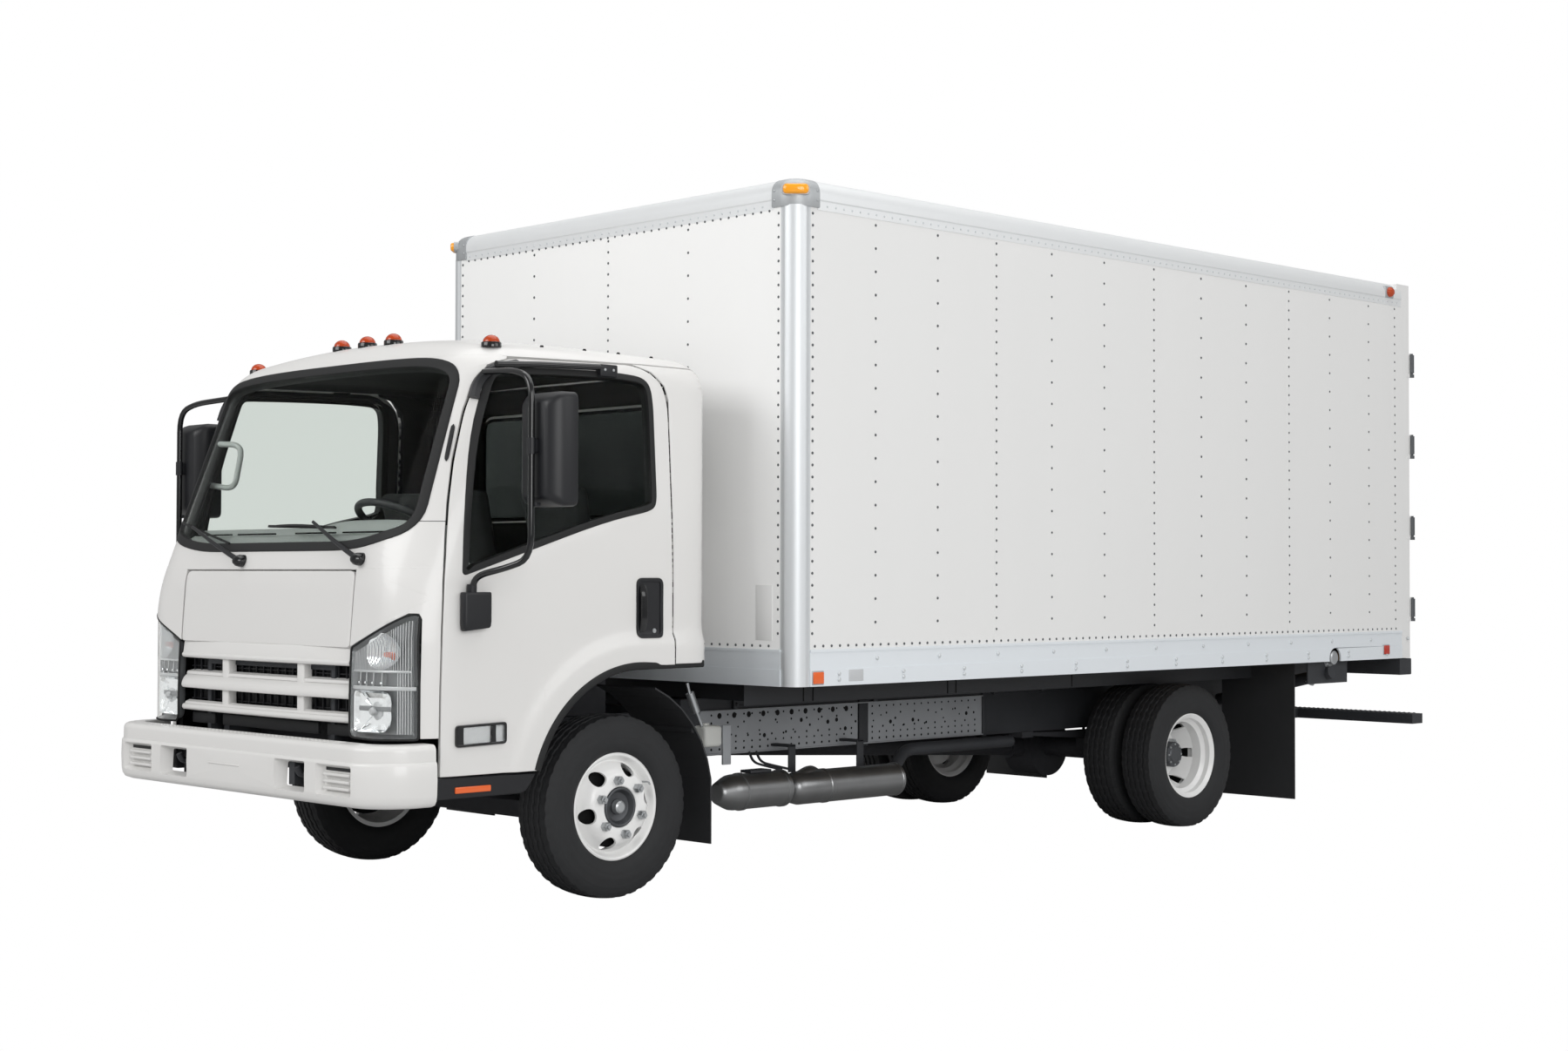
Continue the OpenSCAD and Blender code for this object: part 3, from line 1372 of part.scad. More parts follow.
// A wheel's axis turned to point out of the left side at x, y
module on_left(x, y) {
    translate([x, y, tyre_r]) rotate([0, 90, 0]) children();
}

module wheel_front_left() color(paint) at_axle() on_left(track_front / 2, 0) front_wheel();
module wheel_front_right() color(paint) at_axle() mirror([1, 0, 0]) on_left(track_front / 2, 0)
    front_wheel();
module tyre_front_left() color(black) at_axle() on_left(track_front / 2, 0) tyre();
module tyre_front_right() color(black) at_axle() mirror([1, 0, 0]) on_left(track_front / 2, 0) tyre();
module wheel_rear_left() color(paint) at_axle() on_left(track_rear / 2, wheelbase) rear_wheels();
module wheel_rear_right() color(paint) at_axle() mirror([1, 0, 0]) on_left(track_rear / 2, wheelbase)
    rear_wheels();
module tyre_pair() {
    for (z = [-dual_pitch / 2 - seat_gap / 2, dual_pitch / 2 + seat_gap / 2]) translate([0, 0, z]) tyre();
}
module tyres_rear_left() color(black) at_axle() on_left(track_rear / 2, wheelbase) tyre_pair();
module tyres_rear_right() color(black) at_axle() mirror([1, 0, 0]) on_left(track_rear / 2, wheelbase)
    tyre_pair();

ladder_frame();
front_axle();
rear_axle();
leaf_springs();
engine();
radiator();
exhaust();
fuel_tank();
front_bumper();
rear_step();
mud_guards();
body_underframe();
body_floor();
body_walls();
body_roof();
body_rails();
rear_frame();
body_lamps();
rear_door_left();
rear_door_right();
cab_floor();
cab_back();
cab_roof();
cab_front();
cab_pillars();
cab_glass();
cab_sills();
grille();
headlamps();
dashboard();
seats();
wipers();
roof_lamps();
steering_wheel();
door_left();
door_glass_left();
mirror_left();
door_right();
door_glass_right();
mirror_right();
knuckle_left();
knuckle_right();
tie_rod();
wheel_front_left();
tyre_front_left();
wheel_front_right();
tyre_front_right();
wheel_rear_left();
tyres_rear_left();
wheel_rear_right();
tyres_rear_right();
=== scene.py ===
"""Dresses the cab-over cargo truck: skins, lamps, rivets, tyres, glass and trim over its jointed solids."""

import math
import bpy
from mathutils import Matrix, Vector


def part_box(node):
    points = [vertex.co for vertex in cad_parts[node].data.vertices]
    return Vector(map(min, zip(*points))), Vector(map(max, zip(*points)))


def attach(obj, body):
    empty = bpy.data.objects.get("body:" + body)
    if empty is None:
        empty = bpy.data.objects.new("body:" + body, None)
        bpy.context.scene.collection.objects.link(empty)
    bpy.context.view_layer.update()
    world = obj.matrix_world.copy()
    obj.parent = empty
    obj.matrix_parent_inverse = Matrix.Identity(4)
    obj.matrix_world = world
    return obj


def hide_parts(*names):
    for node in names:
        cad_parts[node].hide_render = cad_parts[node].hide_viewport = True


bl_info = {
    "name": "Cargo truck dresser",
    "version": (1, 0, 0),
    "blender": (4, 5, 0),
    "location": "View3D > Sidebar > Truck",
    "description": "Builds the skins, fittings and materials of a cab-over cargo truck on its frame",
    "category": "Object",
}

import bmesh
import bpy
import numpy as np
from mathutils import Matrix, Vector

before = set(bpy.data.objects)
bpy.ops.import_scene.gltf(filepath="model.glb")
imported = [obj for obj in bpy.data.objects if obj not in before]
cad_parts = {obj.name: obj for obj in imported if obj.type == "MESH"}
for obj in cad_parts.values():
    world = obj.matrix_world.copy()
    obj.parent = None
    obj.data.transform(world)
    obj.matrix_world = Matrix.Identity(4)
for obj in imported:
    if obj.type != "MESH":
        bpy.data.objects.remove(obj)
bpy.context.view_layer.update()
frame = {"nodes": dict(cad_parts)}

# Directions of the truck
LEFT, AHEAD, UP = (1.0, 0, 0), (0, -1.0, 0), (0, 0, 1.0)
# Radius that closes a turned profile on its axis
AXIS = 0.0001
INCH = 0.0254
CLOSE_PITCH, WIDE_PITCH, POST_PITCH = 2 * INCH, 4 * INCH, 16 * INCH

# Places taken from the frame, in metres
TYRE_LO, TYRE_HI = (np.array(c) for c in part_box("tyre_front_left"))
AXLE_Y = float(TYRE_LO[1] + TYRE_HI[1]) / 2
TYRE_R = float(TYRE_HI[2] - TYRE_LO[2]) / 2
REAR_LO, REAR_HI = (np.array(c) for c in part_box("tyres_rear_left"))
WHEELBASE = float(REAR_LO[1] + REAR_HI[1]) / 2 - AXLE_Y
FRONT_X = float(TYRE_LO[0] + TYRE_HI[0]) / 2
REAR_X = float(REAR_LO[0] + REAR_HI[0]) / 2


def near(node, corner, axis):
    """One coordinate of a CAD node's box, y counted from the front axle."""
    return float(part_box(node)[corner][axis]) - (AXLE_Y if axis == 1 else 0.0)


BODY_HW = near("body_walls", 1, 0)
BODY_FRONT = near("body_walls", 0, 1)
BODY_BACK = near("rear_frame", 1, 1)
BODY_LOW = near("body_rails", 0, 2)
BODY_TOP = near("body_roof", 1, 2)
FRAME_END = BODY_BACK - 0.136
CAB_HW = near("cab_back", 1, 0)
CAB_TOP = near("cab_roof", 1, 2)
CAB_BACK = near("cab_back", 1, 1)
NOSE_Y = -1.092


def linear(code):
    """sRGB hex text to linear RGBA."""
    c = np.array([int(code[i:i + 2], 16) for i in (1, 3, 5)]) / 255.0
    lin = np.where(c <= 0.04045, c / 12.92, ((c + 0.055) / 1.055) ** 2.4)
    return (*lin.tolist(), 1.0)


def add(tree, kind, links=None, **settings):
    """Adds one node. Settings name its properties or, with a capital, its sockets; links are socket: output."""
    n = tree.nodes.new(kind)
    for key, value in settings.items():
        if key[0].isupper():
            numbered = key[0] == "I" and key[1:].isdigit()
            n.inputs[int(key[1:]) if numbered else key.replace("_", " ")].default_value = value
        else:
            setattr(n, key, value)
    for key, out in (links or {}).items():
        tree.links.new(out, n.inputs[key])
    return n


def grid_faces(nu, nv, close_u=False, close_v=False):
    """Quads of an nu by nv grid of points, wrapped where asked."""
    a = np.arange(nu * nv).reshape(nu, nv)
    a = np.vstack([a, a[:1]]) if close_u else a
    a = np.hstack([a, a[:, :1]]) if close_v else a
    return np.stack([a[:-1, :-1], a[1:, :-1], a[1:, 1:], a[:-1, 1:]], -1).reshape(-1, 4).tolist()


def surface(grid, close_u=False, close_v=False, cap=False):
    """Vertices and faces of a grid of points; cap closes a tube's first and last rows with one face each."""
    nu, nv = grid.shape[:2]
    faces = grid_faces(nu, nv, close_u, close_v)
    if cap:
        faces += [list(range(nv)), list(range((nu - 1) * nv, nu * nv))[::-1]]
    return grid.reshape(-1, 3), faces


def join(*shapes):
    """Several shapes as one."""
    verts, faces, n = [], [], 0
    for v, f in shapes:
        verts.append(v)
        faces += [[i + n for i in face] for face in f]
        n += len(v)
    return np.vstack(verts), faces


def mirrored(shape):
    """A shape and its mirror image across the truck's middle plane."""
    return join(shape, flipped(shape))


def flipped(shape):
    """Mirror image of a shape across the truck's middle plane."""
    return shape[0] * [-1, 1, 1], [face[::-1] for face in shape[1]]


def sweep(path, profile, up=(0, 0, 1), closed=False, cap=True):
    """Carries a closed [side, up] profile along a path: each point is path + side * a + rise * b."""
    path = np.asarray(path, float)
    step = np.roll(path, -1, 0) - np.roll(path, 1, 0) if closed else np.gradient(path, axis=0)
    t = step / np.linalg.norm(step, axis=1, keepdims=True)
    up = np.broadcast_to(np.asarray(up, float), t.shape)
    side = np.cross(t, up)
    side /= np.linalg.norm(side, axis=1, keepdims=True)
    rise = np.cross(side, t)
    p = np.asarray(profile, float)
    pts = path[:, None] + side[:, None] * p[None, :, :1] + rise[:, None] * p[None, :, 1:]
    return surface(pts, closed, True, cap and not closed)


def ring(r, n=12, phase=0.0):
    """Points of a circle as a profile."""
    a = np.linspace(0, 2 * np.pi, n, endpoint=False) + phase
    return np.stack([r * np.cos(a), r * np.sin(a)], 1)


def bent(points, radius, steps=6):
    """A polyline whose inner corners are rounded by arcs drawn as quadratic curves."""
    p = np.asarray(points, float)
    out = [p[:1]]
    for a, b, c in zip(p[:-2], p[1:-1], p[2:]):
        la, lc = np.linalg.norm(a - b), np.linalg.norm(c - b)
        s, e = b + (a - b) * min(radius / la, 0.49), b + (c - b) * min(radius / lc, 0.49)
        t = np.linspace(0, 1, steps)[:, None]
        out.append((1 - t) ** 2 * s + 2 * t * (1 - t) * b + t ** 2 * e)
    return np.vstack(out + [p[-1:]])


def loop(points, radius, steps=6):
    """A closed outline with rounded corners, radius one number or one a corner."""
    p = np.asarray(points, float)
    r = np.broadcast_to(np.asarray(radius, float), len(p))
    out = []
    for a, b, c, k in zip(np.roll(p, 1, 0), p, np.roll(p, -1, 0), r):
        s = b + (a - b) * min(k / np.linalg.norm(a - b), 0.49)
        e = b + (c - b) * min(k / np.linalg.norm(c - b), 0.49)
        t = np.linspace(0, 1, steps)[:, None]
        out.append((1 - t) ** 2 * s + 2 * t * (1 - t) * b + t ** 2 * e)
    return np.vstack(out)


def corners(x0, z0, x1, z1):
    """Outline of a rectangle between two corners."""
    return [[x0, z0], [x1, z0], [x1, z1], [x0, z1]]


def spread(*values):
    """Numbers and arrays as float arrays of one shape."""
    return np.broadcast_arrays(*[np.asarray(v, float) for v in values])


def points(x, y, z):
    """Rows of points from coordinates that are numbers or arrays of one shape."""
    return np.stack(spread(x, y, z), -1)


def turned_over(shape):
    """A shape with its faces looking the other way."""
    return shape[0], [face[::-1] for face in shape[1]]


def to_front(shape, place):
    """A shape turned about y to look ahead, set down at a place."""
    return shape[0] * [1, -1, 1] + place, [face[::-1] for face in shape[1]]


def tube(line, r, bend=0.0, n=12, up=(0, 0, 1)):
    """A round bar along a polyline with rounded bends."""
    return sweep(bent(line, bend) if bend else np.asarray(line, float), ring(r, n), up)


def revolve(profile, centre, axis=0, n=48, close=True):
    """Turns [radius, place along the axis] points about an axis; close joins the last point to the first."""
    p = np.asarray(profile, float)
    a = np.linspace(0, 2 * np.pi, n, endpoint=False)
    i, j = [(1, 2), (2, 0), (0, 1)][axis]
    pts = np.zeros((n, len(p), 3))
    pts[..., axis] = p[None, :, 1]
    pts[..., i] = p[None, :, 0] * np.cos(a)[:, None]
    pts[..., j] = p[None, :, 0] * np.sin(a)[:, None]
    return surface(pts + np.asarray(centre, float), True, close)


def slab(lo, hi, r=0.004, steps=3):
    """Box with rounded edges: a cube grid drawn in to the core box, then pushed out by r along its offset."""
    lo, hi = np.minimum(lo, hi), np.maximum(lo, hi)
    half, mid = (hi - lo) / 2, (hi + lo) / 2
    r = min(r, half.min() * 0.98)
    shapes = []
    for axis in range(3):
        i, j = [(1, 2), (2, 0), (0, 1)][axis]
        lines = [np.concatenate([np.linspace(-half[k], r - half[k], steps),
                                 np.linspace(half[k] - r, half[k], steps)]) for k in (i, j)]
        u, v = np.meshgrid(*lines, indexing="ij")
        for sign in (-1, 1):
            p = np.zeros(u.shape + (3,))
            p[..., axis], p[..., i], p[..., j] = sign * half[axis], u, v
            core = np.clip(p, -(half - r), half - r)
            d = p - core
            p = core + r * d / np.linalg.norm(d, axis=-1, keepdims=True) + mid
            s = surface(p)
            shapes.append(s if sign > 0 else turned_over(s))
    return join(*shapes)


def plate(outline, axis, a, b, bevel=0.0):
    """Prism of a closed outline along one axis from a to b, its edges eased by bevel."""
    p = np.asarray(outline, float)
    mid = (p.min(0) + p.max(0)) / 2
    i, j = [(1, 2), (0, 2), (0, 1)][axis]
    rows = [(a, bevel), (a + math.copysign(bevel, b - a), 0), (b - math.copysign(bevel, b - a), 0),
            (b, bevel)] if bevel else [(a, 0), (b, 0)]
    size = (p.max(0) - p.min(0)) / 2
    pts = np.zeros((len(rows), len(p), 3))
    for k, (place, inset) in enumerate(rows):
        q = mid + (p - mid) * (1 - inset / size)
        pts[k, :, axis], pts[k, :, i], pts[k, :, j] = place, q[:, 0], q[:, 1]
    return surface(pts, False, True, True)


def piece(name, shape, finish_key, body="chassis", replaces=(), closed=True, crease=32):
    """Puts a shape into the scene, y counted from the front axle, with edges over crease degrees kept sharp."""
    v, f = shape
    mesh = bpy.data.meshes.new(name)
    mesh.from_pydata((np.asarray(v, float) + [0, AXLE_Y, 0]).tolist(), [], f)
    mesh.validate()
    bm = bmesh.new()
    bm.from_mesh(mesh)
    bmesh.ops.remove_doubles(bm, verts=bm.verts, dist=2e-5)
    bmesh.ops.dissolve_degenerate(bm, edges=bm.edges, dist=1e-6)
    if closed:
        bmesh.ops.recalc_face_normals(bm, faces=bm.faces)
    bm.to_mesh(mesh)
    bm.free()
    mesh.polygons.foreach_set("use_smooth", [True] * len(mesh.polygons))
    mesh.set_sharp_from_angle(angle=math.radians(crease))
    mesh.materials.append(MATERIALS[finish_key])
    obj = bpy.data.objects.new(name, mesh)
    bpy.context.scene.collection.objects.link(obj)
    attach(obj, body)
    if replaces:
        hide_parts(*replaces)
    return obj


def round_max(a, b, r):
    """Larger of two distances with the edge between them rounded to radius r."""
    return np.minimum(-r, np.maximum(a, b)) + np.hypot(np.maximum(r + a, 0), np.maximum(r + b, 0))


def corner(a, b, r):
    """Distance outside a rounded corner of two faces; a and b are how far beyond each face a point lies."""
    qa, qb = a + r, b + r
    return np.hypot(np.maximum(qa, 0), np.maximum(qb, 0)) + np.minimum(np.maximum(qa, qb), 0) - r


RAKE = math.radians(21.1)
SCREEN_Y, SCREEN_Z = NOSE_Y + 0.048, 1.4
HUB_Y = -0.3
# Wheel arch: its middle and the radius of its edge
ARCH_Y, ARCH_Z, ARCH_R = 0.04, 0.4, 0.545
# Rounding of the cab's plan at nose, back and screen, and how far nose and sides lean
NOSE_R, BACK_R, SCREEN_R = 0.25, 0.175, 0.3
NOSE_LEAN, SIDE_LEAN = math.atan2(0.028, 0.38), math.atan2(0.051, 0.84)
# Raised pan of the roof: half width, middle, half length, edge and rise, then the roof's fall to sides and ends
PAN_HW, PAN_Y, PAN_HL, PAN_EDGE, PAN_RISE = 0.62, -0.12, 0.4, 0.035, 0.014
FALL_X, FALL_Y = 0.05, 0.01
# Upper edges of screen surround and back, lower edge of the back, and the joint across the pillars
EAVES_Z, BACK_TOP_Z, BACK_LOW_Z, JOINT_Z = 2.171, 2.172, 0.948, 1.513
# Depth of the lining behind the skin
LINING = 0.045


def flare(y, z):
    """How far the wheel arch stands out: nothing beyond its rim line, a smooth rise to 17 mm just inside it."""
    r = np.where(y < ARCH_Y, np.hypot(y - ARCH_Y, z - ARCH_Z), np.abs(z - ARCH_Z))
    t = np.clip((0.685 - r) / 0.055, 0, 1)
    return 0.017 * t * t * (3 - 2 * t) * np.clip((y + 0.8) / 0.15, 0, 1)


def skin(x, y, z):
    """Distance outside the cab: round-cornered plan, raked screen, leaning sides and crowned roof."""
    ax = np.abs(x) - flare(y, z)
    plan = np.maximum(corner(ax - CAB_HW, NOSE_Y - y, NOSE_R), corner(ax - CAB_HW, y - CAB_BACK, BACK_R))
    nose = (NOSE_Y - y) * math.cos(NOSE_LEAN) + (z - 0.95) * math.sin(NOSE_LEAN)
    depth = (y - SCREEN_Y) * math.cos(RAKE) - (z - SCREEN_Z) * math.sin(RAKE)
    screen = corner(ax - CAB_HW - 0.005, -depth, SCREEN_R)
    side = (ax - CAB_HW - 0.005) * math.cos(SIDE_LEAN) + (z - 1.25) * math.sin(SIDE_LEAN)
    raised = 0.5 - 0.5 * np.tanh(np.maximum(ax - PAN_HW, np.abs(y - PAN_Y) - PAN_HL) / PAN_EDGE)
    crown = CAB_TOP - PAN_RISE - FALL_X * (ax / 0.83) ** 2 - FALL_Y * ((y + 0.1) / 0.5) ** 2
    roof = z - (crown + PAN_RISE * raised)
    f = round_max(plan, nose, 0.012)
    f = round_max(f, screen, 0.03)
    f = round_max(f, side, 0.012)
    return round_max(f, roof, 0.12)


def solve(f, lo, hi):
    """Place where f turns from inside to outside, by halving whole arrays."""
    lo, hi = np.array(lo, float), np.array(hi, float)
    for _ in range(36):
        mid = (lo + hi) / 2
        inside = f(mid) < 0
        lo, hi = np.where(inside, mid, lo), np.where(inside, hi, mid)
    return (lo + hi) / 2


def skin_at(theta, z):
    """Point of the cab's skin in direction theta about its upright middle line, at height z."""
    theta, z = spread(theta, z)
    c, s = np.cos(theta), np.sin(theta)
    r = solve(lambda q: skin(q * c, HUB_Y + q * s, z), np.full(np.shape(z), 0.1), np.full(np.shape(z), 1.6))
    return np.stack([r * c, HUB_Y + r * s, z], -1)


def skin_side(y, z):
    """Points of the left side at [y, z]."""
    y, z = spread(y, z)
    x = solve(lambda q: skin(q, y, z), np.full(y.shape, 0.3), np.full(y.shape, 1.2))
    return np.stack([x, y, z], -1)


def skin_front(x, z):
    """Points of the front at [x, z]."""
    x, z = spread(x, z)
    y = -solve(lambda q: skin(x, -q, z), np.full(x.shape, 0.2), np.full(x.shape, 1.3))
    return np.stack([x, y, z], -1)


def skin_top(x, y):
    """Points of the roof at [x, y]."""
    x, y = spread(x, y)
    z = solve(lambda q: skin(x, y, q), np.full(x.shape, 1.6), np.full(x.shape, 2.5))
    return np.stack([x, y, z], -1)


def outward(p):
    """Outward unit direction of the skin at points, from central differences."""
    h, x, y, z = 1e-3, p[..., 0], p[..., 1], p[..., 2]
    g = np.stack([skin(x + h, y, z) - skin(x - h, y, z), skin(x, y + h, z) - skin(x, y - h, z),
                  skin(x, y, z + h) - skin(x, y, z - h)], -1)
    return g / np.linalg.norm(g, axis=-1, keepdims=True)


def rays(centre, outline, ang):
    """Distance from centre to a closed outline along each angle."""
    a = np.asarray(outline) - centre
    b = np.roll(a, -1, 0)
    d = np.stack([np.cos(ang), np.sin(ang)], 1)[:, None]
    e = (b - a)[None]
    den = d[..., 0] * e[..., 1] - d[..., 1] * e[..., 0]
    den = np.where(np.abs(den) < 1e-12, 1e-12, den)
    t = (a[None, :, 0] * e[..., 1] - a[None, :, 1] * e[..., 0]) / den
    u = (a[None, :, 0] * d[..., 1] - a[None, :, 1] * d[..., 0]) / den
    t = np.where((u >= -1e-6) & (u <= 1 + 1e-6) & (t > 0), t, -1)
    return t.max(1) if np.all(t.max(1) > 0) else np.maximum(t.max(1), 1e-4)


def flat(points):
    """Skin points as [turn about the cab's middle line in metres, height]."""
    p = np.asarray(points)
    return np.stack([np.arctan2(p[..., 1] - HUB_Y, p[..., 0]), p[..., 2]], -1)


def panel(outer, centre, inner=None, rings=26, lift=0.0, hem=0.018, hem_in=None, to=None, step=200, edge=0.005,
          crowd=1.5, thick=0.0, turn=False):
    """Skin panel: rays from a centre to an outline, or between two outlines, are cut into rings laid on the skin.

    The rims are rounded and turned in by hem. A thick panel gets a second face and is closed."""
    to = to or (lambda q: skin_at(q[..., 0], q[..., 1]))
    outer, centre = np.asarray(outer, float), np.asarray(centre, float)
    knots = [outer] + ([np.asarray(inner, float)] if inner is not None else [])
    ang = np.concatenate([np.linspace(-np.pi, np.pi, step, endpoint=False)]
                         + [np.arctan2(k[:, 1] - centre[1], k[:, 0] - centre[0]) for k in knots])
    ang = np.unique(np.round(ang, 4))
    ro = rays(centre, outer, ang)
    ri = rays(centre, inner, ang) if inner is not None else np.zeros_like(ro)
    hole = inner is not None
    rim = [(edge, 0), (edge / 3, edge / 8), (0, edge / 2)]
    t = 1 - (1 - np.linspace(0, 1, rings)) ** crowd
    rows = [(ri, thick or hem_in or hem)] + [(ri + i, d) for i, d in rim[::-1]] if hole else []
    lo = edge if hole else 0.0
    rows += [(ri + lo + (ro - ri - edge - lo) * k, 0.0) for k in (t[1:-1] if hole else t[:-1])]
    rows += [(ro - i, d) for i, d in rim] + [(ro, thick or hem)]
    if thick:
        rows += [(ri + lo + (ro - ri - edge - lo) * k, thick) for k in (t[1:-1][::-1] if hole else t[:-1][::-1])]
    r = np.stack([np.broadcast_to(q, ro.shape) for q, _ in rows])
    drop = np.array([d for _, d in rows])[:, None, None]
    p = to(centre + r[..., None] * np.stack([np.cos(ang), np.sin(ang)], -1)[None])
    pts = p + outward(p) * (lift - drop)
    v, f = surface(pts, bool(thick and hole), True)
    k = (rings // 2) * len(ang)
    i = np.array(f[k:k + 60])
    facing = np.sum(np.cross(v[i[:, 1]] - v[i[:, 0]], v[i[:, 2]] - v[i[:, 0]]) * outward(v[i[:, 0]]), -1)
    return (v, f) if (np.median(facing) > 0) != turn else turned_over((v, f))


def frame_panel(outline, centre, out, inside, flatten, rings=4, edge=0.004, **how):
    """Narrow panel between an outline grown by out and the same outline drawn in by inside."""
    return panel(flatten(grown(outline, out)), centre, flatten(grown(outline, -inside)), rings, edge=edge, crowd=1,
                 **how)


def bead(line, r, lift=0.0, n=8, closed=True):
    """Round rubber or trim bead along points on the skin, standing lift above it."""
    p = np.asarray(line, float)
    return sweep(p + outward(p) * lift, ring(r, n), outward(p), closed)


def finish(name, code, rough=0.5, metal=0.0, coat=0.0, mottle=0.0, size=0.2, stretch=(1, 1, 1), bump=0.0,
           bump_size=0.004, see_through=0.0, glow=0.0, rough_mottle=0.0, ior=1.45):
    """Procedural material: a colour that wanders by mottle over patches of size metres, with fine relief."""
    m = bpy.data.materials.new(name)
    m.use_nodes = True
    t = m.node_tree
    t.nodes.clear()
    place = add(t, "ShaderNodeTexCoord").outputs["Object"]
    b = add(t, "ShaderNodeBsdfPrincipled", Roughness=rough, Metallic=metal, Coat_Weight=coat, IOR=ior,
            Transmission_Weight=see_through, Base_Color=linear(code))
    if glow:
        b.inputs["Emission Color"].default_value = linear(code)
        b.inputs["Emission Strength"].default_value = glow
    if mottle or rough_mottle:
        warped = add(t, "ShaderNodeMapping", {"Vector": place}, Scale=stretch)
        patch = add(t, "ShaderNodeTexNoise", {"Vector": warped.outputs[0]}, Scale=1 / size, Detail=4.0)
        if mottle:
            dark = tuple(c * (1 - mottle) for c in linear(code)[:3]) + (1.0,)
            mix = add(t, "ShaderNodeMix", {"Factor": patch.outputs[0]}, data_type="RGBA", I6=dark, I7=linear(code))
            t.links.new(mix.outputs[2], b.inputs["Base Color"])
        if rough_mottle:
            span = add(t, "ShaderNodeMapRange", {"Value": patch.outputs[0]}, To_Min=rough - rough_mottle,
                       To_Max=rough + rough_mottle)
            t.links.new(span.outputs[0], b.inputs["Roughness"])
    if bump:
        warped = add(t, "ShaderNodeMapping", {"Vector": place}, Scale=stretch)
        relief = add(t, "ShaderNodeTexNoise", {"Vector": warped.outputs[0]}, Scale=1 / bump_size, Detail=2.0)
        lift = add(t, "ShaderNodeBump", {"Height": relief.outputs[0]}, Strength=bump, Distance=bump_size * 0.2)
        t.links.new(lift.outputs[0], b.inputs["Normal"])
    add(t, "ShaderNodeOutputMaterial", {"Surface": b.outputs[0]})
    return m


MATERIALS = {}


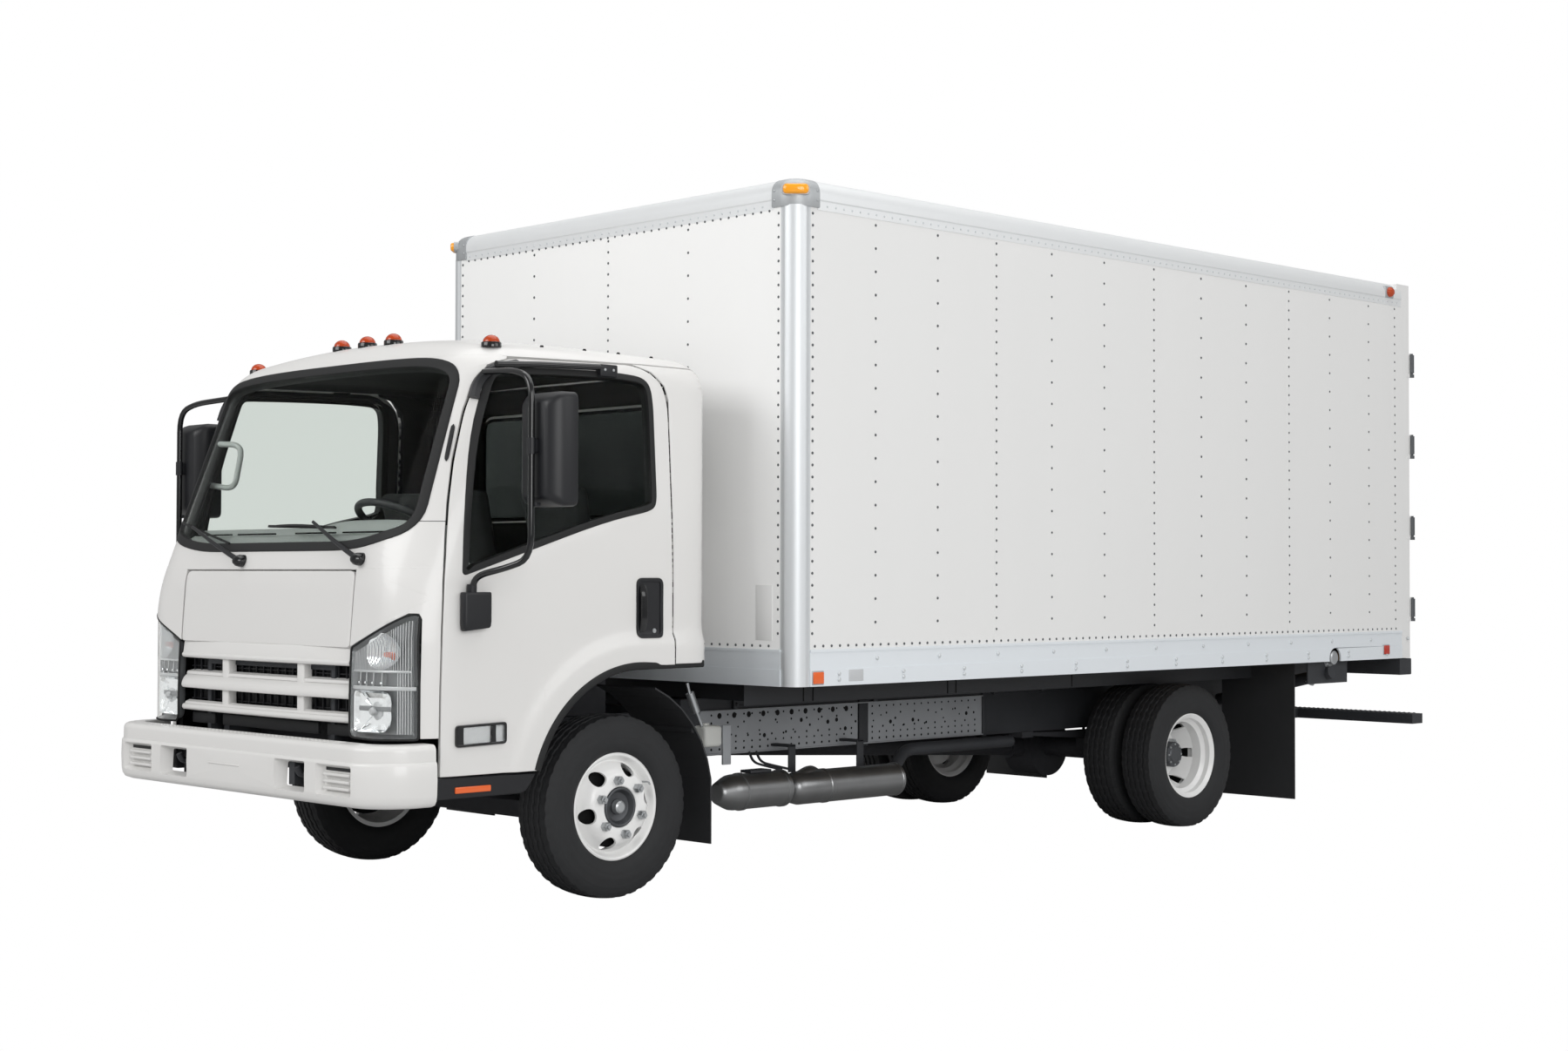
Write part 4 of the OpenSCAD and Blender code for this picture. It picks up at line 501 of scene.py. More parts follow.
def make_materials(colours):
    """Every finish of the truck, each named for what it is made of."""
    M = MATERIALS
    # Sprayed gloss enamel: clear reflections over a faint orange peel
    M["paint"] = finish("gloss_enamel", colours.cab, 0.36, coat=0.22, mottle=0.015, size=0.6, bump=0.02,
                        bump_size=0.006)
    # Pre-painted sheet of the cargo body: flatter than the cab, very slightly uneven
    M["panel"] = finish("painted_sheet", colours.body, 0.38, mottle=0.03, size=0.5, stretch=(1, 1, 0.3), bump=0.03,
                        bump_size=0.09)
    # Front wall: the same sheet painted whiter, painted light that brightens the wall where the cab shades it
    M["lit_front_panel"] = finish("front_sheet_painted_lighter", "#F5F5F4", 0.38, mottle=0.03, size=0.5, stretch=(1, 1, 0.3),
                              bump=0.03, bump_size=0.09)
    # Bright extruded aluminium with long vertical draw marks
    M["bright"] = finish("bright_aluminium", colours.bright, 0.46, metal=0.55, mottle=0.05, size=0.1,
                         stretch=(1, 1, 0.05))
    # Anodised rail: pale, dull, a little blue
    M["rail"] = finish("anodised_aluminium", colours.rail, 0.42, metal=0.25, mottle=0.05, size=0.25,
                       stretch=(1, 0.1, 1))
    # Cast or stamped grey metal of caps and brackets
    M["cast"] = finish("cast_aluminium", "#B4B7B9", 0.45, metal=0.45, mottle=0.12, size=0.03, bump=0.1)
    # Painted top rail: nearly as white as the sheets, with the sheen of the metal under it
    M["top_rail"] = finish("painted_aluminium", "#E6E8E9", 0.4, metal=0.3, mottle=0.04, size=0.2,
                           stretch=(1, 0.1, 1))
    # Chassis paint: dull near-black with road dust
    M["frame"] = finish("chassis_paint", colours.frame, 0.6, mottle=0.35, size=0.12, bump=0.05, bump_size=0.01,
                        rough_mottle=0.1)
    # Rolled steel of the exhaust cans, browned by heat
    M["steel"] = finish("exhaust_steel", "#98999A", 0.34, metal=0.9, mottle=0.35, size=0.15, rough_mottle=0.1)
    # Galvanised grey of the frame's perforated sides
    M["perforated"] = finish("perforated_steel", "#A2A5A9", 0.55, metal=0.15, mottle=0.3, size=0.18,
                             rough_mottle=0.1)
    # Holes, slots and drums: near-black painted shade where no light comes back; the same black draws joint lines
    M["void"] = finish("hole_shade_and_joint_black", "#0A0A0B", 0.95)
    M["iron"] = finish("cast_iron", "#35363A", 0.7, mottle=0.3, size=0.05, bump=0.2)
    # Moulded plastic with a fine leather grain
    M["plastic"] = finish("moulded_plastic", "#15161A", 0.42, mottle=0.1, size=0.1, bump=0.05, bump_size=0.0015)
    M["gloss_black"] = finish("polished_black_plastic", "#0D0E10", 0.16, coat=0.3)
    M["rubber"] = finish("extruded_rubber", "#141516", 0.62, mottle=0.2, size=0.05)
    # Tyre compound: matt, grey where it has scuffed
    M["tyre"] = finish("tyre_rubber", "#232426", 0.7, mottle=0.3, size=0.08, bump=0.05, bump_size=0.003)
    M["flap"] = finish("sheet_rubber", "#2C2D2F", 0.65, mottle=0.2, size=0.2)
    # Clear glass with the faint green of its edge
    M["glass"] = finish("window_glass", "#EFF3F0", 0.0, see_through=1.0, ior=1.05)
    # Door windows: a deeper green than the screen
    M["side_glass"] = finish("green_glass", "#DDE1DE", 0.0, see_through=1.0, ior=1.06)
    # Rear window: glass darkened to paint the shade of the body behind it
    M["dark_glass"] = finish("shade_darkened_glass", "#4E5453", 0.0, see_through=1.0, ior=1.12)
    M["lens"] = finish("clear_polycarbonate", "#FBFBFA", 0.02, see_through=1.0, ior=1.3)
    M["chrome"] = finish("vacuum_chrome", "#E9ECEE", 0.08, metal=1.0)
    # Grey satin of lamp housings, their fluting and their pale bars
    M["bezel"] = finish("lamp_bezel", "#8A8D8F", 0.35, metal=0.45, mottle=0.1, size=0.02)
    M["fluting"] = finish("fluted_bezel", "#D5D8DA", 0.25, metal=0.4)
    M["bezel_light"] = finish("pale_bezel", "#C4C7C9", 0.3, metal=0.35)
    M["mirror"] = finish("mirror_glass", "#DFE3E4", 0.02, metal=1.0)
    # Amber, red and orange lenses with a faint painted glow, standing in for the light their moulded reflectors
    # throw back
    M["amber"] = finish("amber_acrylic", "#F2A01E", 0.15, coat=0.3, glow=0.12, mottle=0.1, size=0.02)
    M["dome"] = finish("burnt_amber_acrylic", "#B5400F", 0.16, coat=0.15, glow=0.05, mottle=0.2, size=0.02)
    M["red"] = finish("red_acrylic", "#B03020", 0.15, coat=0.3, glow=0.06)
    M["orange"] = finish("orange_acrylic", "#D8602A", 0.15, coat=0.3, glow=0.1)
    M["wood"] = finish("laminated_floor", "#8A6F4D", 0.6, mottle=0.4, size=0.06, stretch=(1, 0.05, 1))
    # Grained interior trim: near-black, darkened as painted shade inside the cab
    M["trim"] = finish("shade_darkened_trim", "#1D1E1F", 0.85, mottle=0.08, size=0.2, bump=0.1, bump_size=0.002)
    # Dash pad: mid grey, soft, finely grained
    M["dash"] = finish("dash_pad", "#929594", 0.7, mottle=0.06, size=0.2, bump=0.12, bump_size=0.002)
    # Painted grab bar
    M["grab"] = finish("grey_grab_bar", "#A3A6A5", 0.4, mottle=0.05, size=0.1)
    # Felt liner: near-black, darkened as painted shade inside the cab
    M["liner"] = finish("shade_darkened_liner", "#191A1B", 0.95, mottle=0.1, size=0.1, bump=0.15, bump_size=0.003)
    M["cloth"] = finish("woven_cloth", "#2B2D2E", 0.95, mottle=0.18, size=0.01, bump=0.3, bump_size=0.002)
    M["wheel"] = finish("wheel_enamel", "#ECECEB", 0.3, coat=0.3, mottle=0.03, size=0.1)
    M["zinc"] = finish("zinc_plate", "#B9BCBE", 0.35, metal=0.8, mottle=0.1, size=0.01)
    M["hub"] = finish("machined_hub", "#5A5C5F", 0.45, metal=0.7, mottle=0.2, size=0.02)
    M["rivet"] = finish("rivet_head", "#5C5F61", 0.45, metal=0.4)
    # Painted heads on the rails, as pale as the rail
    M["pale_rivet"] = finish("painted_rivet", "#CDD1D3", 0.4, metal=0.3)
    M["label"] = finish("blank_label", "#C4C6C8", 0.5, metal=0.2, mottle=0.05, size=0.02)
    # Black of the grille mesh; the same black paints shade in the bumper's slits and hook windows and in the pillar
    # slots
    M["mesh"] = finish("grille_black_and_painted_shade", "#1A1B1D", 0.55)
    M["clear"] = finish("clear_polyethylene", "#DADBD7", 0.3, see_through=0.3)
    # Rear sheets: white like the sides, with dark steel hinges where they stand out past the walls
    M["hinged"] = finish("hinged_sheet", colours.body, 0.38, mottle=0.03, size=0.5)
    t = M["hinged"].node_tree
    b = next(n for n in t.nodes if n.type == "BSDF_PRINCIPLED")
    base = b.inputs["Base Color"].links[0].from_socket
    side = add(t, "ShaderNodeSeparateXYZ", {0: add(t, "ShaderNodeTexCoord").outputs["Object"]}).outputs[0]
    far = add(t, "ShaderNodeMath", {0: side}, operation="ABSOLUTE").outputs[0]
    past = add(t, "ShaderNodeMath", {0: far}, operation="GREATER_THAN", I1=BODY_HW + 0.0035).outputs[0]
    mix = add(t, "ShaderNodeMix", {"Factor": past, 6: base}, data_type="RGBA", I7=linear("#4A4D50"))
    t.links.new(mix.outputs[2], b.inputs["Base Color"])


CAD_FINISH = {"paint": "cab_back cab_roof cab_front cab_pillars grille front_bumper door_left door_right",
              "panel": "body_walls body_roof", "hinged": "rear_frame rear_door_left rear_door_right",
              "bright": "body_rails", "wood": "body_floor",
              "frame": "cab_floor ladder_frame body_underframe rear_step fuel_tank",
              "iron": "front_axle rear_axle engine knuckle_left knuckle_right tie_rod leaf_springs",
              "steel": "exhaust", "plastic": "mirror_left mirror_right cab_sills wipers steering_wheel radiator",
              "flap": "mud_guards", "glass": "cab_glass door_glass_left door_glass_right", "chrome": "headlamps",
              "orange": "body_lamps", "dome": "roof_lamps", "dash": "dashboard", "cloth": "seats",
              "wheel": "wheel_front_left wheel_front_right wheel_rear_left wheel_rear_right",
              "tyre": "tyre_front_left tyre_front_right tyres_rear_left tyres_rear_right",}


def dress_nodes():
    """Gives each CAD node the finish of the piece it is."""
    for key, names in CAD_FINISH.items():
        for name in names.split():
            data = frame["nodes"][name].data
            data.materials.clear()
            data.materials.append(MATERIALS[key])


def seen_ray(t):
    """One for rays from the lens, straight or through glass."""
    path = add(t, "ShaderNodeLightPath")
    return add(t, "ShaderNodeMath", {0: path.outputs["Is Camera Ray"], 1: path.outputs["Is Transmission Ray"]},
               operation="MAXIMUM").outputs[0]


# Camera solved from the photo: place, turns about z, x and z in degrees, lens and sensor in millimetres
EYE, EYE_TURNS = (7.7723, -8.1282, 1.3152), (45.5015, 91.2695, 0.1114)
LENS, SENSOR = 50.641, 36.0
FLOOR_HALF = 60.0


def build_stage(st):
    """Pale floor, soft lamps, white surroundings seen by the lens, and the camera solved from the photo."""
    scene = bpy.context.scene
    mesh = bpy.data.meshes.new("floor")
    s = FLOOR_HALF
    mesh.from_pydata([(-s, -s, 0), (s, -s, 0), (s, s, 0), (-s, s, 0)], [], [(0, 1, 2, 3)])
    m = bpy.data.materials.new("studio_floor")
    m.use_nodes = True
    t = m.node_tree
    t.nodes.clear()
    lit = add(t, "ShaderNodeBsdfPrincipled", Base_Color=linear(st.floor), Roughness=0.9)
    white = add(t, "ShaderNodeEmission", Color=(1, 1, 1, 1), Strength=1.0)
    mix = add(t, "ShaderNodeMixShader", {0: seen_ray(t), 1: lit.outputs[0], 2: white.outputs[0]})
    add(t, "ShaderNodeOutputMaterial", {"Surface": mix.outputs[0]})
    mesh.materials.append(m)
    floor = bpy.data.objects.new("floor", mesh)
    scene.collection.objects.link(floor)
    world = bpy.data.worlds.new("studio") if scene.world is None else scene.world
    scene.world = world
    world.use_nodes = True
    t = world.node_tree
    t.nodes.clear()
    soft = add(t, "ShaderNodeBackground", Color=(1, 1, 1, 1), Strength=st.sky)
    seen = add(t, "ShaderNodeBackground", Color=(1, 1, 1, 1), Strength=1.0)
    mix = add(t, "ShaderNodeMixShader", {0: seen_ray(t), 1: soft.outputs[0], 2: seen.outputs[0]})
    add(t, "ShaderNodeOutputWorld", {"Surface": mix.outputs[0]})
    # Each lamp: name, place, the point it faces, size across and along, watts
    for name, place, aim, wide, tall, power in (
            ("front", (-1.5, -11.0, 6.0), (0.0, -2.0, 1.4), 7.0, 4.0, st.front),
            ("side", (12.0, 3.2, 5.5), (0.8, 2.4, 1.4), 9.0, 4.0, st.side),
            ("quarter", (9.5, -6.0, 3.4), (1.0, 0.7, 1.6), 4.5, 4.0, st.quarter),
            ("top", (1.0, 0.0, 10.0), (0.0, 0.0, 1.5), 9.0, 12.0, st.top)):
        data = bpy.data.lights.new(name, "AREA")
        data.shape, data.size, data.size_y, data.energy = "RECTANGLE", wide, tall, power
        lamp = bpy.data.objects.new(name, data)
        d = Vector(aim) - Vector(place)
        lamp.matrix_world = Matrix.Translation(place) @ d.to_track_quat("-Z", "Y").to_matrix().to_4x4()
        scene.collection.objects.link(lamp)
    cam = bpy.data.cameras.new("camera")
    cam.sensor_width, cam.lens = SENSOR, LENS
    cam.clip_end = 300
    eye = bpy.data.objects.new("camera", cam)
    stand = Matrix.Translation(EYE)
    for turn, axis in zip(EYE_TURNS, "ZXZ"):
        stand = stand @ Matrix.Rotation(math.radians(turn), 4, axis)
    eye.matrix_world = stand
    scene.collection.objects.link(eye)
    scene.camera = eye
    scene.view_settings.view_transform = "Standard"


DOOR_Y, DOOR_L, DOOR_Z, DOOR_H = -0.929, 1.161, 0.555, 1.613
DOOR_FRONT = np.array([[0, 0], [0.003, 0.2], [0.009, 0.34], [0.021, 0.46], [0.04, 0.56], [0.06, 0.642],
                       [0.0915, 0.74], [0.143, 0.86], [0.182, 0.925], [0.235, 0.974], [0.31, 0.99]])
DOOR_REAR = np.array([[0.86, 1], [0.93, 0.985], [0.98, 0.95], [1, 0.9]])
WINDOW = np.array([[0.091, 0.47], [0.103, 0.6], [0.15, 0.8], [0.225, 0.95], [0.27, 0.963], [0.5, 0.9695],
                   [0.76, 0.973], [0.88, 0.966], [0.912, 0.945], [0.921, 0.9], [0.922, 0.655], [0.905, 0.635],
                   [0.68, 0.602]])


def on_door(shares):
    """Shares of the door's length and height as [y, z]."""
    return np.asarray(shares) * [DOOR_L, DOOR_H] + [DOOR_Y, DOOR_Z]


def dense(outline, gap=0.03):
    """A closed outline with points no further apart than gap."""
    p = np.asarray(outline, float)
    q = np.roll(p, -1, 0)
    return np.vstack([a + (b - a) * np.linspace(0, 1, max(2, int(np.linalg.norm(b - a) / gap) + 1))[:-1, None]
                      for a, b in zip(p, q)])


def grown(outline, d):
    """A closed outline moved outwards by d along the mean normal of its neighbours."""
    p = np.asarray(outline, float)
    t = np.roll(p, -1, 0) - np.roll(p, 1, 0)
    n = np.stack([t[:, 1], -t[:, 0]], 1) / np.linalg.norm(t, axis=1, keepdims=True)
    area = np.sum(p[:, 0] * np.roll(p[:, 1], -1) - p[:, 1] * np.roll(p[:, 0], -1))
    return p + n * d * np.sign(area)


def arch_line(n, back):
    """Wheel-arch edge as [y, z] from the sill up and over to the back."""
    a = np.linspace(math.pi - math.asin((DOOR_Z - ARCH_Z) / ARCH_R), math.pi / 2, n)
    p = np.stack([ARCH_Y + ARCH_R * np.cos(a), ARCH_Z + ARCH_R * np.sin(a)], 1)
    return np.vstack([p, [[back, ARCH_Z + ARCH_R]]])


def door_outline(g=0.006):
    """Edge of the left door as [y, z]: front edge, top, rear edge, arch and sill."""
    front = on_door(DOOR_FRONT) + [g, 0]
    rear = on_door(DOOR_REAR) - [g, 0]
    arch = arch_line(40, DOOR_Y + DOOR_L - g)[::-1]
    return np.vstack([bent(np.vstack([front, rear, arch[:1]]), 0.05), arch[1:]])


def window_outline():
    """Edge of the door's window opening as [y, z]."""
    return loop(on_door(WINDOW), [0.014, 0.2, 0.2, 0.05, 0.03, 0.2, 0.2, 0.04, 0.04, 0.05, 0.04, 0.06, 0.2], 5)


def side_flat(yz):
    """Points [y, z] of the left side as flat points."""
    return flat(skin_side(*np.asarray(yz).T))


def front_flat(xz):
    """Points [x, z] of the front as flat points."""
    return flat(skin_front(*np.asarray(xz).T))


def screen_outline():
    """Edge of the windscreen opening as [x, z], drawn on the front."""
    pts = [[-0.888, 1.485], [-0.62, 1.413], [0.62, 1.413], [0.888, 1.485], [0.851, 2.105], [0.7, 2.15],
           [0.35, 2.161], [-0.35, 2.161], [-0.7, 2.15], [-0.851, 2.105]]
    return loop(pts, [0.09, 0.2, 0.2, 0.09, 0.07, 0.25, 0.3, 0.3, 0.25, 0.07], 7)


def both(name, shape, finish_key, bodies=("left_door", "right_door"), nodes=((), ()), closed=True,
         crease=32):
    """A left piece and its mirror image, each riding its own body."""
    return [piece(name + "_left", shape, finish_key, bodies[0], nodes[0], closed, crease),
            piece(name + "_right", flipped(shape), finish_key, bodies[1], nodes[1], closed, crease)]


CAB_BOTH = ("cab", "cab")


def build_doors():
    """Door skins with hemmed edges, inner trim, window seals, glass, handles and side lamps."""
    outer = side_flat(dense(door_outline()))
    hole_yz = dense(window_outline(), 0.02)
    hole = side_flat(hole_yz)
    c = side_flat([[-0.33, 1.76]])[0]
    both("door_skin", panel(outer, c, hole, 22, hem=0.022, hem_in=0.006, crowd=1.8, step=270), "paint",
         nodes=(("door_left",), ("door_right",)), closed=False)
    both("door_trim", panel(side_flat(dense(grown(door_outline(0.014), -0.014))), c,
                            side_flat(grown(hole_yz, 0.012)), 8, lift=-LINING, hem=-0.038, hem_in=-0.02, turn=True),
         "trim", closed=False)
    seal = frame_panel(hole_yz, c, 0.006, 0.02, side_flat, lift=0.003, hem=0.045)
    both("door_window_seal", seal, "rubber", closed=False)
    both("door_window", panel(side_flat(grown(hole_yz, -0.012)), c, None, 8, lift=-0.008, thick=0.005, edge=0.001),
         "side_glass", nodes=(("door_glass_left",), ("door_glass_right",)))
    # Handle: dark recess with a pull standing in it
    box = loop(corners(0.03, 1.055, 0.172, 1.3), 0.03, 6)
    yz = dense(box, 0.02)
    hc = side_flat([[0.1, 1.178]])[0]
    both("handle_frame", frame_panel(yz, hc, 0.0, 0.016, side_flat, lift=0.006, hem=0.01), "plastic", closed=False)
    both("handle_dish", panel(side_flat(grown(yz, -0.012)), hc, None, 8, lift=0.0016, hem=-0.004, edge=0.002),
         "plastic", closed=False)
    p = skin_side([0.058, 0.058, 0.058, 0.058], [1.085, 1.12, 1.235, 1.27])
    grip = bent(p + np.array([[0.0, 0, 0], [0.016, 0, 0], [0.016, 0, 0], [0.0, 0, 0]]), 0.02)
    both("handle_pull", sweep(grip, loop(corners(-0.007, -0.016, 0.007, 0.016), 0.005, 3), up=(0, 1, 0)),
         "gloss_black")
    lock = revolve([[AXIS, 0.01], [0.009, 0.01], [0.011, 0.006], [0.011, -0.01], [AXIS, -0.01]],
                   skin_side([0.125], [1.085])[0] + [-0.006, 0, 0], 0, 20)
    both("door_lock", lock, "zinc")
    # Side turn lamp: black bezel and bars round two clear lenses
    yz = dense(loop([[-0.862, 0.662], [-0.626, 0.668], [-0.626, 0.751], [-0.862, 0.745]], 0.016, 5), 0.02)
    lc = side_flat([[-0.745, 0.706]])[0]
    both("turn_bezel", frame_panel(yz, lc, 0.0, 0.01, side_flat, lift=0.012, hem=0.016), "gloss_black",
         closed=False)
    both("turn_back", panel(side_flat(grown(yz, -0.008)), lc, None, 6, lift=0.001, hem=-0.006, edge=0.002),
         "bezel_light", closed=False)
    for k, (y0, y1) in enumerate(((-0.832, -0.694), (-0.68, -0.638))):
        q = dense(loop([[y0, 0.676], [y1, 0.678], [y1, 0.739], [y0, 0.735]], 0.008, 4), 0.015)
        both("turn_lens_%d" % k, panel(side_flat(q), side_flat(q.mean(0)[None])[0], None, 8, lift=0.011,
                                       thick=0.004, edge=0.003), "lens")
    for k, (y0, y1) in enumerate(((-0.856, -0.829), (-0.698, -0.678))):
        q = dense(loop(corners(y0, 0.669, y1, 0.744), 0.005, 4), 0.015)
        both("turn_bar_%d" % k, panel(side_flat(q), side_flat(q.mean(0)[None])[0], None, 5, lift=0.0115, hem=0.012,
                                      edge=0.004), "gloss_black", closed=False)


def seam_front(z, g=0.007):
    """Cab side of the front door seam at heights z, as flat points."""
    edge = on_door(DOOR_FRONT)
    y = np.interp(z, edge[:, 1], edge[:, 0]) - g * 0.2
    return side_flat(np.stack([y, z], 1))


def build_cab_skin():
    """Front lid, corners, screen surround, roof, back and their inner trim."""
    mid = -math.pi / 2
    # Screen surround: cowl, pillars and header between the door seams
    z = np.linspace(1.331, 2.15, 30)
    left = seam_front(z)
    left = np.vstack([left, [[left[-1, 0] + 0.012, EAVES_Z]]])
    right = np.stack([2 * mid - left[:, 0], left[:, 1]], 1)
    th = np.linspace(left[-1, 0], right[-1, 0], 60)[1:-1]
    top = np.stack([th, np.full_like(th, EAVES_Z)], 1)
    outer = np.vstack([left, top, right[::-1]])
    hole_xz = dense(screen_outline(), 0.03)
    hole = front_flat(hole_xz)
    c = np.array([mid, 1.78])
    piece("screen_surround", panel(outer, c, hole, 13, hem=0.02, hem_in=0.006, crowd=1.2, step=360), "paint", "cab",
          ("cab_pillars",), closed=False)
    seal = frame_panel(hole_xz, c, 0.01, 0.026, front_flat, 5, 0.006, lift=0.005, hem=0.045, step=300)
    piece("screen_seal", seal, "rubber", "cab", closed=False)
    piece("windscreen", panel(front_flat(grown(hole_xz, -0.016)), c, None, 12, lift=-0.006, thick=0.006, edge=0.001,
                              step=160), "glass", "cab", ("cab_glass",))
    piece("pillar_trim", panel(np.vstack([left - [0.02, 0], top - [0, 0.012], (right + [0.02, 0])[::-1]]), c,
                               front_flat(grown(hole_xz, 0.005)), 8, lift=-LINING, hem=-0.02, hem_in=-0.03,
                               turn=True, step=240), "trim", "cab", closed=False)
    # Front lid
    lid = dense(loop(corners(-0.628, 1.033, 0.628, 1.326), [0.02, 0.02, 0.035, 0.035], 6), 0.04)
    piece("front_lid", panel(front_flat(lid), front_flat([[0.0, 1.19]])[0], None, 13, hem=0.02, edge=0.006),
          "paint", "cab", ("cab_front",), closed=False)
    # Joint across each pillar, level with the screen's lower corner
    ends = np.stack([front_flat([[0.88, JOINT_Z]])[0], seam_front(np.array([JOINT_Z]))[0]])
    th = np.linspace(ends[0, 0], ends[1, 0], 12)
    both("pillar_joint", bead(skin_at(th, JOINT_Z), 0.0016, -0.0006, 6, False), "void", CAB_BOTH)
    # Corners round the lamps
    zs = np.linspace(1.341, 0.7, 24)
    seam = seam_front(zs)
    inner = front_flat(np.array([[0.96, 0.7], [0.96, 0.9], [0.958, 1.145], [0.95, 1.166], [0.925, 1.167],
                                 [0.86, 1.127], [0.74, 1.079], [0.634, 1.037], [0.634, 1.329], [0.66, 1.341],
                                 [0.75, 1.341], [0.88, 1.341]]))
    outline = dense(np.vstack([seam, inner]), 0.03)
    cc = np.array([(flat(skin_front([0.95], [1.2]))[0, 0] + seam[0, 0]) / 2, 1.225])
    both("lamp_corner", panel(outline, cc, None, 14, -0.0002, hem=0.03, edge=0.0012, step=280), "paint", CAB_BOTH,
         closed=False)
    # Roof: rings drawn from the middle out to the eaves line, each laid on the crown
    th = np.linspace(-math.pi, math.pi, 240, endpoint=False)
    y = skin_at(th, 2.176)[:, 1]
    rim = skin_at(th, np.where(y < -0.585, 2.163, np.interp(y, [-0.585, 0.07, 0.12], [2.16, 2.175, 2.176])))
    s = 1 - (1 - np.linspace(0, 1, 46)) ** 1.7
    xy = np.array([0, -0.08]) + s[:, None, None] * (rim[None, :, :2] - [0, -0.08])
    top = skin_top(xy[..., 0], xy[..., 1])
    top[-1] = rim
    top += outward(top) * 0.0004
    hem = rim - outward(rim) * 0.02
    piece("roof_skin", surface(np.concatenate([top, hem[None]]), False, True), "paint", "cab", ("cab_roof",))
    low = top[:-2:3] - outward(top[:-2:3]) * LINING
    piece("headlining", turned_over(surface(low, False, True)), "liner", "cab", closed=False)
    # Back with its window, wrapping round to the door seams
    y0 = DOOR_Y + DOOR_L + 0.001
    zz = np.linspace(BACK_LOW_Z, 2.03, 20)
    left = side_flat(np.stack([np.full(20, y0), zz], 1))
    rear = on_door(DOOR_REAR)[::-1]
    left = np.vstack([left, side_flat(np.stack([rear[1:, 0] + 0.004, rear[1:, 1] + 0.002], 1))])
    left = np.vstack([left, [[left[-1, 0], BACK_TOP_Z]]])
    right = np.stack([math.pi - left[:, 0], left[:, 1]], 1)
    th = np.linspace(left[-1, 0], right[-1, 0], 60)[1:-1]
    top = np.stack([th, np.full_like(th, BACK_TOP_Z)], 1)
    th = np.linspace(right[0, 0], left[0, 0], 60)[1:-1]
    low = np.stack([th, np.full_like(th, BACK_LOW_Z)], 1)
    outer = np.vstack([left, top, right[::-1], low])
    win = dense(loop(corners(-0.62, 1.56, 0.62, 2.04), 0.07, 6), 0.04)

    def back_flat(xz):
        """Points [x, z] of the back as flat points."""
        y = solve(lambda q: skin(xz[:, 0], q, xz[:, 1]), np.full(len(xz), 0.1), np.full(len(xz), 0.8))
        return flat(np.stack([xz[:, 0], y, xz[:, 1]], 1))

    c = np.array([math.pi / 2, 1.8])
    piece("back_skin", panel(outer, c, back_flat(win), 16, hem=0.022, hem_in=0.006, crowd=1.5, step=300), "paint",
          "cab", ("cab_back",), closed=False)
    piece("back_trim", panel(outer, c, back_flat(grown(win, 0.01)), 10, lift=-LINING, hem=-0.04, hem_in=-0.03,
                             turn=True, step=240), "liner", "cab", closed=False)
    piece("back_seal", frame_panel(win, c, 0.012, 0.016, back_flat, edge=0.005, lift=0.004, hem=0.048), "rubber",
          "cab", closed=False)
    # Rear window glass, darkened as painted shade of the body behind it
    piece("back_window", panel(back_flat(grown(win, -0.01)), c, None, 6, lift=-0.006, thick=0.005, edge=0.001),
          "dark_glass", "cab")
    # Arch lip: wide dark rubber under the flare
    line = arch_line(50, 0.4)
    p = skin_side(*line.T)
    both("arch_lip", sweep(p - [0.012, 0, 0], loop(corners(-0.016, -0.03, 0.016, 0.018), 0.01, 4), up=(1, 0, 0)),
         "rubber", CAB_BOTH)


def raw_object(name, shape, weld):
    """A closed shape as an object with no finish, points nearer than weld joined."""
    mesh = bpy.data.meshes.new(name)
    mesh.from_pydata(np.asarray(shape[0], float).tolist(), [], shape[1])
    bm = bmesh.new()
    bm.from_mesh(mesh)
    bmesh.ops.remove_doubles(bm, verts=bm.verts, dist=weld)
    bmesh.ops.recalc_face_normals(bm, faces=bm.faces)
    bm.to_mesh(mesh)
    bm.free()
    obj = bpy.data.objects.new(name, mesh)
    bpy.context.scene.collection.objects.link(obj)
    return obj


def carve(shape, *cutters):
    """A solid with other solids cut out of it."""
    base, tool = raw_object("carved", shape, 1e-6), raw_object("cutter", join(*cutters), 1e-6)
    mod = base.modifiers.new("cut", "BOOLEAN")
    mod.operation, mod.object, mod.solver, mod.use_self = "DIFFERENCE", tool, "EXACT", True
    done = base.evaluated_get(bpy.context.evaluated_depsgraph_get()).to_mesh()
    v = np.empty(len(done.vertices) * 3)
    done.vertices.foreach_get("co", v)
    f = [list(p.vertices) for p in done.polygons]
    for obj in (base, tool):
        mesh = obj.data
        bpy.data.objects.remove(obj)
        bpy.data.meshes.remove(mesh)
    return v.reshape(-1, 3), f


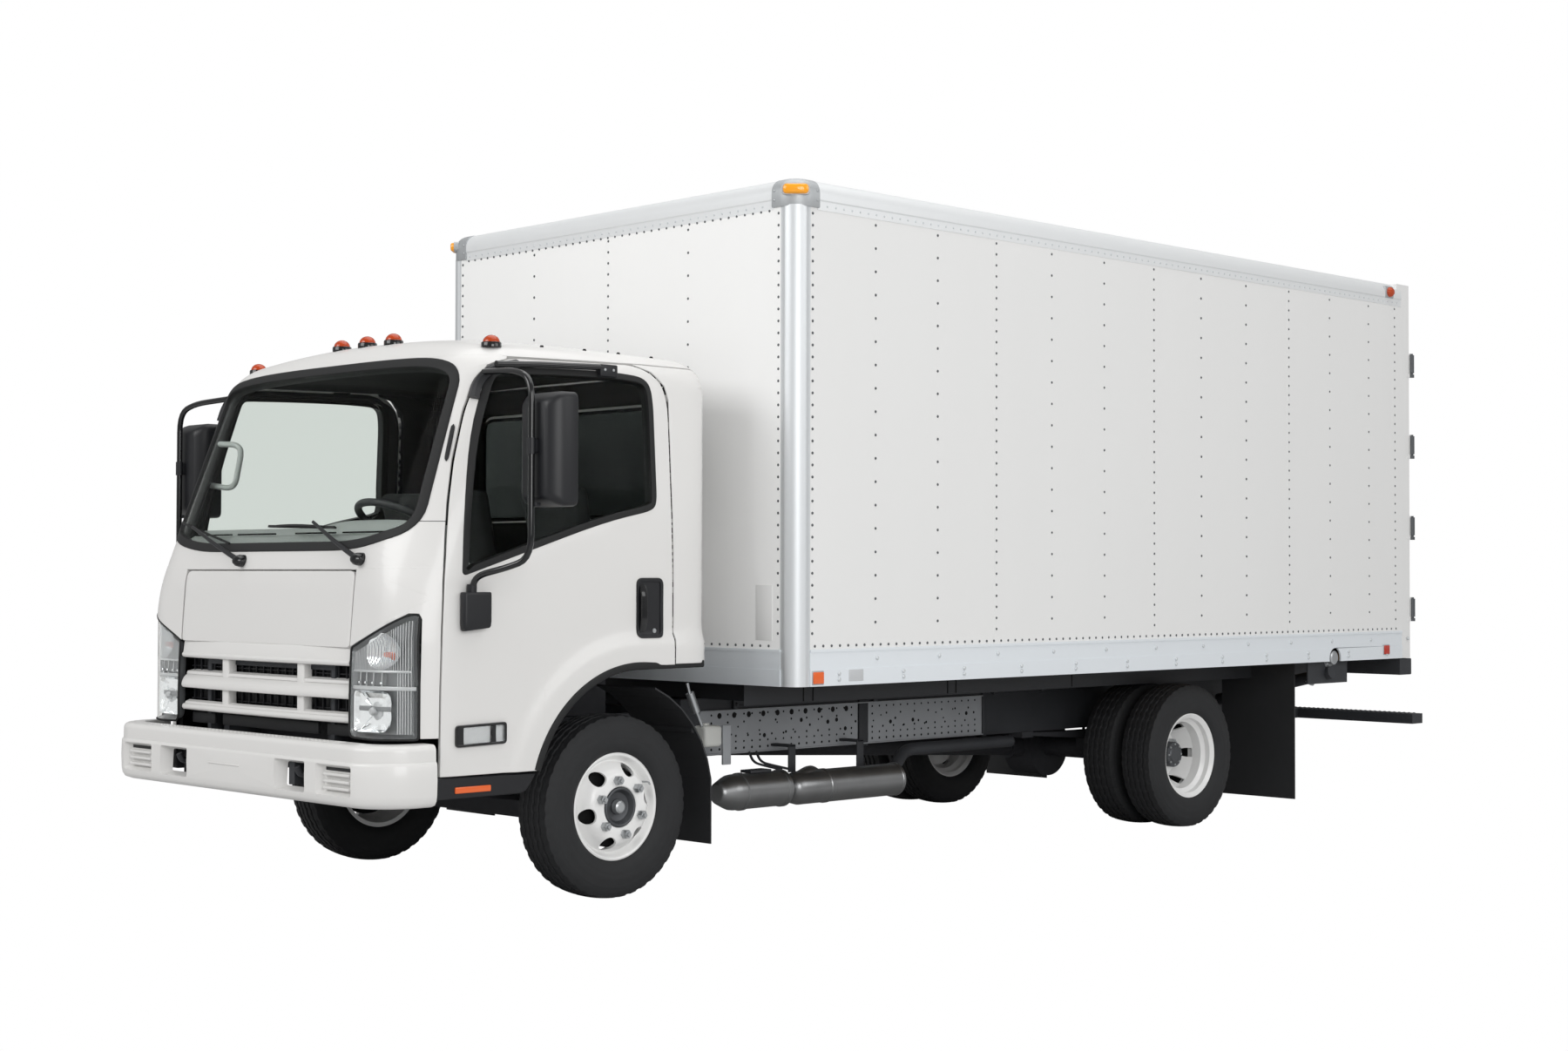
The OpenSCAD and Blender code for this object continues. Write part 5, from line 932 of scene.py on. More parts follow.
def studs(places, normals, r=0.0055, h=0.003, n=8):
    """Domed heads raised along normals, one direction for all or one a place."""
    places = np.asarray(places, float)
    normals = np.broadcast_to(np.asarray(normals, float), places.shape)
    a = np.linspace(0, 2 * np.pi, n, endpoint=False)
    ref = np.where(np.abs(normals[:, 2:]) < 0.9, [[0, 0, 1]], [[1, 0, 0]])
    u = np.cross(ref, normals)
    u /= np.linalg.norm(u, axis=1, keepdims=True)
    w = np.cross(normals, u)
    circle = u[:, None] * np.cos(a)[None, :, None] + w[:, None] * np.sin(a)[None, :, None]
    rows = []
    for k, lift in ((1.0, -0.0005), (0.95, h * 0.45), (0.6, h * 0.85)):
        rows.append(places[:, None] + normals[:, None] * lift + k * r * circle)
    m = len(places)
    v = np.stack(rows, 1).reshape(-1, 3)
    base = (np.arange(m) * 3 * n)[:, None, None]
    i = np.arange(n)
    j = (i + 1) % n
    quads = np.concatenate([np.stack([i, j, j + n, i + n], 1), np.stack([i + n, j + n, j + 2 * n, i + 2 * n], 1)])
    caps = (base[:, 0] + np.arange(2 * n, 3 * n)[None]).tolist()
    return v, (base + quads[None]).reshape(-1, 4).tolist() + caps


def row(a, b, pitch):
    """Evenly pitched numbers from a to b."""
    return a + np.arange(int((b - a) / pitch + 1e-6) + 1) * pitch


WALL_LOW, WALL_HIGH = 0.992, 2.874
# How far rivet heads stand off the wall's face, and their radius
HEAD_OUT, HEAD_R = 0.0022, 0.0063
# Corner post: leg, middle of its quarter round, outer and inner radius, flange; and its cap's middle and reach
POST_LEG, POST_IN, POST_R, POST_INNER_R, FLANGE = 0.086, 0.064, 0.0685, 0.06, 0.022
CAP_IN, CAP_REACH = 0.088, 0.045
POST_Y = 0.717 + POST_LEG
# Sheets lap by this much and start this far behind the face
LAP, SHEET_BACK = 0.012, 0.001


def on_left_wall(y, z, out):
    """Points standing out from the left wall."""
    return points(BODY_HW + out, y, z)


def rivet_heights(close):
    """Heights of the rivets in a close or a wide column."""
    return 1.066 + CLOSE_PITCH * np.arange(36) if close else 1.109 + WIDE_PITCH * np.arange(18)


def build_body():
    """Sheets, rivets, posts, rails, caps, lamps and plates of the cargo body."""
    hw, y0, top = BODY_HW, BODY_FRONT, BODY_TOP
    end = FRAME_END
    columns = np.append(0.8 + POST_PITCH * np.arange(12), 5.554)
    # Lapped side sheets, 1.2 m wide
    seams = [POST_Y, 2.0192, 3.2384, 4.4576, end]
    sheets = [slab([hw - SHEET_BACK, a - LAP, WALL_LOW], [hw + 0.0016 + 0.0009 * (k % 2), b + LAP, WALL_HIGH],
                   0.0008, 2) for k, (a, b) in enumerate(zip(seams[:-1], seams[1:]))]
    piece("side_sheets", mirrored(join(*sheets)), "panel", crease=8)
    # Front sheets take the lighter copy of the sheet finish: painted light where the cab shades the wall
    front = [slab([a - LAP, y0 - 0.0016 - 0.0009 * (k % 2), WALL_LOW], [b + LAP, y0 + SHEET_BACK, WALL_HIGH],
                  0.0008, 2) for k, (a, b) in enumerate(((-hw + POST_LEG, 0.0), (0.0, hw - POST_LEG)))]
    piece("front_sheets", join(*front), "lit_front_panel", crease=8)
    # Rivets: close columns at the sheet laps, wide ones between them, and rows along the rails
    spots = []
    for k, y in enumerate(columns):
        close = k in (0, 3, 6, 9, 12)
        spots.append(on_left_wall(max(y, POST_Y + 0.014), rivet_heights(close), HEAD_OUT))
    y = row(POST_Y + 0.03, end - 0.02, CLOSE_PITCH)
    spots.append(on_left_wall(y, 1.012, HEAD_OUT))
    left = np.vstack(spots)
    sides = studs(left, LEFT, HEAD_R)
    spots = []
    for x, close in ((-1.119, True), (-0.548, False), (0.0, True), (0.548, False), (1.119, True)):
        spots.append(points(x, y0 - HEAD_OUT, rivet_heights(close)))
    for z in (1.012, 2.86):
        x = row(-1.07, 1.07, CLOSE_PITCH)
        spots.append(points(x, y0 - HEAD_OUT, z))
    ahead = np.vstack(spots)
    piece("rivets", join(mirrored(sides), studs(ahead, AHEAD, HEAD_R)), "rivet")
    # Corner post: flange, step, quarter round, step, flange, drawn in plan and carried up
    a = np.linspace(0, -math.pi / 2, 16)
    cx, cy = hw - CAP_IN, y0 + CAP_IN
    px, py = hw - POST_IN, y0 + POST_IN
    turn = np.stack([np.cos(a), np.sin(a)], 1)
    outer = np.vstack([[[hw + 0.003, py + FLANGE], [hw + 0.003, py + 0.004]], [px, py] + POST_R * turn,
                       [[px - 0.004, y0 - 0.003], [px - FLANGE, y0 - 0.003]]])
    inner = np.vstack([[[px - FLANGE, y0 + 0.001]], [px, py] + POST_INNER_R * turn[::-1],
                       [[hw - 0.001, py + FLANGE]]])
    post = plate(np.vstack([outer, inner]), 2, BODY_LOW, WALL_HIGH + 0.002)
    piece("corner_posts", mirrored(post), "bright", replaces=("body_rails",))
    # Cap over the post's head: rings of the same quarter round drawn in towards the roof
    t = np.linspace(0, math.pi / 2, 9)
    rows = [(0.0985, WALL_HIGH - 0.004), (0.1005, WALL_HIGH), (0.1005, top - 0.06)]
    rows += [(0.0405 + 0.06 * math.cos(q), top - 0.06 + 0.061 * math.sin(q)) for q in t[1:]]
    rings = []
    for r, z in rows:
        rim = np.vstack([[[cx + r, cy + CAP_REACH]], [cx, cy] + r * turn,
                         [[cx - CAP_REACH, cy - r], [cx - CAP_REACH, cy + CAP_REACH]]])
        rings.append(np.insert(rim, 2, z, 1))
    cap = surface(np.array(rings), False, True, True)
    piece("corner_caps", mirrored(cap), "cast")
    heads = np.array([[hw + 0.0125, cy + 0.03, 2.9], [hw + 0.0125, cy + 0.03, 2.94], [cx - 0.03, y0 - 0.0125, 2.9],
                      [cx - 0.03, y0 - 0.0125, 2.94]])
    ways = np.array([[1.0, 0, 0], [1, 0, 0], [0, -1, 0], [0, -1, 0]])
    piece("cap_rivets", mirrored(studs(heads, ways, 0.006)), "zinc")
    # Top rails: flange, step and quarter round to the roof
    t = np.linspace(0, math.pi / 2, 12)
    rail = np.vstack([[[0.0, WALL_HIGH - 0.012], [0.004, WALL_HIGH - 0.012], [0.004, WALL_HIGH + 0.026],
                       [0.008, WALL_HIGH + 0.032]],
                      np.stack([-0.062 + 0.07 * np.cos(t), top - 0.066 + 0.068 * np.sin(t)], 1),
                      [[-0.075, top + 0.002], [-0.075, top - 0.01], [0.0, WALL_HIGH + 0.02]]])
    side = plate(rail + [hw, 0], 1, cy + 0.04, end + 0.002)
    fr = np.stack([y0 - rail[:, 0], rail[:, 1]], 1)
    piece("top_rails", join(mirrored(side), plate(fr, 0, -cx + 0.04, cx - 0.04)), "top_rail")
    y = row(POST_Y + 0.05, end - 0.02, CLOSE_PITCH)
    x = row(-1.06, 1.06, CLOSE_PITCH)
    piece("rail_rivets", join(mirrored(studs(on_left_wall(y, 2.881, 0.0042), LEFT, 0.005)),
                              studs(points(x, y0 - 0.0042, 2.881), AHEAD, 0.005)), "pale_rivet")
    # Bottom rails with their fold lines; the left one has a half-round notch over the filler
    a = np.linspace(math.pi, 0, 16)
    notch = np.stack([FILLER_Y - 0.058 * np.cos(a[::-1]), 0.858 + 0.058 * np.sin(a)], 1)

    def rail_sheet(z0, z1, out, cut=False):
        """One band of the left bottom rail, notched over the filler where cut."""
        line = corners(POST_Y, z0, end, z1)
        if cut:
            line = np.vstack([[[POST_Y, z0], [4.846, z0]], notch,
                              [[4.962, z0], [end, z0], [end, z1], [POST_Y, z1]]])
        return plate(line, 0, hw - 0.002, hw + out)

    bands = ((0.842, 0.914, 0.0075), (0.914, 0.988, 0.0045), (0.986, 0.998, 0.0085))
    left = [rail_sheet(a0, b0, c0, a0 < 0.9) for a0, b0, c0 in bands]
    right = [flipped(rail_sheet(*q)) for q in bands]
    ahead = [plate(corners(y0 + 0.002, z0, y0 - out, z1), 0, -hw + 0.084, hw - 0.084) for z0, z1, out in bands]
    piece("bottom_rails", join(*left, *right, *ahead), "rail")
    y = row(0.975, end - 0.02, POST_PITCH)
    pairs = np.vstack([on_left_wall(y + d, z, 0.0078 if z < 0.914 else 0.0048)
                       for d, z in ((0, 0.893), (0, 0.868), (0.24, 0.953))])
    piece("rail_bolts", mirrored(studs(pairs, LEFT, 0.01, 0.008)), "pale_rivet")

    # Marker lamps on the rail: square reflectors in thin frames
    def square(y, z, w, h):
        """Square reflector on the left rail."""
        return slab([hw + 0.006, y - w / 2, z - h / 2], [hw + 0.016, y + w / 2, z + h / 2], 0.004)

    piece("front_markers", mirrored(square(0.846, 0.878, 0.062, 0.05)), "orange", replaces=("body_lamps",))
    piece("rear_markers", mirrored(square(5.441, 0.894, 0.055, 0.05)), "red")
    piece("marker_frames", mirrored(join(slab([hw + 0.005, 0.811, 0.848], [hw + 0.01, 0.881, 0.908], 0.003),
                                         slab([hw + 0.005, 5.408, 0.865], [hw + 0.01, 5.474, 0.923], 0.003))),
          "cast")
    # Lamps on the caps: pads facing the corner
    n = np.array([1, -1, 0]) / math.sqrt(2)
    c0 = np.array([cx, cy, top - 0.052]) + n * 0.099
    u = np.array([1, 1, 0]) / math.sqrt(2)
    o = loop(corners(-0.055, -0.021, 0.055, 0.021), 0.019, 6)
    pad = np.stack([c0 + u * (p * s)[:, :1] + np.array([0, 0, 1]) * (p * s)[:, 1:] + n * d
                    for p, s, d in ((o, 1.0, -0.02), (o, 1.0, 0.01), (o, 0.94, 0.018), (o, 0.75, 0.024),
                                    (o, 0.4, 0.027), (o, 0.02, 0.028))])
    piece("cap_lamps", mirrored(surface(pad, False, True, True)), "amber")
    base = np.stack([c0 + u * (o * 1.13)[:, :1] + np.array([0, 0, 1]) * (o * 1.18)[:, 1:] + n * d
                     for d in (-0.02, 0.004)])
    piece("cap_lamp_bases", mirrored(surface(base, False, True, True)), "cast")
    # Small round lamp at the rear end of each top rail
    lamp = revolve([[AXIS, 0.03], [0.018, 0.028], [0.027, 0.018], [0.03, 0.0], [0.03, -0.02], [AXIS, -0.02]],
                   [hw + 0.004, 5.49, 2.935], 0, 24)
    piece("rail_lamps", mirrored(lamp), "dome")
    piece("rail_lamp_bases", mirrored(slab([hw - 0.01, 5.44, 2.9], [hw + 0.01, 5.54, 2.97], 0.01)), "cast")
    # Blank plates
    piece("rail_plate", slab([hw + 0.004, 1.035, 0.858], [hw + 0.0092, 1.125, 0.908], 0.002), "label")
    piece("wall_plate", slab([0.985, y0 - 0.0045, 1.035], [1.085, y0 + 0.001, 1.27], 0.001, 2), "panel")
    # Tail lamps under the rear frame: red, amber and clear in a steel box
    z0, z1 = BODY_LOW - 0.098, BODY_LOW - 0.004
    piece("tail_boxes", mirrored(slab([hw - 0.42, BODY_BACK - 0.13, z0], [hw - 0.01, BODY_BACK - 0.004, z1],
                                      0.006)), "frame")
    for k, (name, key) in enumerate((("red", "red"), ("amber", "orange"), ("clear", "lens"))):
        x = hw - 0.075 - 0.13 * k
        lamp = revolve([[AXIS, 0.012], [0.03, 0.011], [0.041, 0.004], [0.043, -0.02], [AXIS, -0.02]],
                       [x, BODY_BACK + 0.002, (z0 + z1) / 2], 1, 28)
        piece("tail_lamps_" + name, mirrored(lamp), key)


TYRE_STEPS, TREAD_HW = 240, 0.084
GROOVES, GROOVE_HW, GROOVE_DEPTH = (-0.048, -0.016, 0.016, 0.048), 0.0042, 0.01


def tyre_shape(x0, y0):
    """Tyre about an axle along x: a section turned round, with waved grooves, notches and sidewall rings."""
    n = TYRE_STEPS
    tread = np.linspace(-TREAD_HW, TREAD_HW, 43)
    crown = TYRE_R - 0.007 * (tread / TREAD_HW) ** 2
    side = np.array([[0.353, 0.0915], [0.342, 0.0962], [0.336, 0.0975], [0.33, 0.0985], [0.326, 0.1005],
                     [0.322, 0.1], [0.3, 0.1062], [0.278, 0.1062], [0.274, 0.105], [0.27, 0.1056], [0.248, 0.1005],
                     [0.242, 0.0985], [0.232, 0.094], [0.219, 0.083]])
    out = np.vstack([np.stack([crown, tread], 1), side, (side * [1, -1])[::-1]])
    a = np.linspace(0, 2 * np.pi, n, endpoint=False)
    r = np.repeat(out[None, :, 0], n, 0)
    x = np.repeat(out[None, :, 1], n, 0)
    t = tread[None]
    wave = 0.0035 * np.where((np.arange(n) // 3) % 2 == 0, 1.0, -1.0)[:, None]
    cut = np.zeros((n, len(tread)))
    for k in GROOVES:
        cut = np.maximum(cut, np.where(np.abs(t - k - wave) < GROOVE_HW, GROOVE_DEPTH, 0))
    lug = (np.arange(n) % 6) < 2
    notch = lug[:, None] & (np.abs(t) > 0.066)
    sipe = ((np.arange(n) % 4) == 0)[:, None] & (np.abs(np.abs(t) - 0.032) < 0.01)
    cut = np.maximum(cut, np.where(notch, 0.0035, 0))
    cut = np.maximum(cut, np.where(sipe, 0.003, 0))
    r[:, :len(tread)] -= cut
    for k in (len(tread), -1):
        r[:, k] -= 0.0025 * lug
    pts = np.stack([x + x0, y0 + r * np.cos(a)[:, None], TYRE_R + r * np.sin(a)[:, None]], -1)
    return surface(pts, True, True)


WHEELS = (("front_left", "front_left_wheel", 1, FRONT_X, 0.0),
          ("front_right", "front_right_wheel", -1, FRONT_X, 0.0))
NUT_CIRCLE, NUT_R = 0.111, 0.0195
REARS = (("rear_left", "rear_left_wheels", 1), ("rear_right", "rear_right_wheels", -1))


def hexagon(x, y, z, r, h, out):
    """Wheel nut: six-sided prism with a rounded crown and its stud, along x."""
    a = np.arange(6) * math.pi / 3
    rows = [(r, 0.0), (r, h * 0.72), (r * 0.86, h)]
    pts = np.stack([points(x + out * d, y + q * np.cos(a), z + q * np.sin(a)) for q, d in rows])
    stud = [[AXIS, h + 0.009], [r * 0.42, h + 0.009], [r * 0.5, h + 0.006], [r * 0.5, 0], [AXIS, 0]]
    bolt = revolve(stud, [out * x, y, z], 0, 14)
    return join(surface(pts, False, True, True), bolt if out > 0 else flipped(bolt))


def nut_ring(x, y, turn, h, out):
    """Six wheel nuts on their bolt circle, the first at angle turn."""
    ways = turn + np.arange(6) * math.pi / 3
    return join(*[hexagon(out * x, y + NUT_CIRCLE * math.cos(a), TYRE_R + NUT_CIRCLE * math.sin(a), NUT_R, h, out)
                  for a in ways])


def front_disc():
    """Front wheel about x: disc and rim as one turned section, with six oval hand holes cut through it."""
    section = [[0.081, -0.012], [0.083, -0.003], [0.087, 0.0], [0.126, 0.0], [0.136, -0.002], [0.146, -0.007],
               [0.158, -0.018], [0.17, -0.034], [0.1785, -0.052], [0.183, -0.062], [0.188, -0.064], [0.193, -0.058],
               [0.197, -0.047], [0.201, -0.038], [0.206, -0.032], [0.212, -0.03], [0.218, -0.032], [0.2215, -0.038],
               [0.222, -0.044], [0.216, -0.048], [0.206, -0.05], [0.2035, -0.066], [0.198, -0.074], [0.191, -0.118],
               [0.202, -0.166], [0.204, -0.184], [0.2215, -0.188], [0.2215, -0.193], [0.2, -0.192], [0.1965, -0.17],
               [0.185, -0.12], [0.176, -0.074], [0.164, -0.048], [0.152, -0.027], [0.142, -0.015], [0.13, -0.011],
               [0.087, -0.011], [0.081, -0.013]]
    holes = []
    for k in range(6):
        a = math.radians(11) + k * math.pi / 3
        q = ring(1.0, 28) * [0.0265, 0.032]
        yz = np.stack([(0.1535 + q[:, 0]) * math.cos(a) - q[:, 1] * math.sin(a), (0.1535 + q[:, 0]) * math.sin(a)
                       + q[:, 1] * math.cos(a)], 1)
        holes.append(plate(yz, 0, -0.075, 0.02))
    return carve(revolve(section, [0, 0, 0], 0, 96), *holes)


def build_wheels():
    """Tyres with tread, wheel nuts, hubs and valve stems."""
    disc = front_disc()
    for name, body, s, x, y in WHEELS:
        piece("tread_" + name, tyre_shape(s * x, y), "tyre", body, ("tyre_" + name,), crease=40)
        face = x + 0.111
        side = (lambda q: q) if s > 0 else flipped
        piece("disc_" + name, side((disc[0] + [face, y, TYRE_R], disc[1])), "wheel", body, ("wheel_" + name,),
              crease=30)
        # Drum behind the disc, in the near-black of painted shade
        drum = revolve([[0.086, -0.052], [0.16, -0.06], [0.166, -0.068], [0.166, -0.085], [0.086, -0.08]],
                       [face, y, TYRE_R], 0, 48)
        piece("drum_" + name, side(drum), "void", body)
        piece("nuts_" + name, nut_ring(face + 0.001, y, math.radians(40), 0.026, s), "zinc", body)
        hub = revolve([[AXIS, -0.024], [0.05, -0.024], [0.058, -0.02], [0.066, -0.006], [0.07, 0.001],
                       [0.0745, 0.003], [0.079, 0.001], [0.0815, -0.006], [0.0825, -0.05], [AXIS, -0.05]],
                      [face, y, TYRE_R], 0, 48)
        cap = revolve([[AXIS, 0.006], [0.018, 0.005], [0.025, 0.0], [0.0285, -0.01], [0.03, -0.026],
                       [AXIS, -0.026]], [face, y, TYRE_R], 0, 32)
        piece("hub_" + name, side(hub), "hub", body)
        piece("hub_cap_" + name, side(cap), "zinc", body)
        stem = tube([[s * (x + 0.06), y + 0.15, TYRE_R + 0.09], [s * (x + 0.105), y + 0.152, TYRE_R + 0.092],
                     [s * (x + 0.128), y + 0.14, TYRE_R + 0.085]], 0.004, 0.01, 8)
        piece("valve_" + name, stem, "zinc", body)
    for name, body, s in REARS:
        for k, d in enumerate((-0.124, 0.124)):
            piece("tread_%s_%d" % (name, k), tyre_shape(s * (REAR_X + d), WHEELBASE), "tyre", body,
                  ("tyres_" + name,), crease=40)
        piece("nuts_" + name, nut_ring(REAR_X + 0.012, WHEELBASE, math.pi / 6, 0.03, s), "zinc", body)
        hub = revolve([[AXIS, 0.118], [0.04, 0.118], [0.046, 0.112], [0.0635, 0.1095], [0.066, 0.104], [0.066, 0.0],
                       [0.0825, 0.0], [0.0835, -0.03], [AXIS, -0.03]], [REAR_X, WHEELBASE, TYRE_R], 0, 48)
        # Drum behind the hub, in the near-black of painted shade
        drum = revolve([[AXIS, 0.004], [0.166, 0.004], [0.168, -0.004], [AXIS, -0.004]],
                       [REAR_X, WHEELBASE, TYRE_R], 0, 48)
        a = np.arange(8) * math.pi / 4
        flange = studs(points(REAR_X + 0.1095, WHEELBASE + 0.053 * np.cos(a), TYRE_R + 0.053 * np.sin(a)),
                       LEFT, 0.0065, 0.008, 6)
        side = (lambda q: q) if s > 0 else flipped
        piece("hub_" + name, side(hub), "hub", body)
        piece("hub_bolts_" + name, side(flange), "zinc", body)
        piece("drum_" + name, side(drum), "void", body)


def frustum(lo, hi, shrink, y0, y1):
    """Tapered pocket cutter along y: outline [x, z] lo to hi at y0, drawn in by shrink at y1."""
    o = loop(corners(*lo, *hi), 0.012, 4)
    c = o.mean(0)
    half = (o.max(0) - o.min(0)) / 2
    inner = c + (o - c) * (1 - np.asarray(shrink) / half)
    return surface(np.stack([np.insert(o, 1, y0, 1), np.insert(inner, 1, y1, 1)]), False, True, True)


def build_bumper():
    """White bumper with rounded ends, tapered hook windows, ribbed recesses and a grip pattern on its step."""
    hw, face, end, r = 1.03, -1.225, -0.962, 0.21
    a = np.linspace(0, math.pi / 2, 22)
    right = np.stack([-(hw - r) - r * np.cos(a), face + r - r * np.sin(a)], 1)
    plan = np.vstack([[[-hw, end], [-hw, end - 0.03]], right, [[-0.5, face], [0, face], [0.5, face]],
                      (right * [-1, 1])[::-1], [[hw, end - 0.03], [hw, end]]])
    path = np.insert(plan, 2, 0.0, 1)
    t = np.linspace(0, math.pi / 2, 6)
    top = np.stack([-0.03 + 0.022 * np.cos(t), 0.658 + 0.023 * np.sin(t)], 1)
    prof = np.vstack([[[-0.036, 0.447], [-0.014, 0.455], [-0.004, 0.47], [0.0, 0.492], [0.002, 0.55], [0.0, 0.606],
                       [-0.003, 0.614], [-0.007, 0.617]], top,
                      [[-0.092, 0.682], [-0.096, 0.676], [-0.096, 0.65], [-0.05, 0.64], [-0.042, 0.46],
                       [-0.042, 0.447]]])
    shell = sweep(path, prof)
    low, high = 0.484, 0.608
    cuts = []
    for s in (1, -1):
        x0, x1 = sorted((s * 0.325, s * 0.55))
        cuts.append(frustum((x0, low), (x1, high), (0.042, 0.024), face - 0.01, face + 0.07))
        x0, x1 = sorted((s * 0.612, s * 0.862))
        cuts.append(frustum((x0, low), (x1, high), (0.03, 0.018), face - 0.01, face + 0.03))
    piece("bumper_shell", carve(shell, *cuts), "paint", replaces=("front_bumper",), crease=38)
    # Ribs in the outer recesses; black slabs behind them and behind the hook windows paint the shade of the slit
    # and the bumper's hollow
    ribs, slots = [], []
    for s in (1, -1):
        lo, hi = sorted((s * 0.65, s * 0.826))
        ribs += [slab([lo, face + 0.012, z], [hi, face + 0.034, z + 0.012], 0.005) for z in (0.508, 0.534, 0.56)]
        slots.append(slab([lo, face + 0.0275, 0.578], [hi, face + 0.033, 0.592], 0.002))
        slots.append(slab([s * 0.37, face + 0.1, 0.48], [s * 0.53, face + 0.11, 0.62], 0.002))
    piece("bumper_ribs", join(*ribs), "paint")
    piece("bumper_shade_slabs", join(*slots), "mesh")
    hooks = []
    for s in (1, -1):
        line = [[s * 0.445, face + 0.1, 0.545], [s * 0.445, face + 0.045, 0.545], [s * 0.445, face + 0.03, 0.575]]
        hooks.append(tube(line, 0.013, 0.02, 10))
        hooks.append(slab([s * 0.415, face + 0.085, 0.51], [s * 0.475, face + 0.1, 0.58], 0.004))
    piece("tow_hooks", join(*hooks), "iron")
    piece("plate_ledge", slab([-0.155, face - 0.006, 0.556], [0.075, face + 0.004, 0.562], 0.002), "paint")
    x, y = np.meshgrid(row(-0.7, 0.7, 0.028), np.array([face + 0.045, face + 0.06, face + 0.075]), indexing="ij")
    spots = points(x.ravel(), y.ravel(), 0.6818)
    piece("bumper_grip", studs(spots, UP, 0.0085, 0.0025, 10), "paint")


def build_grille():
    """White grille bars with bull-nosed fronts, struts, and dark slats behind."""
    hw, y0 = 0.626, NOSE_Y

    def bow(x):
        """Front line of the bars across the cab."""
        return y0 + 0.02 * (x / hw) ** 2 - 0.01

    xs = np.linspace(-hw, hw, 41)
    path = points(xs, bow(xs), 0.0)
    t = np.linspace(-math.pi / 2, math.pi / 2, 9)

    def nose(z0, z1, depth, back, lean=0.0):
        """Bar section [out, z]: half ellipse in front, square behind."""
        m, h = (z0 + z1) / 2, (z1 - z0) / 2
        return np.vstack([np.stack([-depth + depth * np.cos(t) + lean * np.sin(t), m + h * np.sin(t)], 1),
                          [[-back, z1], [-back, z0]]])

    bars = [sweep(path, nose(0.836, 0.895, 0.02, 0.06, -0.012)), sweep(path, nose(0.744, 0.77, 0.012, 0.035)),
            sweep(path, [[-0.012, 0.962], [-0.002, 0.966], [0.002, 0.974], [0.0, 0.981], [-0.004, 0.984],
                         [-0.01, 1.028], [-0.014, 1.034], [-0.05, 1.034], [-0.05, 0.962]]),
            sweep(path, [[-0.02, 0.893], [-0.024, 0.905], [-0.055, 0.912], [-0.055, 0.893]]),
            sweep(path, [[-0.012, 0.768], [-0.016, 0.778], [-0.035, 0.785], [-0.035, 0.768]])]
    for x in (-0.282, 0.282):
        bars.append(slab([x - 0.024, bow(x) + 0.016, 0.76], [x + 0.024, bow(x) + 0.06, 0.968], 0.008))
    piece("grille_bars", join(*bars), "paint", "cab", ("grille",))
    slats = [slab([x - 0.0025, y0 + 0.052, z0], [x + 0.0025, y0 + 0.066, z1], 0.001, 2)
             for x in row(-0.6, 0.6, 0.0545) for z0, z1 in ((0.782, 0.836), (0.908, 0.962))]
    slats += [slab([-hw, y0 + 0.056, z], [hw, y0 + 0.064, z + 0.004], 0.001, 2) for z in (0.79, 0.925)]
    piece("grille_slats", join(*slats), "plastic", "cab")
    piece("grille_back", slab([-hw, y0 + 0.075, 0.786], [hw, y0 + 0.085, 1.03], 0.002), "mesh", "cab")
    spans = ((-0.6, -0.422), (-0.358, 0.358), (0.422, 0.6))
    low = join(*[slab([a, y0 + 0.045, 0.69], [b, y0 + 0.06, 0.735], 0.004) for a, b in spans])
    piece("grille_shroud", low, "mesh", "cab")


LAMP = np.array([[0.642, 0.695], [0.8, 0.692], [0.956, 0.695], [0.956, 0.92], [0.953, 1.164], [0.925, 1.161],
                 [0.86, 1.122], [0.74, 1.074], [0.642, 1.034]])
BULB_SUNK = 0.024
LAMP_R = [0.03, 0.01, 0.012, 0.01, 0.016, 0.02, 0.05, 0.05, 0.012]


def dish(outline, centre, rows, to=None):
    """Open bowl on the skin: the outline drawn in by each share and sunk by each depth."""
    to = to or (lambda q: skin_front(q[..., 0], q[..., 1]))
    p = np.stack([to(centre + (outline - centre) * k) for k, _ in rows])
    d = np.array([v for _, v in rows])[:, None, None]
    return surface(p - outward(p) * d, False, True)


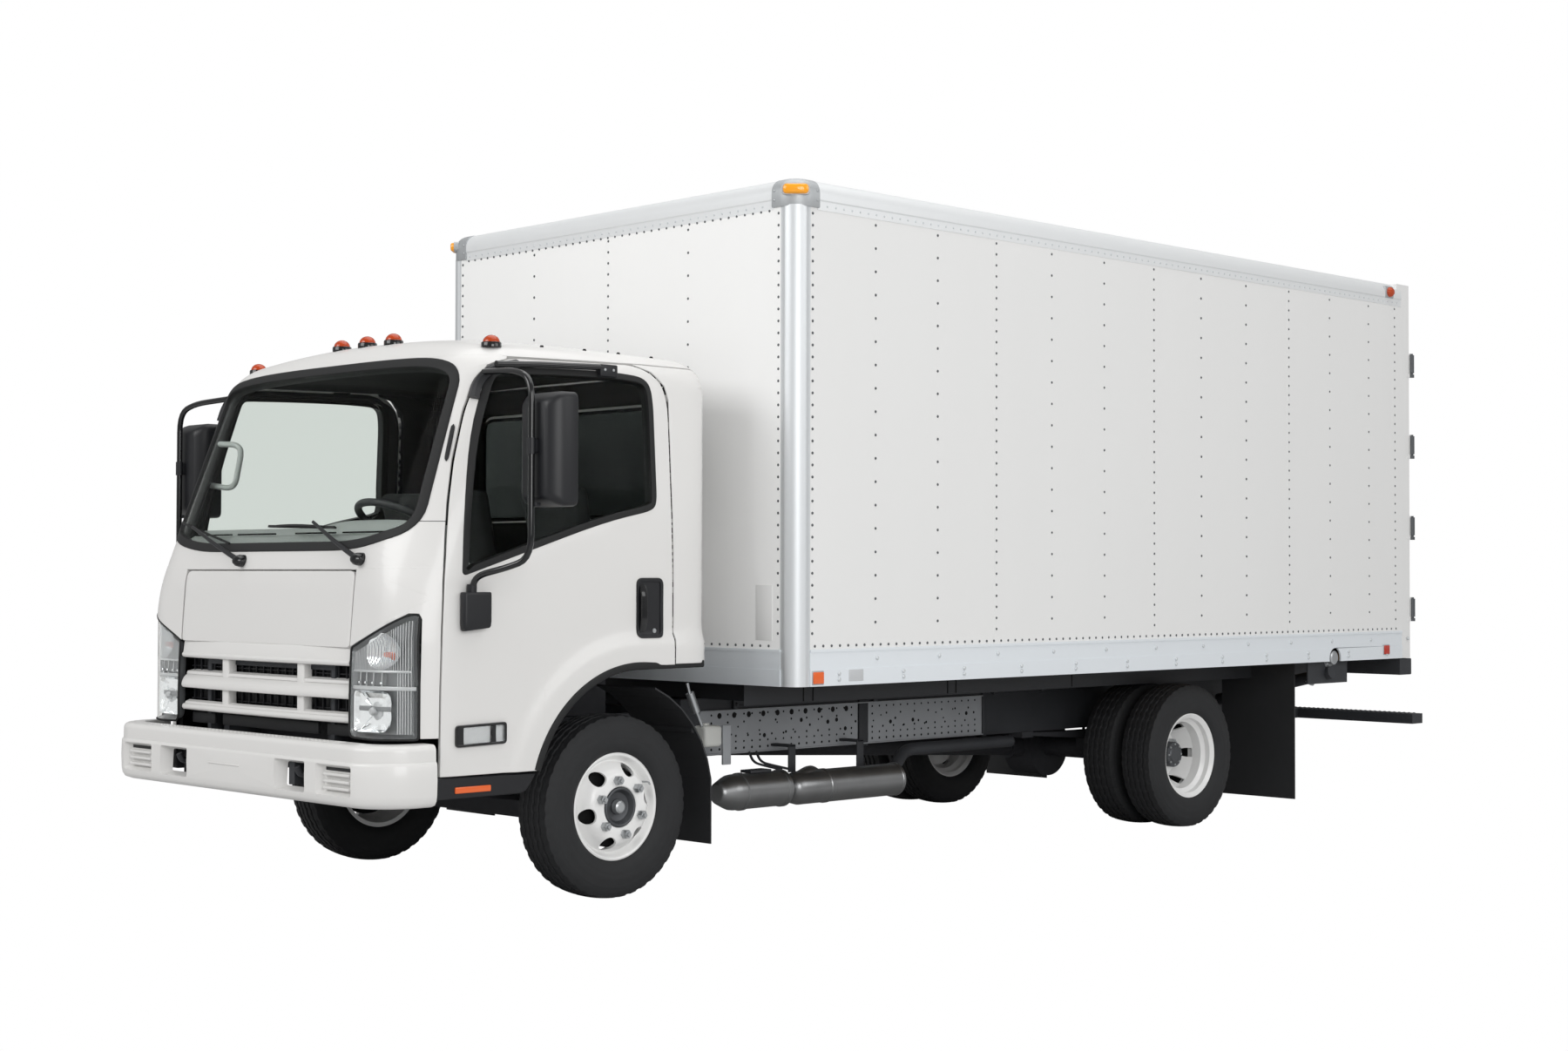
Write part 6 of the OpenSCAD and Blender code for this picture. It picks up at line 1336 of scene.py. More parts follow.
def build_headlamps():
    """Two-storey headlamps: fluted indicator above, faceted reflector below, under one clear lens."""
    o = dense(loop(LAMP, LAMP_R, 5), 0.02)
    c = np.array([0.81, 0.88])
    both("lamp_lens", panel(front_flat(o), flat(skin_front(c[:1], c[1:]))[0], None, 16, -0.003, edge=0.004,
                            step=120, thick=0.003), "lens", CAB_BOTH, (("headlamps",), ()))
    both("lamp_bucket", dish(o, c, [(1.012, 0.002), (1.0, 0.006), (0.97, 0.014), (0.94, 0.034), (0.9, 0.042),
                                    (0.5, 0.044), (0.02, 0.044)]), "bezel", CAB_BOTH, closed=False)
    both("lamp_gasket", bead(skin_front(*o.T), 0.0045, -0.002), "rubber", CAB_BOTH)

    # Fluting: upright half-round ribs across the indicator and down the outer edge
    def top(x):
        """Upper edge of the lamp at x."""
        return np.interp(x, [0.642, 0.74, 0.86, 0.925, 0.956], [1.024, 1.064, 1.112, 1.15, 1.154])

    ribs = []
    for x in row(0.656, 0.944, 0.0085):
        low = 0.952 if x < 0.89 else 0.715
        z = np.linspace(low, top(x) - 0.012, 7)
        p = skin_front(x, z)
        ribs.append(sweep(p - outward(p) * 0.014, ring(0.0018, 6), (1, 0, 0)))
    both("lamp_ribs", join(*ribs), "fluting", CAB_BOTH)

    # Dividing bar, narrow strip with its upright dividers and bright dots
    def bar(x0, x1, z, h, d):
        """Level bar across the lamp, sunk by d."""
        x = np.linspace(x0, x1, 14)
        p = skin_front(x, z)
        return sweep(p - outward(p) * d, [[-0.012, -h], [0.004, -h], [0.006, 0], [0.004, h], [-0.012, h]],
                     (0, 0, 1))

    both("lamp_bars", join(bar(0.652, 0.95, 0.885, 0.007, 0.016), bar(0.652, 0.935, 0.948, 0.004, 0.016)),
         "bezel_light", CAB_BOTH)
    dots, posts = [], []
    for x in (0.682, 0.722, 0.768, 0.82):
        p = skin_front([x], [0.905])
        n = outward(p)
        dots.append(studs(p - n * 0.02, n, 0.006, 0.006, 10))
        z = np.linspace(0.892, 0.944, 4)
        p = skin_front(x, z)
        posts.append(sweep(p - outward(p) * 0.024, ring(0.0035, 6), (1, 0, 0)))
    both("lamp_dots", join(*dots), "chrome", CAB_BOTH)
    both("lamp_posts", join(*posts), "bezel_light", CAB_BOTH)
    # Upper reflector: a round bowl cut off by the sloping edge, with an orange bulb across it
    a = np.linspace(0, 2 * math.pi, 40, endpoint=False)
    m = np.array([0.812, 1.02])
    rim = m + np.stack([0.085 * np.cos(a), np.where(np.sin(a) > 0, 0.07, 0.062) * np.sin(a)], 1)
    both("lamp_upper_bowl", dish(rim, m, [(1.05, 0.018), (1.0, 0.02), (0.85, 0.028), (0.6, 0.036), (0.3, 0.0405),
                                          (0.02, 0.042)]), "chrome", CAB_BOTH, closed=False)
    p = skin_front([0.835], [1.012])
    n = outward(p)[0]
    bulb = revolve([[AXIS, 0.01], [0.007, 0.007], [0.01, 0.0], [0.01, -0.02], [AXIS, -0.02]], [0, 0, 0], 1, 20)
    both("lamp_bulb", to_front(bulb, p[0] - n * BULB_SUNK), "orange", CAB_BOTH)
    # Lower reflector: a squared bowl of flat facets round a capped bulb
    g = loop(corners(0.662, 0.722, 0.868, 0.872), [0.02, 0.05, 0.04, 0.02], 4)
    m = np.array([0.765, 0.797])
    wob = 0.004 * np.sin(np.arange(len(g)) * 2.4)
    q = [(1.04, 0.012), (1.0, 0.016), (0.92, 0.03), (0.66, 0.04), (0.36, 0.0425), (0.15, 0.043)]
    p = np.stack([skin_front(*(m + (g - m) * k).T) for k, _ in q])
    sign = np.where(np.arange(len(q)) % 2, 1, -1)[:, None]
    share = np.array([0, 0, 1, 0.8, 0.3, 0])[:, None]
    depth = np.array([d for _, d in q])[:, None] + sign * wob * share
    both("lamp_lower_bowl", surface(p - outward(p) * depth[..., None], False, True), "chrome", CAB_BOTH,
         closed=False, crease=2)
    p = skin_front(m[:1], m[1:])
    n = outward(p)[0]
    cap = revolve([[AXIS, 0.012], [0.01, 0.01], [0.016, 0.002], [0.017, -0.014], [0.036, -0.02], [0.036, -0.024],
                   [AXIS, -0.024]], [0, 0, 0], 1, 24)
    both("lamp_cap", to_front(cap, p[0] - n * BULB_SUNK), "bezel_light", CAB_BOTH)
    shelf = bar(0.664, 0.862, 0.806, 0.009, 0.034)
    both("lamp_shelf", shelf, "bezel", CAB_BOTH)


MIRROR_X, MIRROR_Y, MIRROR_Z = 1.29, -0.732, 1.78


def build_mirrors():
    """Door mirrors on bent tubes, with brackets, clamp and brace."""
    x, y = MIRROR_X, MIRROR_Y
    pipe = tube([[1.02, -0.8, 1.262], [1.05, -0.8, 1.31], [1.19, -0.775, 1.335], [x, y, 1.372], [x, y, 2.04],
                 [1.18, -0.722, 2.078], [0.94, -0.69, 2.09]], 0.0125, 0.085, 14, (0.3, 0.9, 0.1))
    both("mirror_tube", pipe, "gloss_black", nodes=(("mirror_left",), ("mirror_right",)))
    # Head: shell with a flat glass side facing back and a chamfered front
    hx = x - 0.012
    rows = []
    for d, sx, sz, k in ((-0.056, 0.6, 0.8, 0.03), (-0.05, 0.72, 0.86, 0.03), (-0.016, 0.95, 0.965, 0.03),
                         (0.008, 1.0, 1.0, 0.028), (0.058, 1.0, 1.0, 0.028), (0.066, 0.975, 0.988, 0.028),
                         (0.066, 0.93, 0.967, 0.026), (0.061, 0.925, 0.965, 0.026)):
        o = loop(corners(-0.112 * sx, -0.214 * sz, 0.112 * sx, 0.214 * sz), k, 6)
        rows.append(points(hx + o[:, 0], y + 0.078 + d, MIRROR_Z + o[:, 1]))
    both("mirror_head", surface(np.array(rows), False, True, True), "plastic")
    g = loop(corners(-0.102, -0.203, 0.102, 0.203), 0.022, 6)
    glass = plate(np.stack([hx + g[:, 0], MIRROR_Z + g[:, 1]], 1), 1, y + 0.134, y + 0.1405)
    both("mirror_glass", glass, "mirror")
    clamps = join(revolve([[0.0165, -0.03], [0.0165, 0.03], [0.012, 0.03], [0.012, -0.03]], [x, y, 1.79], 2, 20),
                  slab([x - 0.014, y, 1.765], [x + 0.014, y + 0.035, 1.815], 0.004),
                  slab([x - 0.02, y + 0.004, 1.565], [x + 0.02, y + 0.03, 1.58], 0.003))
    both("mirror_clamps", clamps, "plastic")
    # Lower bracket: a rounded cup on the door
    rows = []
    for z, s in ((1.112, 0.9), (1.118, 0.97), (1.135, 1.0), (1.235, 1.0), (1.243, 0.985), (1.246, 0.93)):
        o = loop(corners(1.0, -0.846, 1.04, -0.716), 0.016, 5)
        cc = np.array([1.01, -0.781])
        o = cc + (o - cc) * [s, s]
        drop = 0.1 * (o[:, 1] + 0.716) * (z < 1.13)
        rows.append(np.stack([o[:, 0], o[:, 1], z + drop], 1))
    both("mirror_bracket", surface(np.array(rows), False, True, True), "plastic")
    neck = tube([[1.018, -0.8, 1.236], [1.02, -0.8, 1.275]], 0.019, 0, 14, (1, 0, 0))
    both("mirror_neck", neck, "plastic")

    # Upper shoe hugging the window's front corner, long brace and its end block
    def on_side(yz, lift):
        """Points [y, z] standing off the left side by lift."""
        p = skin_side(*np.array(yz).T)
        return p + outward(p) * lift

    shoe = sweep(bent(on_side([[-0.722, 1.985], [-0.704, 2.045], [-0.655, 2.1], [-0.545, 2.122]], 0.012), 0.05),
                 [[-0.018, -0.02], [0.018, -0.02], [0.021, 0.0], [0.012, 0.014], [-0.012, 0.014], [-0.021, 0.0]],
                 (1, 0, 0.2))
    both("mirror_shoe", shoe, "plastic")
    path = np.vstack([on_side([[-0.64, 2.108]], 0.03), on_side([[-0.45, 2.124], [-0.13, 2.134]], 0.022)])
    both("mirror_brace", sweep(path, ring(0.013, 12), (1, 0, 0.2)), "gloss_black")
    p = on_side([[-0.098, 2.13]], 0.0)[0]
    both("mirror_block", slab(p + [-0.016, -0.045, -0.024], p + [0.03, 0.045, 0.026], 0.006), "plastic")
    bolts = np.array([p + [0.03, -0.022, 0.004], p + [0.03, 0.022, 0.004]])
    both("mirror_bolts", studs(bolts, LEFT, 0.006, 0.003), "zinc")


def build_wipers():
    """Wiper arms from their pivots to blades lying low on the screen."""
    arms, blades, caps = [], [], []
    for pivot, tip, a, b in (((-0.2, 1.366), (-0.64, 1.5), (-0.8, 1.532), (-0.33, 1.436)),
                             ((0.655, 1.37), (0.285, 1.508), (-0.07, 1.503), (0.42, 1.492))):
        line = np.linspace(pivot, tip, 9)
        lift = 0.03 + 0.01 * np.sin(np.linspace(0, math.pi, 9))
        q = skin_front(*line.T)
        path = q + outward(q) * lift[:, None]
        w = np.linspace(1.25, 0.75, 9)[:, None, None]
        n = outward(q)
        t = np.gradient(path, axis=0)
        t /= np.linalg.norm(t, axis=1, keepdims=True)
        side = np.cross(t, n)
        prof = np.array([[-0.008, -0.004], [0.008, -0.004], [0.008, 0.002], [0.004, 0.005], [-0.004, 0.005],
                         [-0.008, 0.002]])
        pts = path[:, None] + w * (side[:, None] * prof[None, :, :1] + n[:, None] * prof[None, :, 1:])
        arms.append(surface(pts, False, True, True))
        edge = np.linspace(a, b, 15)
        s = skin_front(*edge.T)
        ns = outward(s)
        blades.append(sweep(s + ns * 0.01, [[-0.003, -0.01], [0.003, -0.01], [0.005, 0.001], [-0.005, 0.001]], ns))
        spine = np.linspace(np.asarray(a) * 0.86 + np.asarray(b) * 0.14, np.asarray(b) * 0.86 + np.asarray(a)
                            * 0.14, 11)
        s = skin_front(*spine.T)
        ns = outward(s)
        blades.append(sweep(s + ns * (0.014 + 0.012 * np.sin(np.linspace(0, math.pi, 11)))[:, None],
                            corners(-0.004, -0.002, 0.004, 0.002), ns))
        q0 = skin_front(np.array([pivot[0]]), np.array([pivot[1]]))[0]
        dome = revolve([[AXIS, 0.046], [0.012, 0.044], [0.021, 0.034], [0.025, 0.018], [0.025, -0.01],
                        [AXIS, -0.01]], [0, 0, 0], 1, 28)
        caps.append(to_front(dome, q0))
    piece("wiper_arms", join(*arms), "plastic", "cab", ("wipers",))
    piece("wiper_blades", join(*blades), "rubber", "cab")
    piece("wiper_pivots", join(*caps), "gloss_black", "cab")


def build_trim():
    """Roof lamps, roof studs, sills with reflectors and the pillars' slot grips."""
    lamps, feet = [], []
    for x in (-0.853, -0.19, 0.0, 0.19, 0.853):
        p = skin_top([x], [-0.59])[0] + [0, 0, 0.008]
        a = np.linspace(0, math.pi / 2, 8)
        dome = np.vstack([np.stack([0.034 * np.cos(a[::-1]) + AXIS, 0.006 + 0.03 * np.sin(a[::-1])], 1),
                          [[0.034, -0.008], [AXIS, -0.008]]])
        lamps.append(revolve(dome, p, 2, 32))
        feet.append(revolve([[AXIS, 0.007], [0.038, 0.007], [0.04, 0.003], [0.04, -0.012], [AXIS, -0.012]], p, 2,
                            32))
    piece("roof_domes", join(*lamps), "dome", "cab", ("roof_lamps",))
    piece("roof_lamp_feet", join(*feet), "gloss_black", "cab")
    y = np.array([-0.52, -0.3, -0.08, 0.1, 0.28])
    p = skin_top(0.8, y)
    spots = np.vstack([p, p * [-1, 1, 1]])
    piece("roof_studs", studs(spots, outward(spots), 0.008, 0.01, 10), "rubber", "cab")
    # Sill under the door with an amber reflector let into it
    o = loop([[-0.955, 0.47], [-0.52, 0.47], [-0.47, 0.545], [-0.955, 0.552]], [0.012, 0.03, 0.01, 0.006], 4)
    both("sill", plate(o, 0, 0.9, 0.994, 0.004), "plastic", CAB_BOTH, (("cab_sills",), ()))
    both("sill_reflector", slab([0.99, -0.856, 0.489], [1.0, -0.69, 0.513], 0.004), "orange", CAB_BOTH)
    # Slot grip beside the screen: a dark lozenge that paints the shade of the slot's opening
    z = np.linspace(1.742, 1.886, 17)
    edge = on_door(DOOR_FRONT)
    p = skin_side(np.interp(z, edge[:, 1], edge[:, 0]) - 0.014, z)
    o = loop(corners(-0.0085, -0.006, 0.0085, 0.006), 0.005, 4)
    k = np.sqrt(np.clip(1 - (np.abs(np.linspace(-1, 1, 17)) ** 8), 0.02, 1))
    n = outward(p)
    side = np.cross(n, np.gradient(p, axis=0))
    side /= np.linalg.norm(side, axis=1, keepdims=True)
    shape = o[None] * k[:, None, None]
    slot = p[:, None] + side[:, None] * shape[..., :1] + n[:, None] * (shape[..., 1:] + 0.002)
    both("pillar_slot", surface(slot, False, True, True), "mesh", CAB_BOTH)


# Outer face of the frame rails and heights of their perforated sides
FRAME_X, FRAME_SIDE_Z = 0.425, (0.502, 0.697)
FILLER_Y = 4.904
CLAMP_Y = (1.1, 2.03, 2.93, 3.32, 4.3)


def build_chassis():
    """Perforated frame sides, exhaust, long sills, bracket with its reservoir, filler, spring clips and step."""
    x, (z0, z1) = FRAME_X, FRAME_SIDE_Z
    panels = [plate(corners(a, z0, b, z1), 0, x - 0.003, x + 0.004, 0.001)
              for a, b in ((0.9, 1.928), (2.002, 2.85))]
    lips = [slab([x - 0.01, 0.9, z], [x + 0.012, 2.85, z + 0.006], 0.002) for z in (z0 - 0.004, z1 - 0.003)]
    piece("rail_sides", mirrored(join(*panels, *lips)), "perforated")
    joint = join(slab([x - 0.002, 1.934, z0 - 0.012], [x + 0.01, 1.996, z1 + 0.014], 0.003),
                 slab([x - 0.002, 2.846, z0 - 0.012], [x + 0.012, 2.874, z1 + 0.03], 0.003))
    piece("rail_joints", mirrored(joint), "frame")
    # Holes, drawn as near-black discs of painted shade: rows near both edges, a seeded scatter between them and
    # slanted slots under the top edge
    rng = np.random.default_rng(7)
    spots, sizes = [], []

    def both_runs(pitch):
        """Places along both perforated lengths."""
        return np.concatenate([row(0.97, 1.91, pitch), row(2.03, 2.83, pitch)])

    for z, pitch, r in ((z1 - 0.02, CLOSE_PITCH, 0.0055), (z1 - 0.056, WIDE_PITCH, 0.006),
                        (z0 + 0.076, 0.0762, 0.006), (z0 + 0.05, CLOSE_PITCH, 0.0055),
                        (z0 + 0.02, CLOSE_PITCH, 0.0065)):
        y = both_runs(pitch)
        spots.append(points(x + 0.004, y, z))
        sizes.append(np.full(len(y), r))
    y = both_runs(0.058)
    spots.append(points(x + 0.004, y + rng.uniform(-0.015, 0.015, len(y)),
                        0.606 + rng.uniform(-0.034, 0.034, len(y))))
    sizes.append(rng.choice([0.005, 0.007, 0.011], len(y), p=[0.45, 0.35, 0.2]))
    y = row(1.02, 1.88, 0.092)
    spots.append(points(x + 0.004, y, z1 - 0.024))
    sizes.append(np.full(len(y), 0.0145))
    spots, sizes = np.vstack(spots), np.concatenate(sizes)
    holes = [studs(spots[sizes == r], LEFT, r, 0.0005, 8) for r in np.unique(sizes)]
    piece("rail_holes", mirrored(join(*holes)), "void")
    clamps = [slab([x - 0.004, y, 0.7], [x + 0.016, y + 0.03, 0.82], 0.003) for y in CLAMP_Y]
    piece("sill_clamps", mirrored(join(*clamps)), "frame")
    bolts = np.array([[x + 0.016, y + 0.015, z] for y in CLAMP_Y for z in (0.722, 0.762)])
    piece("clamp_bolts", mirrored(studs(bolts, LEFT, 0.009, 0.007, 6)), "iron")
    # Exhaust: nosed can with clamp bands, neck, rolled muffler and tail pipe, each a turned profile
    ex = 0.6
    can = [[AXIS, 0.842], [0.04, 0.842], [0.048, 0.848], [0.054, 0.86], [0.072, 0.9], [0.0775, 0.915],
           [0.08, 0.935], [0.08, 0.968], [0.0845, 0.972], [0.0845, 0.99], [0.08, 0.994], [0.08, 1.222],
           [0.0845, 1.226], [0.0845, 1.244], [0.079, 1.25], [0.064, 1.268], [0.05, 1.28], [AXIS, 1.282]]
    muffler = [[AXIS, 1.276], [0.03, 1.28], [0.054, 1.292], [0.069, 1.312], [0.0765, 1.342], [0.0765, 1.5],
               [0.0795, 1.504], [0.0795, 1.522], [0.0765, 1.526], [0.0765, 1.984], [0.0795, 1.988], [0.0795, 2.0],
               [0.07, 2.006], [AXIS, 2.008]]
    neck = tube([[ex, 1.27, 0.35], [ex + 0.01, 1.36, 0.385], [ex - 0.01, 1.44, 0.405], [ex - 0.04, 1.5, 0.385]],
                0.034, 0.06, 18, (1, 0, 0))
    piece("exhaust_cans", join(revolve(can, [ex, 0, 0.3455], 1, 56), revolve(muffler, [ex, 0, 0.338], 1, 56), neck),
          "steel", replaces=("exhaust",))
    hangers = [join(slab([ex - 0.06, y, 0.405], [ex - 0.052, y + 0.045, 0.53], 0.002),
                    slab([x - 0.004, y, 0.52], [ex - 0.052, y + 0.045, 0.532], 0.003)) for y in (1.345, 1.8)]
    tail = tube([[ex - 0.02, 1.995, 0.355], [ex - 0.05, 2.07, 0.4], [0.5, 2.18, 0.462], [0.49, 3.0, 0.462]], 0.03,
                0.08, 16, (1, 0, 0))
    loops = [tube([[x + 0.01, 1.2 + d, 0.5], [x + 0.05, 1.19 + d, 0.455], [x + 0.09, 1.23 + d, 0.44],
                   [ex - 0.02, 1.27 + d, 0.425]], 0.006, 0.03, 8, (0, 1, 0)) for d in (0.0, 0.045)]
    piece("exhaust_hangers", join(*hangers, tail, *loops), "frame")
    piece("exhaust_shield", slab([ex - 0.05, 1.035, 0.424], [ex + 0.02, 1.165, 0.437], 0.003), "frame")
    # Long sill that closes the ends of the floor's cross-beams
    start, stop, out = 0.8, 5.48, 0.8235
    sill = join(slab([0.819, start, 0.748], [out, stop, 0.8415], 0.001),
                slab([0.79, start, 0.744], [out, stop, 0.7495], 0.001))
    seams = [slab([0.8225, y, 0.75], [0.826, y + 0.006, 0.84], 0.001, 2) for y in (1.16, 1.22, 2.13, 2.19, 3.08)]
    piece("long_sills", mirrored(sill), "frame")
    piece("sill_seams", mirrored(join(*seams)), "void")
    # Bracket behind the left front wheel with a clear reservoir, and a damper stay
    piece("bracket", join(slab([0.69, 0.79, 0.482], [0.702, 0.838, 0.655], 0.003),
                          slab([0.42, 0.802, 0.6], [0.695, 0.828, 0.622], 0.003)), "perforated")
    piece("reservoir", join(slab([0.615, 0.685, 0.562], [0.7, 0.789, 0.655], 0.016),
                            revolve([[AXIS, 0.012], [0.017, 0.012], [0.019, 0.0], [AXIS, 0.0]], [0.64, 0.74, 0.652],
                                    2, 20)), "clear")
    piece("stay", join(tube([[0.668, 0.662, 0.715], [0.66, 0.63, 0.8]], 0.019, 0, 16, (1, 0, 0)),
                       tube([[0.672, 0.69, 0.655], [0.668, 0.662, 0.72]], 0.008, 0, 10, (1, 0, 0)),
                       tube([[0.66, 0.63, 0.795], [0.656, 0.618, 0.842]], 0.007, 0, 10, (1, 0, 0))), "zinc")
    # Filler neck in the rail's notch
    hw = BODY_HW
    piece("filler", tube([[hw - 0.16, FILLER_Y, 0.72], [hw - 0.1, FILLER_Y, 0.8], [hw - 0.012, FILLER_Y, 0.858]],
                         0.03, 0.05, 20, (0, 1, 0)), "zinc")
    cap = revolve([[AXIS, 0.016], [0.03, 0.016], [0.038, 0.01], [0.04, 0.0], [0.04, -0.012], [AXIS, -0.012]],
                  [hw - 0.01, FILLER_Y, 0.862], 0, 28)
    piece("filler_cap", cap, "zinc")
    # Spring clips over both axles
    clips = []
    for y, zc in ((0.0, 0.47), (WHEELBASE, 0.47)):
        for d in (-0.062, 0.062):
            clips.append(tube([[0.382, y + d, zc - 0.13], [0.382, y + d, zc + 0.03], [0.444, y + d, zc + 0.03],
                               [0.444, y + d, zc - 0.13]], 0.008, 0.02, 10, (0, 1, 0)))
    piece("u_bolts", mirrored(join(*clips)), "iron")
    # Step: raised grip studs along its tread
    sx, y1, zt = near("rear_step", 1, 0), near("rear_step", 1, 1), 0.512
    gx, gy = np.meshgrid(row(-sx + 0.03, sx - 0.03, 0.032), row(y1 - 0.105, y1 - 0.015, 0.03), indexing="ij")
    spots = points(gx.ravel(), gy.ravel(), zt)
    piece("step_grip", studs(spots, UP, 0.009, 0.004, 8), "iron")


SEAL_W, SEAL_Z = 0.012, (0.905, 2.752)


def build_rear():
    """Edge seals of the rear doors; their rods, handles and hinges stay as solids."""
    for s, body, node in ((1, "rear_left_door", "rear_door_left"), (-1, "rear_right_door", "rear_door_right")):
        x0, x1 = sorted((s * 0.012, s * 1.17))
        y = near(node, 0, 1)
        back, out = y - 0.0005, y + 0.01
        bars = [slab([x0, back, z], [x1, out, z + SEAL_W], 0.003) for z in SEAL_Z]
        bars += [slab([x, back, SEAL_Z[0]], [x + SEAL_W, out, SEAL_Z[1] + SEAL_W], 0.003)
                 for x in (x0, x1 - SEAL_W)]
        piece("door_seals_" + body, join(*bars), "rubber", body)


# Cushions: voxel of their mesh, pressure and steps of the cloth, how far they may swell, and their sewn channels
VOXEL, PRESSURE, CLOTH_STEPS, SWELL = 0.014, 4.0, 20, 0.022
CHANNEL_AT, CHANNEL_W, CHANNEL_DEPTH = 0.27, 0.018, 0.007


def cushion(name, lo, hi, tilt=0.0, pivot=(0, 0, 0)):
    """Stuffed pad: a rounded box remeshed, blown up as cloth with its travel capped, then leaned about pivot."""
    obj = raw_object(name, slab(lo, hi, 0.03, 5), 1e-5)
    shrink = obj.modifiers.new("voxels", "REMESH")
    shrink.mode, shrink.voxel_size = "VOXEL", VOXEL
    depsgraph = bpy.context.evaluated_depsgraph_get()
    obj.data = bpy.data.meshes.new_from_object(obj.evaluated_get(depsgraph))
    obj.modifiers.clear()
    n = len(obj.data.vertices)
    rest = np.empty(n * 3)
    obj.data.vertices.foreach_get("co", rest)
    rest = rest.reshape(-1, 3)
    moved = rest
    cloth = obj.modifiers.new("stuffing", "CLOTH")
    cloth.settings.use_pressure = True
    cloth.settings.uniform_pressure_force = PRESSURE
    cloth.settings.effector_weights.gravity = 0.0
    cloth.settings.quality = 4
    scene = bpy.context.scene
    for k in range(1, CLOTH_STEPS + 1):
        scene.frame_set(k)
    done = obj.evaluated_get(bpy.context.evaluated_depsgraph_get()).to_mesh()
    out = np.empty(n * 3)
    done.vertices.foreach_get("co", out)
    move = out.reshape(-1, 3) - rest
    far = np.linalg.norm(move, axis=1, keepdims=True)
    moved = rest + move * np.minimum(1.0, SWELL / np.maximum(far, 1e-9))
    obj.modifiers.clear()
    scene.frame_set(1)
    # Sewn channels: shallow grooves across the pad
    u = (moved[:, 0] - lo[0]) / (hi[0] - lo[0])
    groove = np.exp(-((np.abs(u - 0.5) - CHANNEL_AT) / CHANNEL_W) ** 2)
    lift = moved - (np.asarray(lo) + np.asarray(hi)) / 2
    thin = int(np.argmin(np.asarray(hi) - np.asarray(lo)))
    moved = moved.copy()
    moved[:, thin] -= np.sign(lift[:, thin]) * groove * CHANNEL_DEPTH
    c, s = math.cos(tilt), math.sin(tilt)
    d = moved - np.array(pivot)
    moved = np.stack([d[:, 0], d[:, 1] * c + d[:, 2] * s, d[:, 2] * c - d[:, 1] * s], 1) + pivot + [0, AXLE_Y, 0]
    obj.data.vertices.foreach_set("co", moved.ravel())
    obj.data.polygons.foreach_set("use_smooth", [True] * len(obj.data.polygons))
    obj.data.update()
    obj.data.materials.clear()
    obj.data.materials.append(MATERIALS["cloth"])
    finer = obj.modifiers.new("finer", "SUBSURF")
    finer.levels = finer.render_levels = 1
    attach(obj, "cab")
    return obj


# Seats: name, middle and width
SEATS = (("driver", 0.448, 0.468), ("bench", -0.415, 0.84))


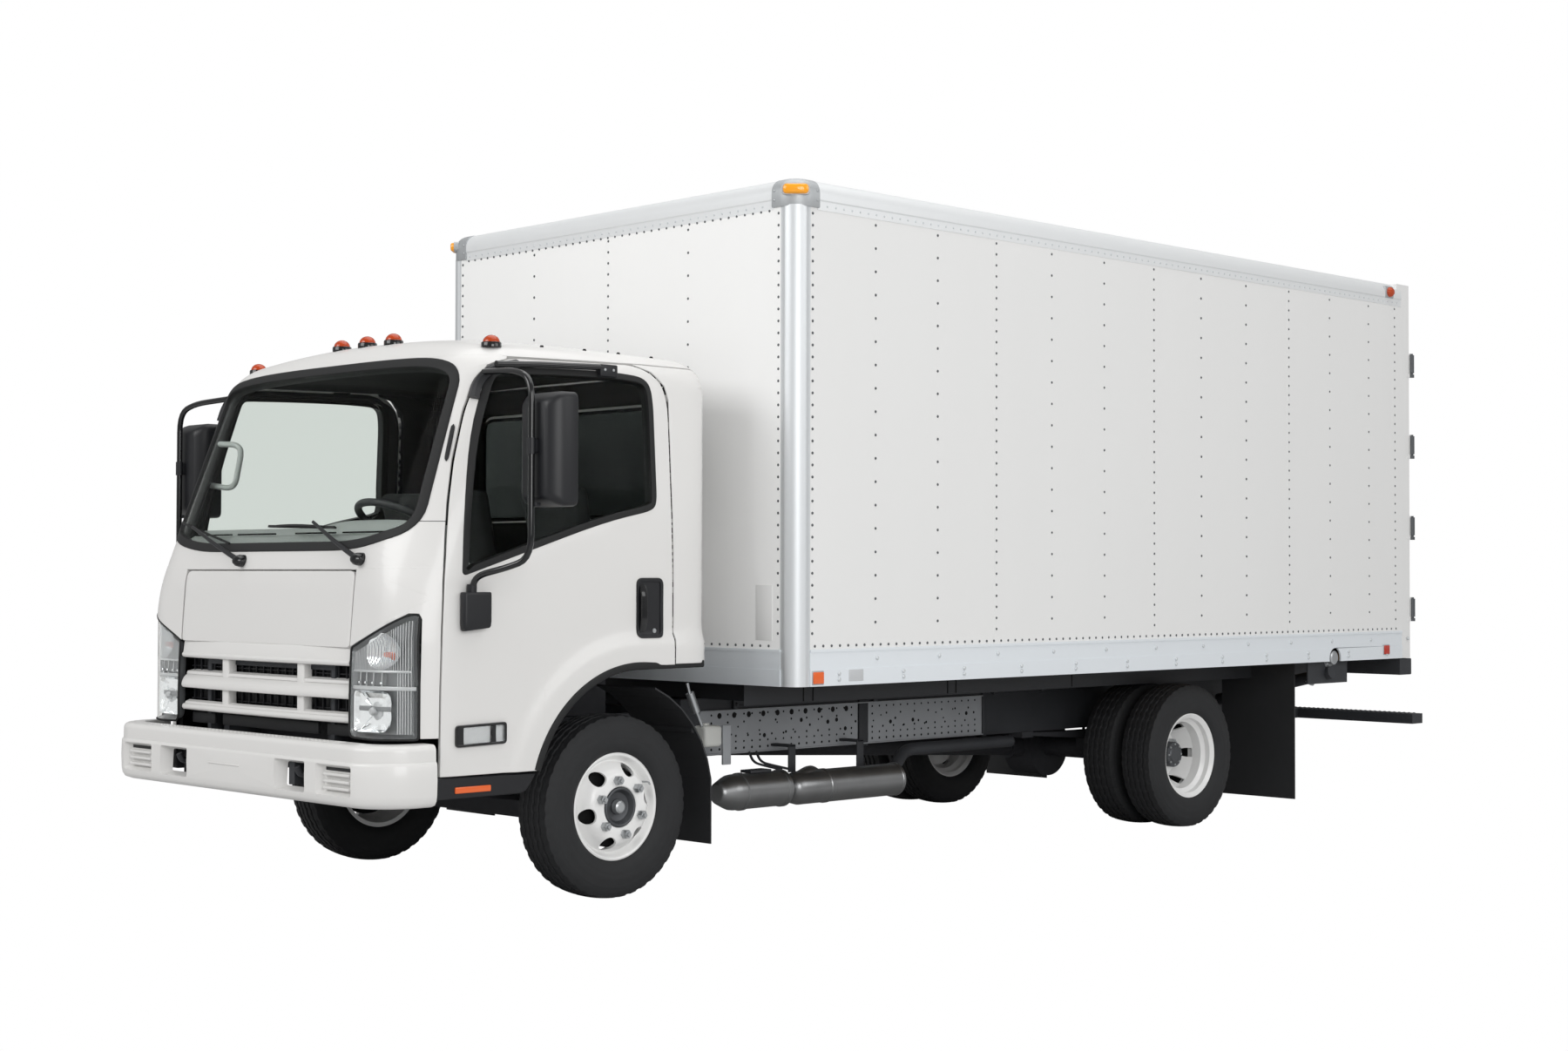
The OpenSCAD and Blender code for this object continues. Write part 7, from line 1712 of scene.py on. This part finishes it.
def build_interior():
    """Seats with stuffed pads, dash pad with its vents, grab bar and steering wheel."""
    lean = -math.radians(12)
    for name, x, w in SEATS:
        cushion("pad_" + name, [x - w / 2 + 0.02, -0.245, 1.0], [x + w / 2 - 0.02, 0.1, 1.085])
        cushion("back_" + name, [x - w / 2 + 0.03, 0.118, 1.112], [x + w / 2 - 0.03, 0.2, 1.7], lean,
                            (0, 0.1, 1.1))
    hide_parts("seats")
    base = [slab([x - w / 2 + 0.03, -0.225, 0.972], [x + w / 2 - 0.03, 0.21, 1.01], 0.008) for _, x, w in SEATS]
    piece("seat_bases", join(*base), "plastic", "cab")
    # Dash pad: a swelling sheet over the dash, higher before the driver, drawn as a grid of height over [x, y]
    u, v = np.meshgrid(np.linspace(-0.85, 0.85, 60), np.linspace(0, 1, 26), indexing="ij")
    front = np.maximum(-1.005, skin_front(u, 1.5)[..., 1] + 0.055)
    y = front + v * (-0.775 - front)
    hump = np.exp(-(((u - 0.448) / 0.3) ** 4)) * np.exp(-(((v - 0.55) / 0.3) ** 4))
    z = 1.47 + 0.03 * np.clip(v / 0.45, 0, 1) ** 1.2 + 0.026 * hump - 0.055 * np.clip((v - 0.88) / 0.12, 0, 1) ** 2
    top = np.stack([u, y, z], -1)
    low = np.stack([u, y, np.full(u.shape, 1.4)], -1)
    edge = np.concatenate([top, low[:, ::-1]], 1)
    shell = surface(edge, False, True, True)
    piece("dash_pad", shell, "dash", "cab")
    # Vent slots: thin slabs of near-black painted shade
    vents = [slab([a, -0.982, 1.472], [b, -0.968, 1.4785], 0.002, 2)
             for a, b in ((-0.7, -0.42), (-0.36, -0.08), (0.08, 0.36), (0.42, 0.7))]
    piece("dash_vents", join(*vents), "void", "cab")
    # Grab bar inside the right pillar
    bar = tube([[-0.845, -0.795, 1.88], [-0.7, -0.79, 1.872], [-0.655, -0.79, 1.845], [-0.7, -0.792, 1.7],
                [-0.745, -0.795, 1.684], [-0.89, -0.8, 1.7]], 0.0125, 0.035, 14, (0, 1, 0))
    piece("grab_bar", bar, "grab", "cab")
    # Steering wheel: grip ring, three spokes and boss, drawn flat and leaned with the column
    a = np.linspace(0, 2 * math.pi, 72, endpoint=False)
    rim = sweep(points(0.215 * np.cos(a), 0.215 * np.sin(a), 0.0), ring(0.0155, 14), (0, 0, 1), True)
    spokes = []
    for k in (math.pi / 2, math.pi * 7 / 6, math.pi * 11 / 6):
        d = np.array([math.cos(k), math.sin(k), 0.0])
        spokes.append(sweep(np.stack([d * r + [0, 0, h]
                                      for r, h in ((0.04, -0.02), (0.1, -0.016), (0.16, -0.008), (0.208, -0.002))]),
                            ring(0.012, 10) * [1.5, 0.6], (0, 0, 1)))
    boss = revolve([[AXIS, -0.006], [0.03, -0.007], [0.052, -0.012], [0.058, -0.022], [0.05, -0.04], [AXIS, -0.04]],
                   [0, 0, 0], 2, 40)
    v, f = join(rim, *spokes, boss)
    c, q = math.cos(math.radians(28)), math.sin(math.radians(28))
    v = np.stack([v[:, 0], v[:, 1] * c + v[:, 2] * q, v[:, 2] * c - v[:, 1] * q], 1) + [0.448, -0.69, 1.495]
    piece("wheel_grip", (v, f), "plastic", "steering_wheel", ("steering_wheel",))


def colour(name, text, code):
    """Property that holds a colour."""
    return bpy.props.StringProperty(name=name, description=text + ", sRGB hex", default=code)


def power(name, text, watts):
    """Property that holds a lamp's power."""
    return bpy.props.FloatProperty(name=name, description="Power of the " + text, default=watts, unit="POWER")


class TruckColours(bpy.types.PropertyGroup):
    cab: colour("Cab paint", "Gloss white of the cab", "#DAD9D7")
    body: colour("Body sheet", "White of the cargo body's sheets", "#E2E2E1")
    bright: colour("Corner post", "Bright aluminium of posts and top rails", "#D9DCDE")
    rail: colour("Bottom rail", "Anodised bottom rail", "#E6EBEF")
    frame: colour("Chassis", "Chassis paint", "#34363A")


class TruckStage(bpy.types.PropertyGroup):
    floor: colour("Floor", "Floor as it lights the truck", "#C9C9C9")
    sky: bpy.props.FloatProperty(name="Sky", description="Strength of the soft light from all round", default=0.42)
    front: power("Front lamp", "lamp ahead of the cab", 415.0)
    side: power("Side lamp", "lamp on the truck's left", 290.0)
    quarter: power("Quarter lamp", "low lamp off the left front corner", 300.0)
    top: power("Top lamp", "overhead lamp", 560.0)


def step_class(name, label, text, work):
    """Operator that runs one group's builder."""

    def execute(self, context):
        work()
        return {"FINISHED"}

    return type("TRUCK_OT_" + name, (bpy.types.Operator,),
                {"bl_idname": "truck." + name, "bl_label": label, "__doc__": text, "execute": execute})


STEPS = [
    step_class("materials", "Materials", "Makes every finish and gives each CAD node its own",
               lambda: (make_materials(bpy.context.scene.truck_colours), dress_nodes())),
    step_class("cab_skin", "Cab skin", "Builds the cab's outer panels, glass and trim", build_cab_skin),
    step_class("doors", "Doors", "Builds both cab doors", build_doors),
    step_class("cargo_body", "Cargo body", "Builds sheets, rivets, posts, rails and lamps of the cargo body",
               build_body),
    step_class("wheels", "Wheels", "Builds tyres, nuts, hubs and valves", build_wheels),
    step_class("bumper", "Bumper", "Builds the bumper", build_bumper),
    step_class("grille", "Grille", "Builds the grille", build_grille),
    step_class("headlamps", "Headlamps", "Builds both headlamps", build_headlamps),
    step_class("mirrors", "Mirrors", "Builds the door mirrors", build_mirrors),
    step_class("wipers", "Wipers", "Builds the wipers", build_wipers),
    step_class("trim", "Trim", "Builds roof lamps, sills and small trim", build_trim),
    step_class("chassis", "Chassis", "Builds frame sides, exhaust, brackets and clips", build_chassis),
    step_class("rear", "Rear doors", "Builds the rear doors' seals", build_rear),
    step_class("interior", "Interior", "Builds seats, dash pad, grab bar and steering wheel", build_interior),
    step_class("stage", "Stage", "Sets floor, lights and camera",
               lambda: build_stage(bpy.context.scene.truck_stage)),
]


class TRUCK_PT_panel(bpy.types.Panel):
    """Lists the truck's building steps"""
    bl_label = "Cargo truck"
    bl_space_type = "VIEW_3D"
    bl_region_type = "UI"
    bl_category = "Truck"

    def draw(self, context):
        for step in STEPS:
            self.layout.operator(step.bl_idname)


CLASSES = [TruckColours, TruckStage, *STEPS, TRUCK_PT_panel]


def register():
    for c in CLASSES:
        bpy.utils.register_class(c)
    bpy.types.Scene.truck_colours = bpy.props.PointerProperty(type=TruckColours)
    bpy.types.Scene.truck_stage = bpy.props.PointerProperty(type=TruckStage)


def unregister():
    del bpy.types.Scene.truck_colours
    del bpy.types.Scene.truck_stage
    for c in reversed(CLASSES):
        bpy.utils.unregister_class(c)


def main():
    register()
    for step in STEPS:
        getattr(bpy.ops.truck, step.bl_idname.split(".")[1])()


if __name__ == "__main__":
    main()
